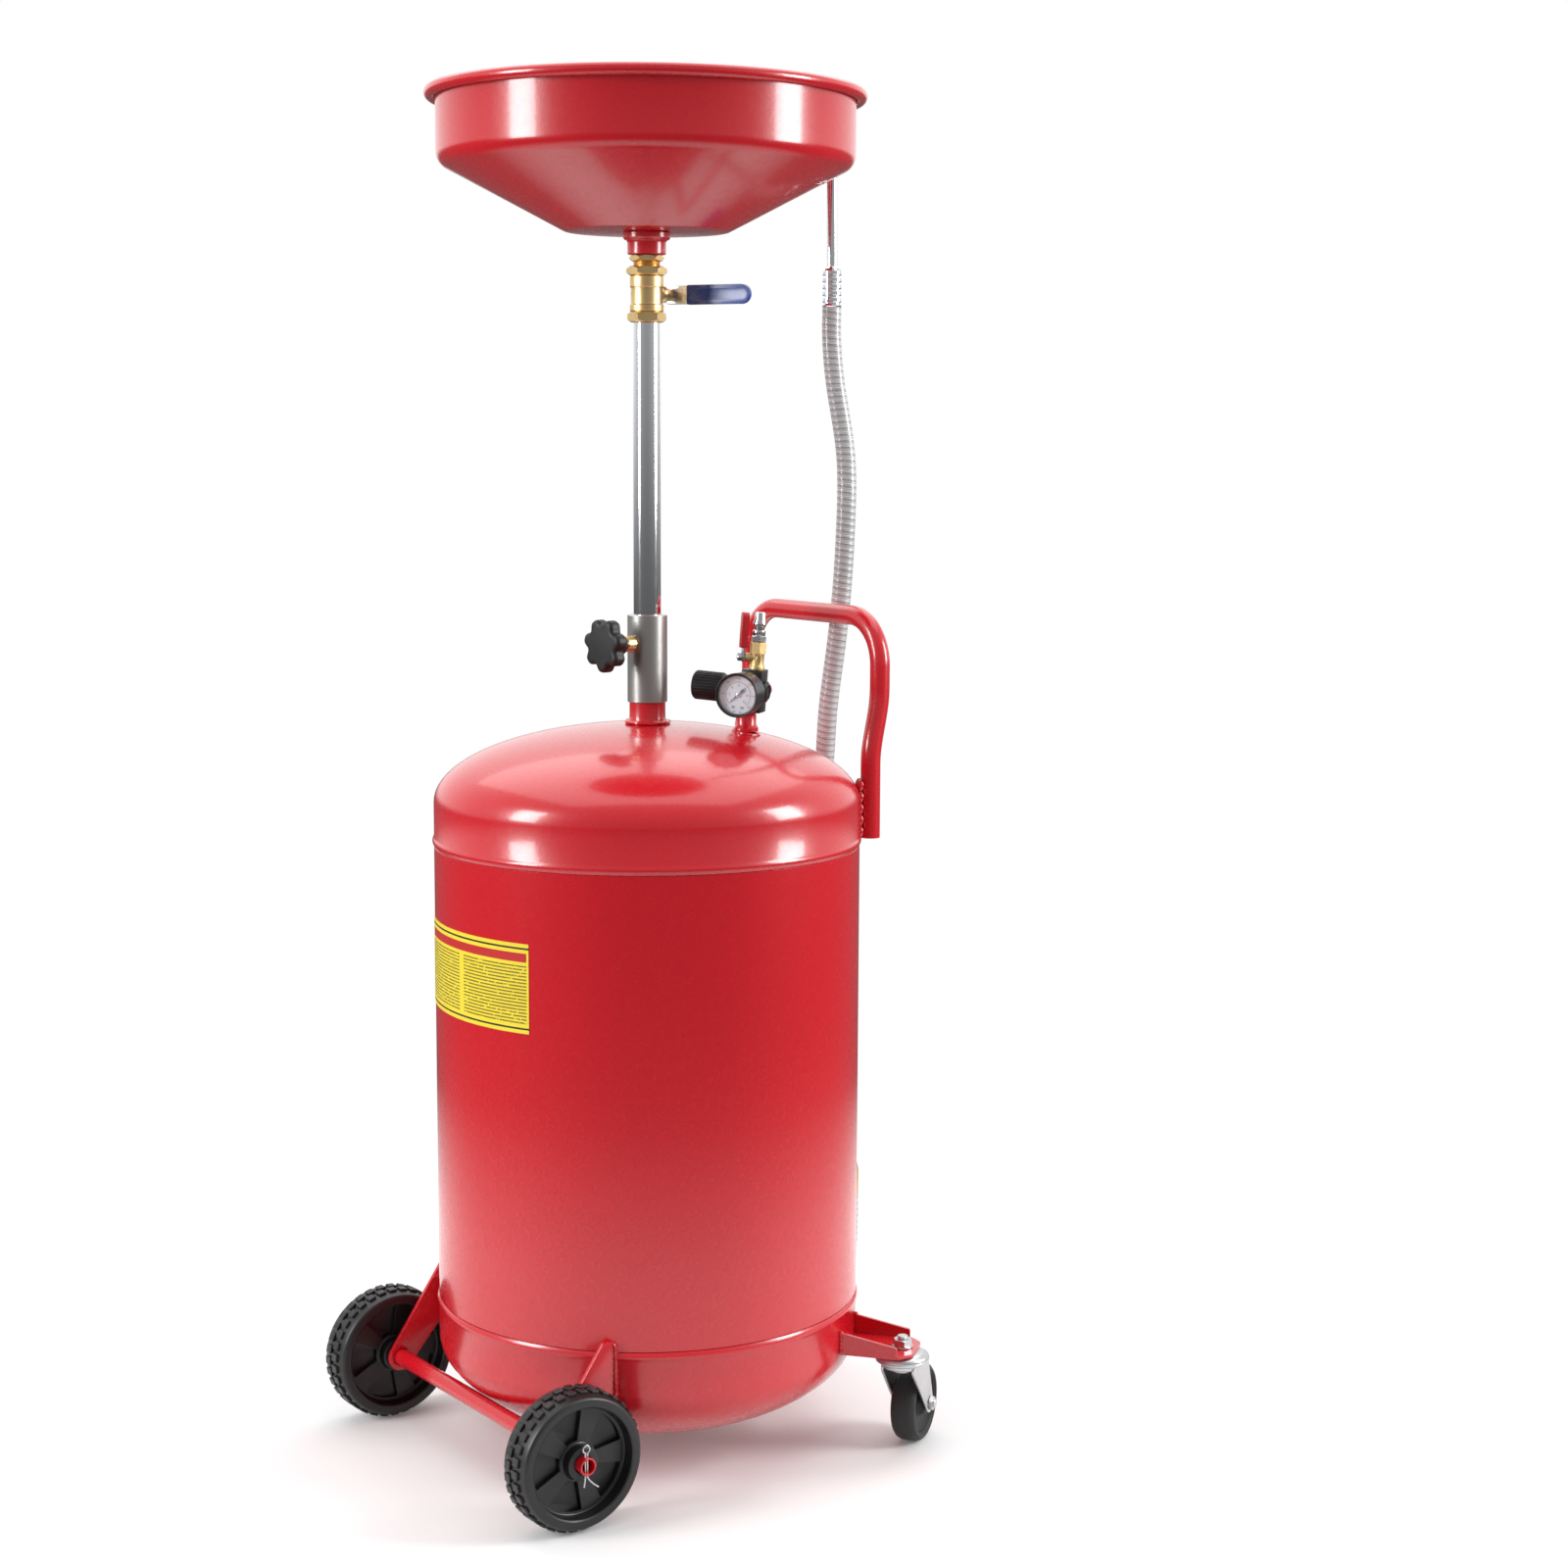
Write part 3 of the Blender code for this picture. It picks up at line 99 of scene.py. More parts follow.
class Wire:
    """A shader socket that can stand in a sum."""

    def __init__(self, board: Board, socket: bpy.types.NodeSocket) -> None:
        """Keep the socket and the board that it belongs to."""
        self.board = board
        self.socket = socket

    def __add__(self, other: Wire | float) -> Wire:
        """Return self + other."""
        return self.board.maths("ADD", self, other)

    def __radd__(self, other: float) -> Wire:
        """Return other + self."""
        return self.board.maths("ADD", other, self)

    def __sub__(self, other: Wire | float) -> Wire:
        """Return self - other."""
        return self.board.maths("SUBTRACT", self, other)

    def __rsub__(self, other: float) -> Wire:
        """Return other - self."""
        return self.board.maths("SUBTRACT", other, self)

    def __mul__(self, other: Wire | float) -> Wire:
        """Return self * other."""
        return self.board.maths("MULTIPLY", self, other)

    def __rmul__(self, other: float) -> Wire:
        """Return other * self."""
        return self.board.maths("MULTIPLY", other, self)

    def __truediv__(self, other: Wire | float) -> Wire:
        """Return self / other."""
        return self.board.maths("DIVIDE", self, other)

    def __gt__(self, other: Wire | float) -> Wire:
        """Return 1 where self is more than other, and else 0."""
        return self.board.maths("GREATER_THAN", self, other)

    def __lt__(self, other: Wire | float) -> Wire:
        """Return 1 where self is less than other, and else 0."""
        return self.board.maths("LESS_THAN", self, other)

    def __abs__(self) -> Wire:
        """Return the size of self without its sign."""
        return self.board.maths("ABSOLUTE", self)


class Board:
    """One material's node tree."""

    def __init__(self, name: str) -> None:
        """Start a material with its shader.

        Args:
            name: The material's name.
        """
        self.material = bpy.data.materials.new(name)
        self.material.use_nodes = True
        self.tree = self.material.node_tree
        self.shader = self.tree.nodes["Principled BSDF"]

    def node(
        self,
        kind: str,
        settings: dict[str, Any] | None = None,
        values: dict[str | int, Any] | None = None,
        output: str | int = 0,
    ) -> Wire:
        """Add one node.

        Args:
            kind: The node's Blender type.
            settings: Properties of the node, set first; "stops" fills a colour ramp.
            values: Numbers or wires for its sockets, by name or place.
            output: The socket that is handed back.

        Returns:
            The wire of that output.
        """
        made = self.tree.nodes.new(kind)
        for name, value in (settings or {}).items():
            if name == "stops":
                self._fill_ramp(made.color_ramp, value)
            else:
                setattr(made, name, value)
        for name, value in (values or {}).items():
            self._feed(made.inputs[name], value)
        return Wire(self, made.outputs[output])

    @staticmethod
    def _fill_ramp(ramp: bpy.types.ColorRamp, stops: Sequence[tuple[float, Colour]]) -> None:
        """Put the stops of a colour ramp in their places."""
        while len(ramp.elements) < len(stops):
            ramp.elements.new(1.0)
        for element, (place, colour) in zip(ramp.elements, stops):
            element.position = place
            element.color = (*colour, 1.0)

    def _feed(self, socket: bpy.types.NodeSocket, value: Any) -> None:
        """Link a wire to a socket, or set the socket's own number."""
        if isinstance(value, Wire):
            self.tree.links.new(value.socket, socket)
        elif socket.type == "RGBA" and len(value) == 3:
            socket.default_value = (*value, 1.0)
        else:
            socket.default_value = value

    def maths(self, operation: str, *inputs: Wire | float) -> Wire:
        """Return a sum of wires and numbers.

        Args:
            operation: Blender's name of the sum.
            inputs: What goes in, in order.

        Returns:
            The result's wire.
        """
        return self.node("ShaderNodeMath", {"operation": operation}, dict(enumerate(inputs)))

    def place(self) -> Wire:
        """Return the point's place on the piece."""
        return self.node("ShaderNodeTexCoord", output="Object")

    def split(self, vector: Wire) -> tuple[Wire, Wire, Wire]:
        """Return the three parts of a vector."""
        first = self.node("ShaderNodeSeparateXYZ", None, {0: vector})
        node = first.socket.node
        return tuple(Wire(self, node.outputs[index]) for index in range(3))

    def noise(self, scale: float, detail: float = 2.0, at: Wire | None = None) -> Wire:
        """Return soft noise.

        Args:
            scale: Its waves to the metre.
            detail: Its finer layers.
            at: Where it is read, or the piece's own place.

        Returns:
            A wire from 0 to 1.
        """
        values = {"Vector": at or self.place(), "Scale": scale, "Detail": detail}
        return self.node("ShaderNodeTexNoise", None, values)

    def stretched(self, scale: Point, at: Wire | None = None) -> Wire:
        """Return the place, stretched along each axis by its own factor."""
        return self.node("ShaderNodeMapping", None, {"Vector": at or self.place(), "Scale": scale})

    def mix(self, factor: Wire | float, first: Wire | Colour, second: Wire | Colour) -> Wire:
        """Return a mixture of two colours.

        Args:
            factor: How much of the second.
            first: The colour at 0.
            second: The colour at 1.

        Returns:
            The mixed colour's wire.
        """
        settings = {"data_type": "RGBA", "clamp_factor": True}
        return self.node("ShaderNodeMix", settings, {0: factor, 6: first, 7: second}, 2)

    def bump(self, height: Wire, distance: float, strength: float = 1.0, under: Wire | None = None) -> Wire:
        """Return a normal bent by a height.

        Args:
            height: The relief, from 0 to 1.
            distance: Its depth in metres.
            strength: How much of it shows.
            under: A normal that it lies on.

        Returns:
            The normal's wire.
        """
        values: dict[str | int, Any] = {"Height": height, "Distance": distance, "Strength": strength}
        if under is not None:
            values["Normal"] = under
        return self.node("ShaderNodeBump", None, values)

    def edges(self, width: float) -> Wire:
        """Return a mask of the piece's worn edges, 0 on flat ground."""
        rounded = self.node("ShaderNodeBevel", {"samples": 4}, {"Radius": width})
        plain = self.node("ShaderNodeNewGeometry", output="Normal")
        apart = self.node("ShaderNodeVectorMath", {"operation": "DOT_PRODUCT"}, {0: rounded, 1: plain}, 1)
        return self.maths("MULTIPLY", 1.0 - apart, 4.0)

    def surface(self, **sockets: Any) -> bpy.types.Material:
        """Feed the shader and hand the material back.

        Args:
            sockets: Values or wires, by the shader's socket names with _ for a space.

        Returns:
            The finished material.
        """
        for name, value in sockets.items():
            self._feed(self.shader.inputs[name.replace("_", " ")], value)
        return self.material


@dataclass(frozen=True)
class Enamel:
    """Sprayed gloss paint with a fine orange-peel skin."""

    name: str = "gloss_red_enamel"
    colour: Colour = (0.580, 0.0060, 0.0150)
    deep: Colour = (0.510, 0.0045, 0.0120)
    roughness: float = 0.24

    def make(self) -> bpy.types.Material:
        """Return the paint's material."""
        board = Board(self.name)
        drift = board.noise(3.0, 3.0)
        fine = board.noise(140.0, 2.0)
        skin = board.noise(420.0, 1.0)
        colour = board.mix(drift, self.deep, self.colour)
        return board.surface(
            Base_Color=colour,
            Roughness=self.roughness + 0.06 * fine,
            Coat_Weight=0.60,
            Coat_Roughness=0.11,
            Normal=board.bump(skin, 0.00006, 0.55, board.bump(fine, 0.00016, 0.35)),
        )


class Plating(Enum):
    """The ways in which a metal piece is finished."""

    MIRROR = "mirror"
    TURNED = "turned"
    ZINC = "zinc"


@dataclass(frozen=True)
class Metal:
    """Bare or plated steel."""

    name: str
    plating: Plating
    colour: Colour = (0.80, 0.81, 0.83)
    roughness: float = 0.07
    axis: int = 2

    def make(self) -> bpy.types.Material:
        """Return the metal's material."""
        board = Board(self.name)
        if self.plating is Plating.TURNED:
            return self._turned(board)
        haze = board.noise(55.0, 4.0)
        grain = board.noise(1600.0, 2.0)
        if self.plating is Plating.ZINC:
            spangle = board.node("ShaderNodeTexVoronoi", None, {"Vector": board.place(), "Scale": 420.0})
            tone = board.mix(haze, (0.46, 0.47, 0.50), self.colour)
            return board.surface(
                Base_Color=board.mix(spangle * 0.45, tone, (0.70, 0.70, 0.67)),
                Metallic=1.0,
                Roughness=self.roughness + 0.14 * haze + 0.05 * grain,
                Normal=board.bump(grain, 0.00006, 0.5),
            )
        return board.surface(
            Base_Color=board.mix(haze, tuple(0.94 * c for c in self.colour), self.colour),
            Metallic=1.0,
            Roughness=self.roughness + 0.045 * haze,
            Normal=board.bump(grain, 0.00002, 0.25),
        )

    def _turned(self, board: Board) -> bpy.types.Material:
        """Return steel with the fine rings that a lathe leaves."""
        scale = [6.0, 6.0, 6.0]
        scale[self.axis] = 5200.0
        rings = board.noise(1.0, 2.0, board.stretched(tuple(scale)))
        broad = board.noise(18.0, 3.0)
        return board.surface(
            Base_Color=board.mix(rings, tuple(0.80 * c for c in self.colour), self.colour),
            Metallic=1.0,
            Roughness=self.roughness + 0.16 * rings + 0.05 * broad,
            Normal=board.bump(rings, 0.00004, 0.6),
        )


@dataclass(frozen=True)
class Brass:
    """Brass, either machined bright or left as it was cast."""

    name: str
    cast: bool = False

    def make(self) -> bpy.types.Material:
        """Return the brass's material."""
        board = Board(self.name)
        stain = board.noise(70.0, 4.0)
        bright = (0.88, 0.66, 0.33)
        dull = (0.74, 0.52, 0.23)
        if self.cast:
            sand = board.noise(1500.0, 3.0)
            pits = board.noise(520.0, 2.0)
            worn = board.edges(0.0006)
            tone = board.mix(stain, (0.60, 0.43, 0.19), (0.76, 0.57, 0.28))
            return board.surface(
                Base_Color=board.mix(worn, tone, (0.86, 0.64, 0.30)),
                Metallic=1.0,
                Roughness=0.40 + 0.14 * sand,
                Normal=board.bump(sand, 0.00022, 0.9, board.bump(pits, 0.00030, 0.6)),
            )
        lines = board.noise(1.0, 2.0, board.stretched((30.0, 30.0, 3800.0)))
        return board.surface(
            Base_Color=board.mix(stain, dull, bright),
            Metallic=1.0,
            Roughness=0.26 + 0.12 * lines + 0.08 * stain,
            Normal=board.bump(lines, 0.00003, 0.5),
        )


@dataclass(frozen=True)
class Moulded:
    """Moulded plastic or rubber with a fine grain."""

    name: str
    colour: Colour
    roughness: float
    grain: float = 900.0
    depth: float = 0.00006
    worn: Colour = (0.06, 0.06, 0.065)
    coat: float = 0.0

    def make(self) -> bpy.types.Material:
        """Return the plastic's material."""
        board = Board(self.name)
        skin = board.noise(self.grain, 3.0)
        cloud = board.noise(26.0, 3.0)
        worn = board.edges(0.0005)
        tone = board.mix(cloud * 0.5, self.colour, tuple(0.72 * c + 0.004 for c in self.colour))
        return board.surface(
            Base_Color=board.mix(worn * 0.35, tone, self.worn),
            Roughness=self.roughness + 0.10 * cloud + 0.06 * skin,
            Coat_Weight=self.coat,
            Coat_Roughness=0.12,
            Normal=board.bump(skin, self.depth, 0.7),
        )


@dataclass(frozen=True)
class Vinyl:
    """Thick dipped vinyl that has run slightly before it set."""

    name: str
    colour: Colour

    def make(self) -> bpy.types.Material:
        """Return the vinyl's material."""
        board = Board(self.name)
        runs = board.noise(120.0, 2.0)
        fine = board.noise(700.0, 1.0)
        return board.surface(
            Base_Color=board.mix(runs, tuple(0.78 * c for c in self.colour), self.colour),
            Roughness=0.30 + 0.10 * runs,
            Coat_Weight=0.3,
            Coat_Roughness=0.16,
            Normal=board.bump(runs, 0.00035, 0.35, board.bump(fine, 0.00004, 0.4)),
        )


@dataclass(frozen=True)
class Card:
    """Printed card: a plain ground with a faint tooth."""

    name: str
    colour: Colour
    roughness: float = 0.5

    def make(self) -> bpy.types.Material:
        """Return the card's material."""
        board = Board(self.name)
        tooth = board.noise(2400.0, 2.0)
        return board.surface(
            Base_Color=board.mix(tooth, tuple(0.93 * c for c in self.colour), self.colour),
            Roughness=self.roughness + 0.08 * tooth,
            Normal=board.bump(tooth, 0.00001, 0.4),
        )


@dataclass(frozen=True)
class Lens:
    """The clear plastic window of the gauge."""

    name: str = "gauge_window"

    def make(self) -> bpy.types.Material:
        """Return the window's material, mostly see-through."""
        board = Board(self.name)
        smear = board.noise(90.0, 3.0)
        return board.surface(
            Base_Color=(0.96, 0.97, 0.98),
            Roughness=0.03 + 0.05 * smear,
            Alpha=0.10 + 0.03 * smear,
            Coat_Weight=1.0,
            Coat_Roughness=0.02,
        )


@dataclass(frozen=True)
class HoseSkin:
    """Clear plastic hose over a wire coil, with two rows of cord under the skin."""

    name: str = "clear_reinforced_hose"
    pitch: float = 0.0062

    def make(self) -> bpy.types.Material:
        """Return the hose's material, read from its own map: round it and along it in metres."""
        board = Board(self.name)
        chart = board.node("ShaderNodeUVMap", {"uv_map": "hose_map"})
        around, along, _ = board.split(chart)
        turns = along / self.pitch + around
        wave = board.maths("FRACT", turns)
        wire = 1.0 - abs(wave - 0.5) * 2.0
        cords = board.maths("FRACT", along * 420.0 - around * 3.0) > 0.62
        cross = board.maths("FRACT", along * 420.0 + around * 3.0) > 0.62
        braid = board.maths("MAXIMUM", cords, cross)
        milk = board.noise(60.0, 3.0)
        ground = board.mix(milk, (0.40, 0.40, 0.41), (0.56, 0.56, 0.57))
        threads = board.mix(braid * 0.55, ground, (0.86, 0.86, 0.86))
        return board.surface(
            Base_Color=board.mix(board.maths("POWER", wire, 3.0) * 0.8, threads, (0.16, 0.16, 0.17)),
            Roughness=0.24 + 0.12 * milk,
            Coat_Weight=0.6,
            Coat_Roughness=0.08,
            Alpha=0.90,
            Normal=board.bump(wire, 0.0007, 0.6),
        )


@dataclass(frozen=True)
class Sticker:
    """The yellow notice on the barrel: black frame, red bar and rows of plain dashes."""

    middle: float
    span: float
    low: float
    high: float
    centre_x: float
    radius: float
    name: str = "notice_sticker"

    def make(self) -> bpy.types.Material:
        """Return the sticker's material."""
        board = Board(self.name)
        x, y, z = board.split(board.place())
        turn = board.maths("ARCTAN2", 0.0 - y, self.centre_x - x)
        side = turn * self.radius
        across = side / (self.span * self.radius) + 0.5
        up = (z - self.low) / (self.high - self.low)
        width = self.span * self.radius
        height = self.high - self.low
        u = across * width
        v = up * height
        edge = board.maths(
            "MINIMUM", board.maths("MINIMUM", u, width - u), board.maths("MINIMUM", v, height - v)
        )
        frame = board.maths("MULTIPLY", edge > 0.0035, edge < 0.0052)
        inside = edge > 0.0075
        bar = board.maths(
            "MULTIPLY", inside, board.maths("MULTIPLY", v > height - 0.0165, v < height - 0.0085)
        )
        rows = board.maths("FRACT", v / 0.0030) < 0.42
        ragged = board.noise(1.0, 1.0, board.stretched((260.0, 260.0, 333.0))) > 0.36
        column = board.maths("MULTIPLY", abs(across - 0.5) > 0.02, v < height - 0.0190)
        text = board.maths(
            "MULTIPLY", board.maths("MULTIPLY", rows, ragged), board.maths("MULTIPLY", column, inside)
        )
        ink = board.maths("MAXIMUM", frame, text * 0.8)
        ground = board.mix(board.noise(40.0, 3.0), (0.80, 0.62, 0.030), (0.86, 0.69, 0.045))
        printed = board.mix(ink, ground, (0.020, 0.018, 0.015))
        return board.surface(
            Base_Color=board.mix(bar, printed, (0.50, 0.020, 0.020)),
            Roughness=0.33 + 0.10 * board.noise(300.0, 2.0),
            Coat_Weight=0.25,
            Coat_Roughness=0.15,
        )


@dataclass(frozen=True)
class Concrete:
    """The plain pale floor."""

    name: str = "pale_floor"

    def make(self) -> bpy.types.Material:
        """Return the floor's material."""
        board = Board(self.name)
        cloud = board.noise(0.8, 2.0)
        x, y, _ = board.split(board.place())
        reach = board.maths("SQRT", x * x + y * y)
        fade = board.maths("MINIMUM", board.maths("MAXIMUM", (1.50 - reach) / 0.70, 0.0), 1.0)
        return board.surface(
            Base_Color=board.mix(cloud, (0.68, 0.68, 0.68), (0.71, 0.71, 0.71)),
            Roughness=0.85,
            Emission_Color=(1.0, 1.0, 1.0),
            Emission_Strength=0.10,
            Alpha=fade,
        )


# --------------------------------------------------------------------------------------
# The modelling bench
# --------------------------------------------------------------------------------------


def ring(inner: float, outer: float, low: float, high: float, edge: float = 0.0004) -> list[Flat]:
    """Return the closed section of a ring with small chamfers, its outer side running down."""
    return [
        (outer - edge, high),
        (outer, high - edge),
        (outer, low + edge),
        (outer - edge, low),
        (inner + edge, low),
        (inner, low + edge),
        (inner, high - edge),
        (inner + edge, high),
    ]


def rod(radius: float, low: float, high: float, edge: float = 0.0004) -> list[Flat]:
    """Return the section of a rod with small chamfers, from its upper pole to its lower one."""
    return [
        (0.0, high),
        (radius - edge, high),
        (radius, high - edge),
        (radius, low + edge),
        (radius - edge, low),
        (0.0, low),
    ]


def arc(centre: Flat, radius: float, start: float, end: float, count: int) -> list[Flat]:
    """Return points of an arc, both ends included; the angles are in degrees."""
    turns = [math.radians(start + (end - start) * index / (count - 1)) for index in range(count)]
    return [(centre[0] + radius * math.cos(t), centre[1] + radius * math.sin(t)) for t in turns]


def circle(radius: float, count: int, centre: Flat = (0.0, 0.0), turn: float = 0.0) -> list[Flat]:
    """Return the corners of a circle in a plane."""
    turns = [math.tau * index / count + turn for index in range(count)]
    return [(centre[0] + radius * math.cos(t), centre[1] + radius * math.sin(t)) for t in turns]


def rounded(outline: Sequence[Flat], radius: float, steps: int = 4) -> list[Flat]:
    """Return a closed outline with its corners rounded.

    Args:
        outline: The corners in order.
        radius: How far along each side a corner's arc starts.
        steps: Points to a corner.

    Returns:
        The rounder outline.
    """
    points: list[Flat] = []
    count = len(outline)
    for index, here in enumerate(outline):
        corner = Vector(here)
        before = Vector(outline[index - 1]) - corner
        after = Vector(outline[(index + 1) % count]) - corner
        reach = min(radius, 0.45 * before.length, 0.45 * after.length)
        first = corner + before.normalized() * reach
        last = corner + after.normalized() * reach
        for step in range(steps + 1):
            t = step / steps
            at = first * (1 - t) ** 2 + corner * 2 * t * (1 - t) + last * t**2
            points.append((at.x, at.y))
    return points


def smooth_line(points: Sequence[Sequence[float]], per_span: int) -> list[Vector]:
    """Return points of a smooth curve through others.

    Args:
        points: The points that it goes through.
        per_span: Steps between two of them.

    Returns:
        The finer row of points.
    """
    route = [Vector(point) for point in points]
    padded = [2 * route[0] - route[1], *route, 2 * route[-1] - route[-2]]
    line: list[Vector] = []
    for index in range(1, len(padded) - 2):
        before, start, end, after = padded[index - 1 : index + 3]
        for step in range(per_span):
            t = step / per_span
            line.append(
                0.5
                * (
                    2 * start
                    + (end - before) * t
                    + (2 * before - 5 * start + 4 * end - after) * t**2
                    + (3 * start - before - 3 * end + after) * t**3
                )
            )
    line.append(route[-1])
    return line


def frame_of(origin: Vector, x_axis: Vector, z_axis: Vector) -> Matrix:
    """Return the matrix of a local frame from its origin, its X axis and its Z axis."""
    z_unit = z_axis.normalized()
    x_unit = (x_axis - z_unit * x_axis.dot(z_unit)).normalized()
    y_unit = z_unit.cross(x_unit)
    turned = Matrix((x_unit, y_unit, z_unit)).transposed().to_4x4()
    return Matrix.Translation(origin) @ turned


class Bench:
    """Blender's modelling operators, used as by hand."""

    @staticmethod
    def clear() -> None:
        """Leave edit mode and deselect everything."""
        if bpy.context.object is not None and bpy.context.object.mode != "OBJECT":
            bpy.ops.object.mode_set(mode="OBJECT")
        bpy.ops.object.select_all(action="DESELECT")

    @staticmethod
    def pick(piece: bpy.types.Object) -> None:
        """Select one piece and make it active."""
        Bench.clear()
        piece.select_set(True)
        bpy.context.view_layer.objects.active = piece

    @staticmethod
    def named(name: str) -> bpy.types.Object:
        """Name the active piece and its mesh."""
        piece = bpy.context.object
        piece.name = name
        piece.data.name = name
        return piece

    @staticmethod
    def place(piece: bpy.types.Object, matrix: Matrix) -> bpy.types.Object:
        """Move a piece by a matrix and bring its object back to the origin."""
        Bench.pick(piece)
        piece.matrix_world = matrix @ piece.matrix_world
        bpy.ops.object.transform_apply(location=True, rotation=True, scale=True)
        return piece

    @staticmethod
    def apply(piece: bpy.types.Object, kind: str, **settings: Any) -> bpy.types.Object:
        """Add a modifier, set it and apply it.

        Args:
            piece: The piece that it works on.
            kind: Blender's type of the modifier.
            settings: Its properties.

        Returns:
            The piece.
        """
        Bench.pick(piece)
        modifier = piece.modifiers.new(kind.lower(), kind)
        for name, value in settings.items():
            setattr(modifier, name, value)
        bpy.ops.object.modifier_apply(modifier=modifier.name)
        return piece

    @staticmethod
    def bevel(
        piece: bpy.types.Object, width: float, segments: int = 2, angle: float = 30.0
    ) -> bpy.types.Object:
        """Round a piece's sharp edges."""
        settings = {
            "width": width, "segments": segments, "limit_method": "ANGLE", "angle_limit": math.radians(angle)
        }
        return Bench.apply(piece, "BEVEL", harden_normals=False, **settings)

    @staticmethod
    def cut(piece: bpy.types.Object, tool: bpy.types.Object) -> bpy.types.Object:
        """Cut a tool out of a piece and throw the tool away."""
        return Bench._combine(piece, tool, "DIFFERENCE")

    @staticmethod
    def weld(piece: bpy.types.Object, other: bpy.types.Object) -> bpy.types.Object:
        """Grow another shape into a piece."""
        return Bench._combine(piece, other, "UNION")

    @staticmethod
    def common(piece: bpy.types.Object, other: bpy.types.Object) -> bpy.types.Object:
        """Keep what a piece shares with another shape."""
        return Bench._combine(piece, other, "INTERSECT")

    @staticmethod
    def _combine(piece: bpy.types.Object, other: bpy.types.Object, operation: str) -> bpy.types.Object:
        """Apply a Boolean and remove the other object."""
        Bench.apply(piece, "BOOLEAN", operation=operation, object=other, solver="EXACT")
        bpy.data.objects.remove(other, do_unlink=True)
        return piece

    @staticmethod
    def join(pieces: Sequence[bpy.types.Object], name: str) -> bpy.types.Object:
        """Join pieces into the first of them."""
        Bench.pick(pieces[0])
        for piece in pieces[1:]:
            piece.select_set(True)
        bpy.ops.object.join()
        return Bench.named(name)

    @staticmethod
    def copy(piece: bpy.types.Object, matrix: Matrix, name: str) -> bpy.types.Object:
        """Return a copy with its own mesh, moved by a matrix."""
        Bench.pick(piece)
        bpy.ops.object.duplicate(linked=False)
        made = Bench.named(name)
        return Bench.place(made, matrix)

    @staticmethod
    def heal(reach: float = FINE) -> None:
        """In edit mode, merge doubles, close the poles and turn every face outwards."""
        bpy.ops.mesh.select_all(action="SELECT")
        bpy.ops.mesh.remove_doubles(threshold=reach)
        bpy.ops.mesh.normals_make_consistent(inside=False)

    @staticmethod
    def lathe(name: str, section: Sequence[Flat], steps: int = 64) -> bpy.types.Object:
        """Draw a section by extruding a point, then spin it round Z.

        Args:
            name: The piece's name.
            section: (radius, height) points, pole to pole, or the corners of a ring.
            steps: Faces round the turn.

        Returns:
            The turned piece.
        """
        Bench.clear()
        bpy.ops.mesh.primitive_plane_add(size=0.01)
        piece = Bench.named(name)
        bpy.ops.object.mode_set(mode="EDIT")
        bpy.ops.mesh.merge(type="CENTER")
        bpy.ops.transform.translate(value=(section[0][0], 0.0, section[0][1]))
        poles = section[0][0] == 0.0 and section[-1][0] == 0.0
        line = list(section) if poles else [*section, section[0]]
        for before, after in zip(line, line[1:]):
            step = (after[0] - before[0], 0.0, after[1] - before[1])
            bpy.ops.mesh.extrude_region_move(TRANSFORM_OT_translate={"value": step})
        bpy.ops.mesh.select_all(action="SELECT")
        bpy.ops.mesh.remove_doubles(threshold=FINE)
        bpy.ops.mesh.select_all(action="SELECT")
        bpy.ops.mesh.spin(steps=steps, angle=math.tau, center=(0.0, 0.0, 0.0), axis=(0.0, 0.0, 1.0))
        Bench.heal()
        bpy.ops.object.mode_set(mode="OBJECT")
        return piece

    @staticmethod
    def slab(
        name: str,
        outlines: Sequence[Sequence[Flat]],
        low: float,
        high: float,
        edge: float = 0.0,
        edge_steps: int = 1,
    ) -> bpy.types.Object:
        """Cut a flat piece from outlines; those after the first are holes.

        Args:
            name: The piece's name.
            outlines: Closed outlines in the local XY plane.
            low: Its lower face.
            high: Its upper face.
            edge: The radius that rounds its outer edges.
            edge_steps: Faces across that rounding.

        Returns:
            The piece as a mesh.
        """
        Bench.clear()
        drawing = bpy.data.curves.new(name, "CURVE")
        drawing.dimensions = "2D"
        drawing.fill_mode = "BOTH"
        drawing.extrude = (high - low) / 2.0 - edge
        drawing.bevel_depth = edge
        drawing.bevel_resolution = edge_steps - 1
        drawing.offset = -edge
        for outline in outlines:
            spline = drawing.splines.new("POLY")
            spline.points.add(len(outline) - 1)
            for point, (x, y) in zip(spline.points, outline):
                point.co = (x, y, 0.0, 1.0)
            spline.use_cyclic_u = True
        return Bench._from_curve(name, drawing, Matrix.Translation((0.0, 0.0, (low + high) / 2.0)))

    @staticmethod
    def tube(
        name: str,
        line: Iterable[Sequence[float]],
        radius: float,
        sides: int = 6,
        closed: bool = False,
        widths: Sequence[float] | None = None,
    ) -> bpy.types.Object:
        """Bend a round bar along a line.

        Args:
            name: The piece's name.
            line: Its centre line.
            radius: Its radius.
            sides: The bevel resolution of its section.
            closed: Whether it closes on itself.
            widths: The share of the radius at each point.

        Returns:
            The bar as a mesh.
        """
        Bench.clear()
        points = [tuple(point) for point in line]
        wire = bpy.data.curves.new(name, "CURVE")
        wire.dimensions = "3D"
        wire.bevel_depth = radius
        wire.bevel_resolution = sides
        wire.use_fill_caps = not closed
        spline = wire.splines.new("POLY")
        spline.points.add(len(points) - 1)
        for index, (node, point) in enumerate(zip(spline.points, points)):
            node.co = (*point, 1.0)
            node.radius = widths[index] if widths else 1.0
        spline.use_cyclic_u = closed
        return Bench._from_curve(name, wire, Matrix())

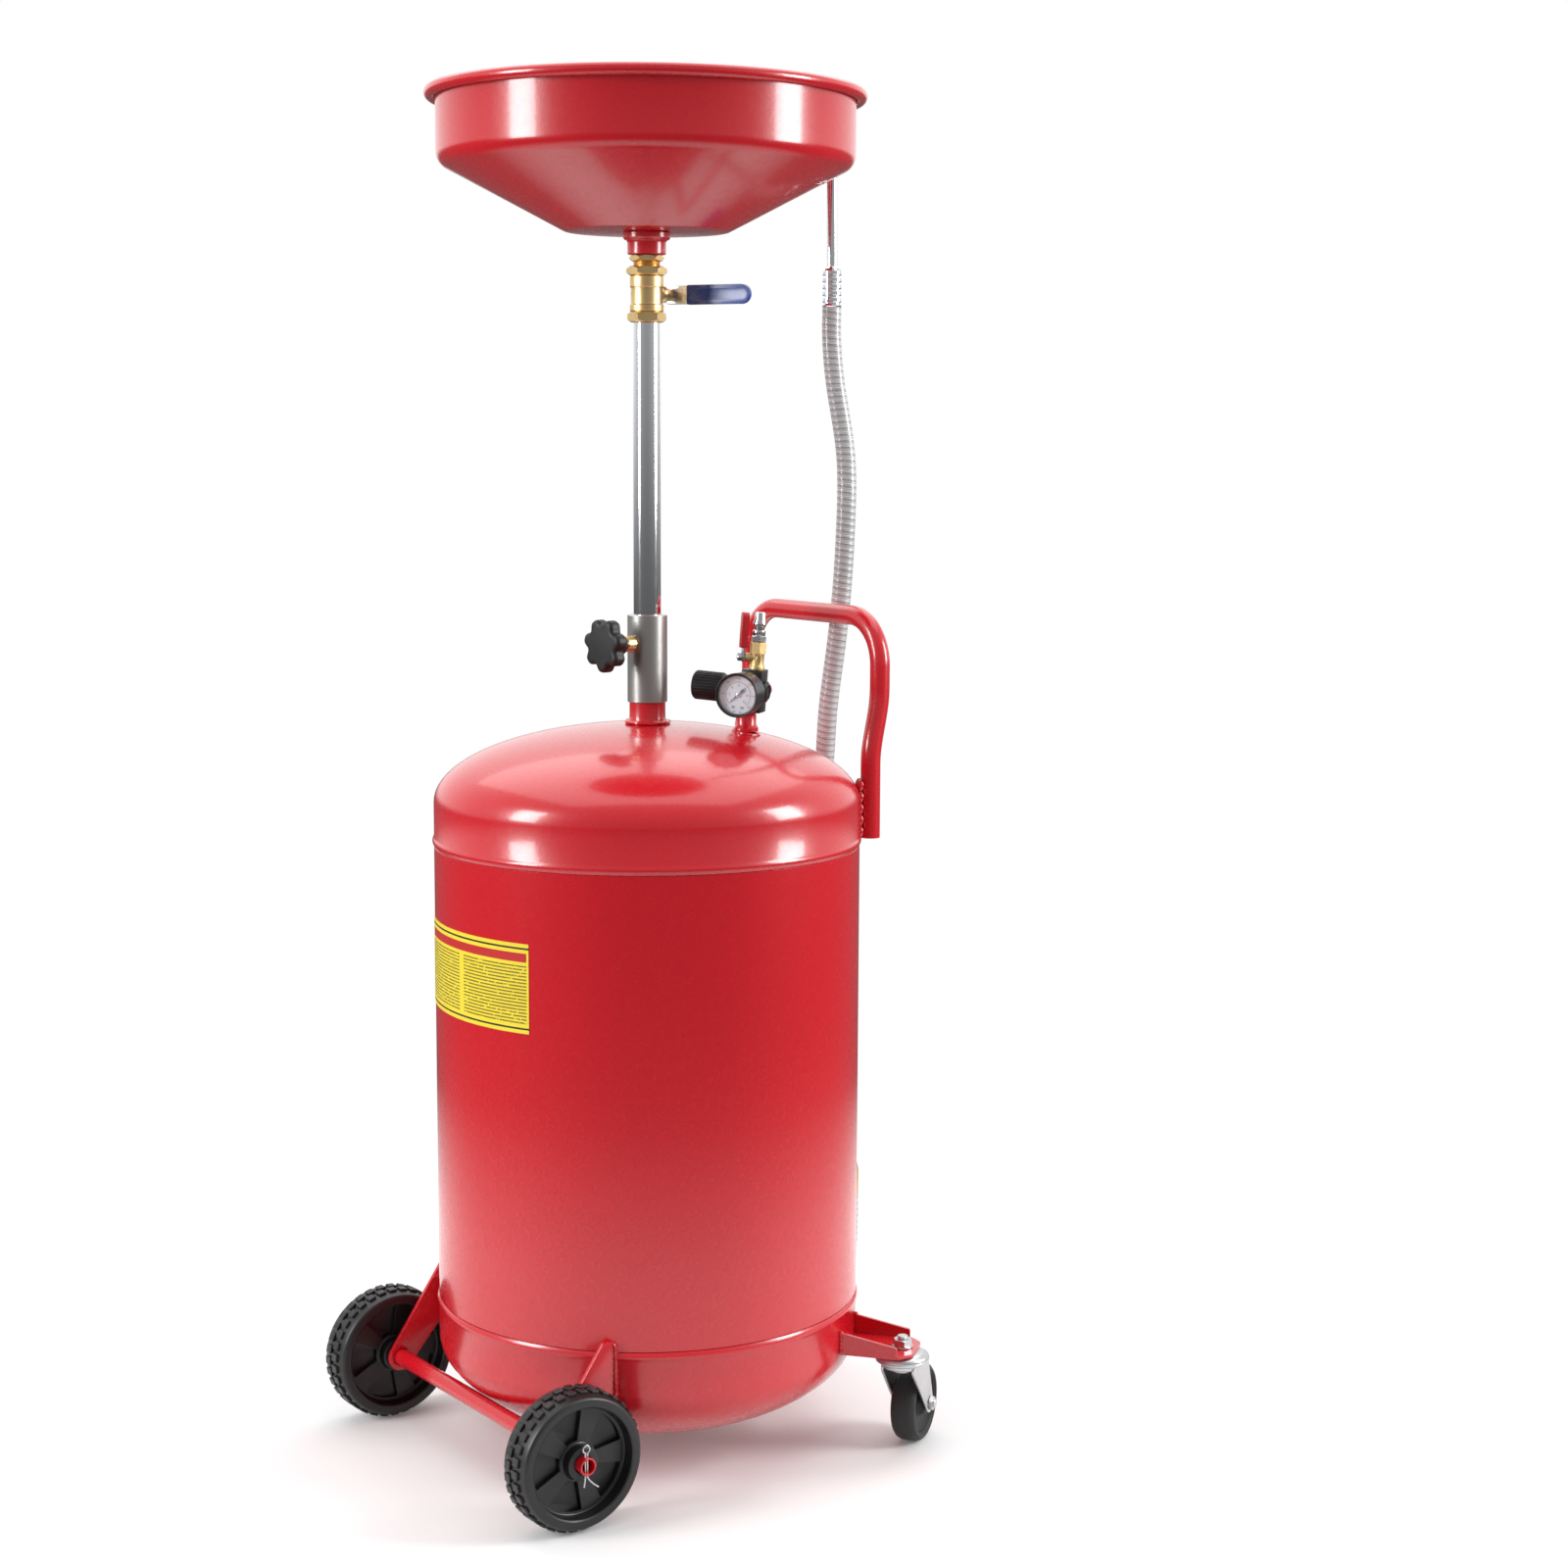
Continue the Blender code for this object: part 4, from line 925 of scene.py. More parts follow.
    @staticmethod
    def _from_curve(name: str, curve: bpy.types.Curve, matrix: Matrix) -> bpy.types.Object:
        """Turn a curve into a closed mesh at its place."""
        piece = bpy.data.objects.new(name, curve)
        bpy.context.scene.collection.objects.link(piece)
        Bench.pick(piece)
        bpy.ops.object.convert(target="MESH")
        piece = bpy.context.object
        bpy.ops.object.mode_set(mode="EDIT")
        Bench.heal()
        bpy.ops.object.mode_set(mode="OBJECT")
        return Bench.place(piece, matrix)

    @staticmethod
    def hexagon(name: str, flats: float, low: float, high: float, chamfer: float = 0.08) -> bpy.types.Object:
        """Make a hexagon bar whose ends are turned down at the corners.

        Args:
            name: The piece's name.
            flats: Its size across flats.
            low: Its lower end.
            high: Its upper end.
            chamfer: The height of the turned corner as a share of the flats.

        Returns:
            The bar.
        """
        reach = flats / math.sqrt(3.0)
        Bench.clear()
        bpy.ops.mesh.primitive_cylinder_add(
            vertices=6, radius=reach, depth=high - low, location=(0.0, 0.0, (high + low) / 2.0)
        )
        bar = Bench.named(name)
        Bench.place(bar, Matrix())
        drop = chamfer * flats
        cone = [
            (0.0, high + 0.00005),
            (flats * 0.475, high + 0.00005),
            (reach + 0.0002, high - drop),
            (reach + 0.0002, low + drop),
            (flats * 0.475, low - 0.00005),
            (0.0, low - 0.00005),
        ]
        return Bench.common(bar, Bench.lathe(f"{name}_cone", cone, 48))

    @staticmethod
    def bead(
        name: str, line: Sequence[Sequence[float]], radius: float, seed: float = 0.0
    ) -> bpy.types.Object:
        """Lay a weld along a line: a low bar whose width ripples with each puddle.

        Args:
            name: The piece's name.
            line: Points along the seam, close together.
            radius: The bead's radius.
            seed: Where the ripples start.

        Returns:
            The bead.
        """
        widths = [0.86 + 0.17 * math.sin(1.9 * index + seed) for index in range(len(line))]
        widths[0] = 0.55
        widths[-1] = 0.55
        return Bench.tube(name, line, radius, 2, False, widths)


@dataclass
class Palette:
    """Every finish of the drain, made once."""

    red: bpy.types.Material = field(default_factory=lambda: Enamel().make())
    chrome: bpy.types.Material = field(
        default_factory=lambda: Metal("chrome_plate", Plating.MIRROR, (0.80, 0.82, 0.85), 0.06).make()
    )
    collar: bpy.types.Material = field(
        default_factory=lambda: Metal("turned_steel", Plating.TURNED, (0.58, 0.57, 0.55), 0.24).make()
    )
    plug: bpy.types.Material = field(
        default_factory=lambda: Metal("turned_plug", Plating.TURNED, (0.74, 0.74, 0.75), 0.12).make()
    )
    zinc: bpy.types.Material = field(
        default_factory=lambda: Metal("zinc_plating", Plating.ZINC, (0.62, 0.63, 0.65), 0.24).make()
    )
    brass: bpy.types.Material = field(default_factory=lambda: Brass("machined_brass").make())
    cast_brass: bpy.types.Material = field(default_factory=lambda: Brass("cast_brass", True).make())
    plastic: bpy.types.Material = field(
        default_factory=lambda: Moulded("black_plastic", (0.008, 0.008, 0.009), 0.30, coat=0.20).make()
    )
    matt: bpy.types.Material = field(
        default_factory=lambda: Moulded(
            "matt_black_plastic", (0.006, 0.006, 0.0065), 0.42, 1400.0, 0.0001
        ).make()
    )
    rubber: bpy.types.Material = field(
        default_factory=lambda: Moulded(
            "wheel_rubber", (0.013, 0.013, 0.014), 0.50, 500.0, 0.00012, (0.09, 0.09, 0.09)
        ).make()
    )
    rim: bpy.types.Material = field(
        default_factory=lambda: Moulded(
            "wheel_plastic", (0.0045, 0.0045, 0.005), 0.36, 700.0, 0.00005, coat=0.10
        ).make()
    )
    red_vinyl: bpy.types.Material = field(
        default_factory=lambda: Vinyl("red_vinyl", (0.52, 0.012, 0.018)).make()
    )
    blue_vinyl: bpy.types.Material = field(
        default_factory=lambda: Vinyl("blue_vinyl", (0.018, 0.060, 0.330)).make()
    )
    card: bpy.types.Material = field(default_factory=lambda: Card("dial_card", (0.80, 0.84, 0.92)).make())
    ink: bpy.types.Material = field(default_factory=lambda: Card("black_ink", (0.012, 0.012, 0.014)).make())
    red_ink: bpy.types.Material = field(default_factory=lambda: Card("red_ink", (0.55, 0.015, 0.02)).make())
    blue_ink: bpy.types.Material = field(default_factory=lambda: Card("blue_ink", (0.10, 0.25, 0.55)).make())
    window: bpy.types.Material = field(default_factory=lambda: Lens().make())
    hose: bpy.types.Material = field(default_factory=lambda: HoseSkin().make())


@dataclass
class Assembly:
    """What every sub-assembly can do: finish its pieces and dress the frame's nodes."""

    frame: dict[str, Any]
    palette: Palette

    def finished(
        self,
        piece: bpy.types.Object,
        material: bpy.types.Material,
        body: str,
        slot: str,
        nodes: Sequence[str] = (),
        smooth: float = 35.0,
    ) -> bpy.types.Object:
        """Shade a piece, give it its finish and let it ride.

        Args:
            piece: The piece, at its place.
            material: Its finish.
            body: The body that it moves with, or nothing for a piece that rides on no body, such as one that
                runs between two.
            slot: The record's material slot; not used.
            nodes: The frame's nodes that it stands for.
            smooth: Edges sharper than this stay sharp, in degrees.

        Returns:
            The piece.
        """
        Bench.pick(piece)
        bpy.ops.object.transform_apply(location=True, rotation=True, scale=True)
        bpy.ops.object.shade_smooth_by_angle(angle=math.radians(smooth))
        piece.data.materials.clear()
        piece.data.materials.append(material)
        if body:
            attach(piece, body)
        if nodes:
            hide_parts(*nodes)
        LOG.info("%s: %d faces on %s", piece.name, len(piece.data.polygons), body)
        return piece

    def joint(self, name: str) -> dict[str, Any]:
        """Return one of the frame's joints."""
        return next(item for item in self.frame["joints"] if item["name"] == name)

    def pivot(self, name: str) -> tuple[Vector, Vector]:
        """Return the place and the axis of a joint."""
        item = self.joint(name)
        return Vector(item["pos_m"]), Vector(item["axis"]).normalized()

    @property
    def axis_x(self) -> float:
        """Return where the tank's axis stands along X."""
        low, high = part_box("column_tube")
        return (low.x + high.x) / 2.0

    @property
    def upright(self) -> Matrix:
        """Return the frame of the tank's axis on the floor."""
        return Matrix.Translation((self.axis_x, 0.0, 0.0))


# --------------------------------------------------------------------------------------
# Tank, bowl and column
# --------------------------------------------------------------------------------------


@dataclass
class Tank(Assembly):
    """The welded shell: a rolled barrel between two dished heads, and its sticker."""

    radius: float = 0.2000
    wall: float = 0.0030
    skirt: float = 0.0400
    upper_rise: float = 0.0725
    lower_drop: float = 0.0807
    bead: float = 0.0016
    bead_height: float = 0.0085
    steps: int = 160

    @property
    def lower_seam(self) -> float:
        """Return the height of the lower seam."""
        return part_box("lower_head")[1].z

    @property
    def upper_seam(self) -> float:
        """Return the height of the upper seam."""
        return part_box("upper_head")[0].z

    def head_line(self, rise: float, inset: float = 0.0, last: float = 84.0) -> list[Flat]:
        """Return the outer line of a head from its skirt to its crown.

        Args:
            rise: The height of the dish over its skirt.
            inset: How far inside the outer face the line lies.
            last: The angle at which it ends, in degrees.

        Returns:
            Points of (radius, height over the seam).
        """
        turns = [math.radians(last * index / 22) for index in range(23)]
        across = self.radius - inset
        return [(across * math.cos(t), self.skirt + (rise - inset) * math.sin(t)) for t in turns]

    def seam_line(self) -> list[Flat]:
        """Return the swelling where a head laps the barrel, from high to low."""
        line = []
        for index in range(9):
            share = index / 8
            swell = self.bead * math.sin(math.pi * share)
            line.append((self.radius + swell, self.bead_height * (1.0 - share)))
        return line

    def surface_at(self, height: float) -> float:
        """Return the tank's outer radius at a height."""
        over = height - (self.upper_seam + self.skirt)
        under = (self.lower_seam - self.skirt) - height
        if over > 0.0:
            return self.radius * math.sqrt(max(0.0, 1.0 - (over / self.upper_rise) ** 2))
        if under > 0.0:
            return self.radius * math.sqrt(max(0.0, 1.0 - (under / self.lower_drop) ** 2))
        return self.radius

    def solid(self, inset: float = 0.0010) -> bpy.types.Object:
        """Return the tank's filled outer shape, which trims what is welded on."""
        upper = [(r, self.upper_seam + z) for r, z in self.head_line(self.upper_rise, inset)]
        lower = [(r, self.lower_seam - z) for r, z in self.head_line(self.lower_drop, inset)]
        top = self.upper_seam + self.skirt + self.upper_rise - inset
        low = self.lower_seam - self.skirt - self.lower_drop + inset
        section = [(0.0, top), *reversed(upper), *lower, (0.0, low)]
        return Bench.place(Bench.lathe("tank_solid", section, 96), self.upright)

    def head(self, name: str, rise: float, hole: float) -> bpy.types.Object:
        """Turn one head, seam down."""
        crown = self.skirt + rise
        outer = list(reversed(self.head_line(rise)))
        inner = self.head_line(rise, self.wall)[::2]
        section = [
            (hole, crown),
            *outer,
            *self.seam_line(),
            (self.radius - self.wall, 0.0),
            *inner,
            (hole, crown - self.wall),
        ]
        return Bench.lathe(name, section, self.steps)

    def build(self) -> None:
        """Make the shell and the sticker."""
        section = ring(
            self.radius - self.wall, self.radius, self.lower_seam + GAP, self.upper_seam - GAP, 0.0006
        )
        barrel = Bench.place(Bench.lathe("tank_shell", section, self.steps), self.upright)
        self.finished(barrel, self.palette.red, "tank", "red_paint", ["tank_barrel"])
        upper = Bench.place(
            self.head("tank_crown", self.upper_rise, 0.0135),
            self.upright @ Matrix.Translation((0.0, 0.0, self.upper_seam)),
        )
        self.finished(upper, self.palette.red, "tank", "red_paint", ["upper_head"])
        turned_over = Matrix.Translation((0.0, 0.0, self.lower_seam)) @ Matrix.Rotation(math.pi, 4, "X")
        lower = Bench.place(self.head("tank_foot", self.lower_drop, 0.0), self.upright @ turned_over)
        self.finished(lower, self.palette.red, "tank", "red_paint", ["lower_head"])
        self.build_sticker()

    def build_sticker(self) -> None:
        """Make the notice on the barrel's side."""
        low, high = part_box("warning_label")
        middle = math.pi + math.radians(-1.5)
        span = math.radians(54.0)
        inner = self.radius + 0.0002
        outer = self.radius + 0.0005
        steps = 48
        turns = [middle + span * (index / steps - 0.5) for index in range(steps + 1)]
        outline = [(outer * math.cos(t), outer * math.sin(t)) for t in turns]
        outline += [(inner * math.cos(t), inner * math.sin(t)) for t in reversed(turns)]
        sticker = Bench.place(Bench.slab("notice_sheet", [outline], low.z, high.z), self.upright)
        material = Sticker(middle, span, low.z, high.z, self.axis_x, self.radius).make()
        self.finished(sticker, material, "tank", "label_yellow", ["warning_label"])


@dataclass
class Column(Assembly):
    """The telescoping tube with its collar, clamp knob, fittings and bowl."""

    tube_radius: float = 0.0127
    collar_radius: float = 0.0186
    passage: float = 0.0085
    knob_radius: float = 0.0250
    knob_lobes: int = 7

    def build(self) -> None:
        """Make every piece on the tank's axis."""
        low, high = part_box("column_tube")
        tube = Bench.lathe("sliding_tube", ring(0.0112, self.tube_radius, low.z, high.z, 0.0003), 64)
        self.finished(
            Bench.place(tube, self.upright), self.palette.chrome, "column", "chrome", ["column_tube"]
        )
        self.build_socket()
        self.build_clamp()
        self.build_bowl()

    def build_socket(self) -> None:
        """Make the welded pipe and the collar over it."""
        low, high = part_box("column_socket")
        pipe = [
            (0.0168, high.z),
            (0.0168, low.z + 0.0060),
            *[
                (0.0168 + 0.0040 * (1 - math.cos(t)), low.z + 0.0060 - 0.0055 * math.sin(t))
                for t in (0.5, 1.0, 1.35)
            ],
            (0.0205, low.z),
            (0.0136, low.z),
            (0.0136, high.z),
        ]
        socket = Bench.place(Bench.lathe("crown_pipe", pipe, 64), self.upright)
        self.finished(socket, self.palette.red, "tank", "red_paint", ["column_socket"])
        turns = [math.tau * index / 90 for index in range(90)]
        line = [(0.0198 * math.cos(t), 0.0198 * math.sin(t), low.z + 0.0012) for t in turns]
        seam = Bench.tube(
            "crown_weld", line, 0.0022, 3, True, [0.85 + 0.15 * math.sin(9.0 * t) for t in turns]
        )
        self.finished(Bench.place(seam, self.upright), self.palette.red, "tank", "red_paint")
        low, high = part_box("clamp_collar")
        collar = Bench.lathe("collar_sleeve", ring(0.0133, self.collar_radius, low.z, high.z, 0.0007), 80)
        pos, axis = self.pivot("clamp_turn")
        drill = Bench.lathe("collar_drill", rod(0.0046, 0.0, 0.03), 32)
        Bench.place(collar, self.upright)
        Bench.cut(collar, Bench.place(drill, frame_of(pos, Vector((0, 0, 1)), axis)))
        self.finished(collar, self.palette.collar, "tank", "brushed_steel", ["clamp_collar"])

    def build_clamp(self) -> None:
        """Make the bush, the screw and the lobed knob."""
        pos, axis = self.pivot("clamp_turn")
        place = frame_of(pos, Vector((0, 0, 1)), axis)
        bush = Bench.lathe("screw_bush", ring(0.0046, 0.0075, self.collar_radius + GAP, 0.0290, 0.0006), 40)
        self.finished(Bench.place(bush, place), self.palette.brass, "tank", "brass", ["clamp_bush"])
        threads = [(0.0, 0.0324)]
        count = 16
        for index in range(count):
            height = 0.0324 - 0.019 * index / count
            threads += [(0.0040, height), (0.0035, height - 0.0006)]
        threads += [(0.0035, 0.0131), (0.0, 0.0131)]
        screw = Bench.place(Bench.lathe("clamp_thread", threads, 32), place)
        self.finished(screw, self.palette.zinc, "clamp", "brushed_steel", ["clamp_screw"], 20.0)
        knob = Bench.slab("star_knob", [self.lobes(1.0)], 0.0447, 0.0583, 0.0040, 5)
        hub = [
            (0.0, 0.0460),
            (0.0140, 0.0455),
            (0.0108, 0.0420),
            (0.0100, 0.0335),
            (0.0092, 0.0327),
            (0.0, 0.0327),
        ]
        Bench.weld(knob, Bench.lathe("knob_hub", hub, 48))
        crown = [
            (0.0, 0.0587), (0.0070, 0.0586), (0.0120, 0.0584), (0.0142, 0.0582), (0.0142, 0.0560),
            (0.0, 0.0560),
        ]
        Bench.weld(knob, Bench.lathe("knob_crown", crown, 56))
        Bench.place(knob, place)
        self.finished(knob, self.palette.matt, "clamp", "black_plastic", ["clamp_knob"], 32.0)

    def lobes(self, share: float) -> list[Flat]:
        """Return the knob's wavy outline at a share of its size."""
        points = []
        count = self.knob_lobes * 16
        for index in range(count):
            turn = math.tau * index / count
            wave = 0.5 - 0.5 * math.cos(self.knob_lobes * turn)
            reach = (self.knob_radius - 0.0052 * (1.0 - wave) ** 1.7) * share
            points.append((reach * math.cos(turn), reach * math.sin(turn)))
        return points

    def build_bowl(self) -> None:
        """Make the spun bowl, its rolled rim and the socket under it."""
        low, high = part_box("drain_bowl")
        sheet = 0.0012
        wall = 0.1915
        rim = high.z - 0.0055
        knuckle = (wall - 0.0150, 1.2065)
        outer = [
            *arc((0.1963, rim), 0.0055, 165.0, -140.0, 20),
            (wall, rim - 0.0070),
            *arc(knuckle, 0.0150, 0.0, -60.0, 12),
            *arc((0.0735, low.z + 0.0080), 0.0080, -63.0, -90.0, 5),
            (0.0120, low.z),
        ]
        inner = [
            (0.0120, low.z + sheet),
            *arc((0.0735, low.z + 0.0080), 0.0080 - sheet, -90.0, -63.0, 5),
            *arc(knuckle, 0.0150 - sheet, -60.0, 0.0, 12),
            (wall - sheet, rim - 0.0040),
        ]
        bowl = Bench.place(Bench.lathe("spun_bowl", [*outer, *inner], 192), self.upright)
        self.finished(bowl, self.palette.red, "column", "red_paint", ["drain_bowl"])
        low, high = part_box("bowl_socket")
        socket = [
            (0.0212, high.z),
            (0.0219, high.z - 0.0008),
            (0.0219, 1.1318),
            (0.0205, 1.1300),
            *arc((0.0205, 1.1274), 0.0026, 90.0, 180.0, 5),
            (0.0179, low.z + 0.0008),
            (0.0171, low.z),
            (self.passage, low.z),
            (self.passage, high.z),
        ]
        piece = Bench.place(Bench.lathe("bowl_flange", socket, 64), self.upright)
        self.finished(piece, self.palette.red, "column", "red_paint", ["bowl_socket"])


@dataclass
class DrainValve(Assembly):
    """The brass ball valve under the bowl, with its blue lever."""

    passage: float = 0.0085
    lever_plane: float = 0.0450
    reach: float = 0.0840

    def build(self) -> None:
        """Make the valve's body, fittings and lever."""
        self.build_fittings()
        self.build_body()
        self.build_lever()

    def bored(self, piece: bpy.types.Object, radius: float, low: float, high: float) -> bpy.types.Object:
        """Drill a piece along its own Z axis."""
        return Bench.cut(piece, Bench.lathe("drill", rod(radius, low, high, 0.0001), 40))

    def build_fittings(self) -> None:
        """Make the union nut and the nipple."""
        low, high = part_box("drain_valve_nut")
        nut = self.bored(
            Bench.hexagon("union_nut", 0.0326, low.z, high.z), self.passage, low.z - 0.01, high.z + 0.01
        )
        self.finished(
            Bench.place(nut, self.upright), self.palette.brass, "column", "brass", ["drain_valve_nut"], 25.0
        )
        low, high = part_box("bowl_nipple")
        threads = []
        for index in range(5):
            height = 1.1106 - 0.0009 * index
            threads += [(0.0124, height), (0.0116, height - 0.00045)]
        section = [(0.0, 1.1110), *threads, (0.0116, low.z), (0.0, low.z)]
        nipple = Bench.hexagon("bowl_nipple_hex", 0.0277, 1.1105, high.z)
        Bench.weld(nipple, Bench.lathe("nipple_thread", section, 48))
        self.bored(nipple, self.passage, low.z - 0.01, high.z + 0.01)
        self.finished(
            Bench.place(nipple, self.upright), self.palette.brass, "column", "brass", ["bowl_nipple"], 25.0
        )

    def build_body(self) -> None:
        """Make the forged body with its foot, waist and stem neck."""
        low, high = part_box("drain_valve_body")
        pos, axis = self.pivot("drain_valve")
        chamber = 0.0103
        section = [
            (0.0146, high.z),
            (0.0155, high.z - 0.0009),
            (0.0155, 1.0876),
            (0.0148, 1.0868),
            (0.0146, 1.0850),
            (0.0149, 1.0805),
            (0.0146, 1.0740),
            (0.0148, 1.0716),
            (0.0157, 1.0708),
            (0.0157, 1.0660),
            (0.0150, 1.0652),
            (self.passage, 1.0640),
            (self.passage, pos.z - chamber),
            (chamber, pos.z - chamber),
            (chamber, pos.z + chamber),
            (self.passage, pos.z + chamber),
            (self.passage, high.z),
        ]
        body = Bench.lathe("valve_forging", section, 72)
        foot = self.bored(Bench.hexagon("valve_foot", 0.0310, low.z, 1.0650), self.passage, 1.04, 1.08)
        Bench.weld(body, foot)
        side = Matrix.Translation((-self.axis_x, 0.0, 0.0)) @ frame_of(pos, Vector((0, 0, 1)), axis)
        neck = [
            (0.0, 0.0400),
            (0.0056, 0.0400),
            (0.0061, 0.0394),
            (0.0061, 0.0330),
            (0.0075, 0.0322),
            (0.0075, 0.0250),
            (0.0068, 0.0236),
            (0.0068, 0.0200),
            (0.0085, 0.0150),
            (0.0092, 0.0120),
            (0.0, 0.0120),
        ]
        Bench.weld(body, Bench.place(Bench.lathe("stem_neck", neck, 40), side))
        hole = Bench.lathe("stem_hole", rod(0.0043, 0.0060, 0.0500, 0.0001), 32)
        Bench.cut(body, Bench.place(hole, side))
        Bench.place(body, self.upright)
        self.finished(body, self.palette.brass, "column", "brass", ["drain_valve_body"], 28.0)

    def build_lever(self) -> None:
        """Make the ball with its stem, the plated strap, the dipped grip and the nut."""
        pos, axis = self.pivot("drain_valve")
        along = axis.cross(Vector((0.0, 0.0, 1.0)))
        place = frame_of(pos, along, axis)
        ball = Bench.lathe(
            "valve_ball", [(0.0, 0.0098), *arc((0.0, 0.0), 0.0098, 80.0, -80.0, 15), (0.0, -0.0098)], 40
        )
        stem = [(0.0, 0.0540), (0.0034, 0.0540), (0.0040, 0.0534), (0.0040, 0.0050), (0.0, 0.0050)]
        Bench.weld(ball, Bench.lathe("ball_stem", stem, 32))
        bore = Bench.place(
            Bench.lathe("ball_bore", rod(0.0060, -0.02, 0.02), 32), Matrix.Rotation(math.pi / 2, 4, "Y")
        )
        Bench.cut(ball, bore)
        self.finished(
            Bench.place(ball, place), self.palette.chrome, "drain_lever", "chrome", ["drain_ball"], 28.0
        )
        plane = self.lever_plane
        strap = [
            *arc((0.0, 0.0), 0.0085, 90.0, 270.0, 17),
            (0.0175, -0.0085),
            (0.0178, -0.0078),
            (0.0178, 0.0078),
            (0.0175, 0.0085),
        ]
        outline = [strap, circle(0.0043, 24)]
        plate = Bench.slab("lever_strap", outline, plane - 0.00125, plane + 0.00125, 0.0004, 2)
        self.finished(
            Bench.place(plate, place), self.palette.zinc, "drain_lever", "chrome", ["drain_lever_strap"]
        )
        half = 0.0090
        shape = [(0.0183, half), (0.0183, -half), *arc((self.reach - half, 0.0), half, -90.0, 90.0, 17)]
        grip = Bench.slab("lever_grip", [rounded(shape, 0.0016, 3)], plane - 0.0025, plane + 0.0025)
        slot = [
            *arc((0.0265, 0.0), 0.0052, 90.0, 270.0, 9),
            *arc((self.reach - 0.0100, 0.0), 0.0052, -90.0, 90.0, 9),
        ]
        for low, high in ((plane + 0.0017, plane + 0.006), (plane - 0.006, plane - 0.0017)):
            Bench.cut(grip, Bench.slab("grip_channel", [slot], low, high))
        Bench.bevel(grip, 0.0009, 4, 45.0)
        Bench.place(grip, place)
        self.finished(grip, self.palette.blue_vinyl, "drain_lever", "blue_vinyl", ["drain_lever_grip"], 50.0)
        base = plane + 0.00125 + GAP
        nut = self.bored(Bench.hexagon("lever_nut", 0.0120, base, base + 0.0050), 0.0043, 0.03, 0.07)
        self.finished(
            Bench.place(nut, place), self.palette.zinc, "drain_lever", "zinc_plate", ["drain_lever_nut"], 25.0
        )


# --------------------------------------------------------------------------------------
# Hose, outlet and handle
# --------------------------------------------------------------------------------------


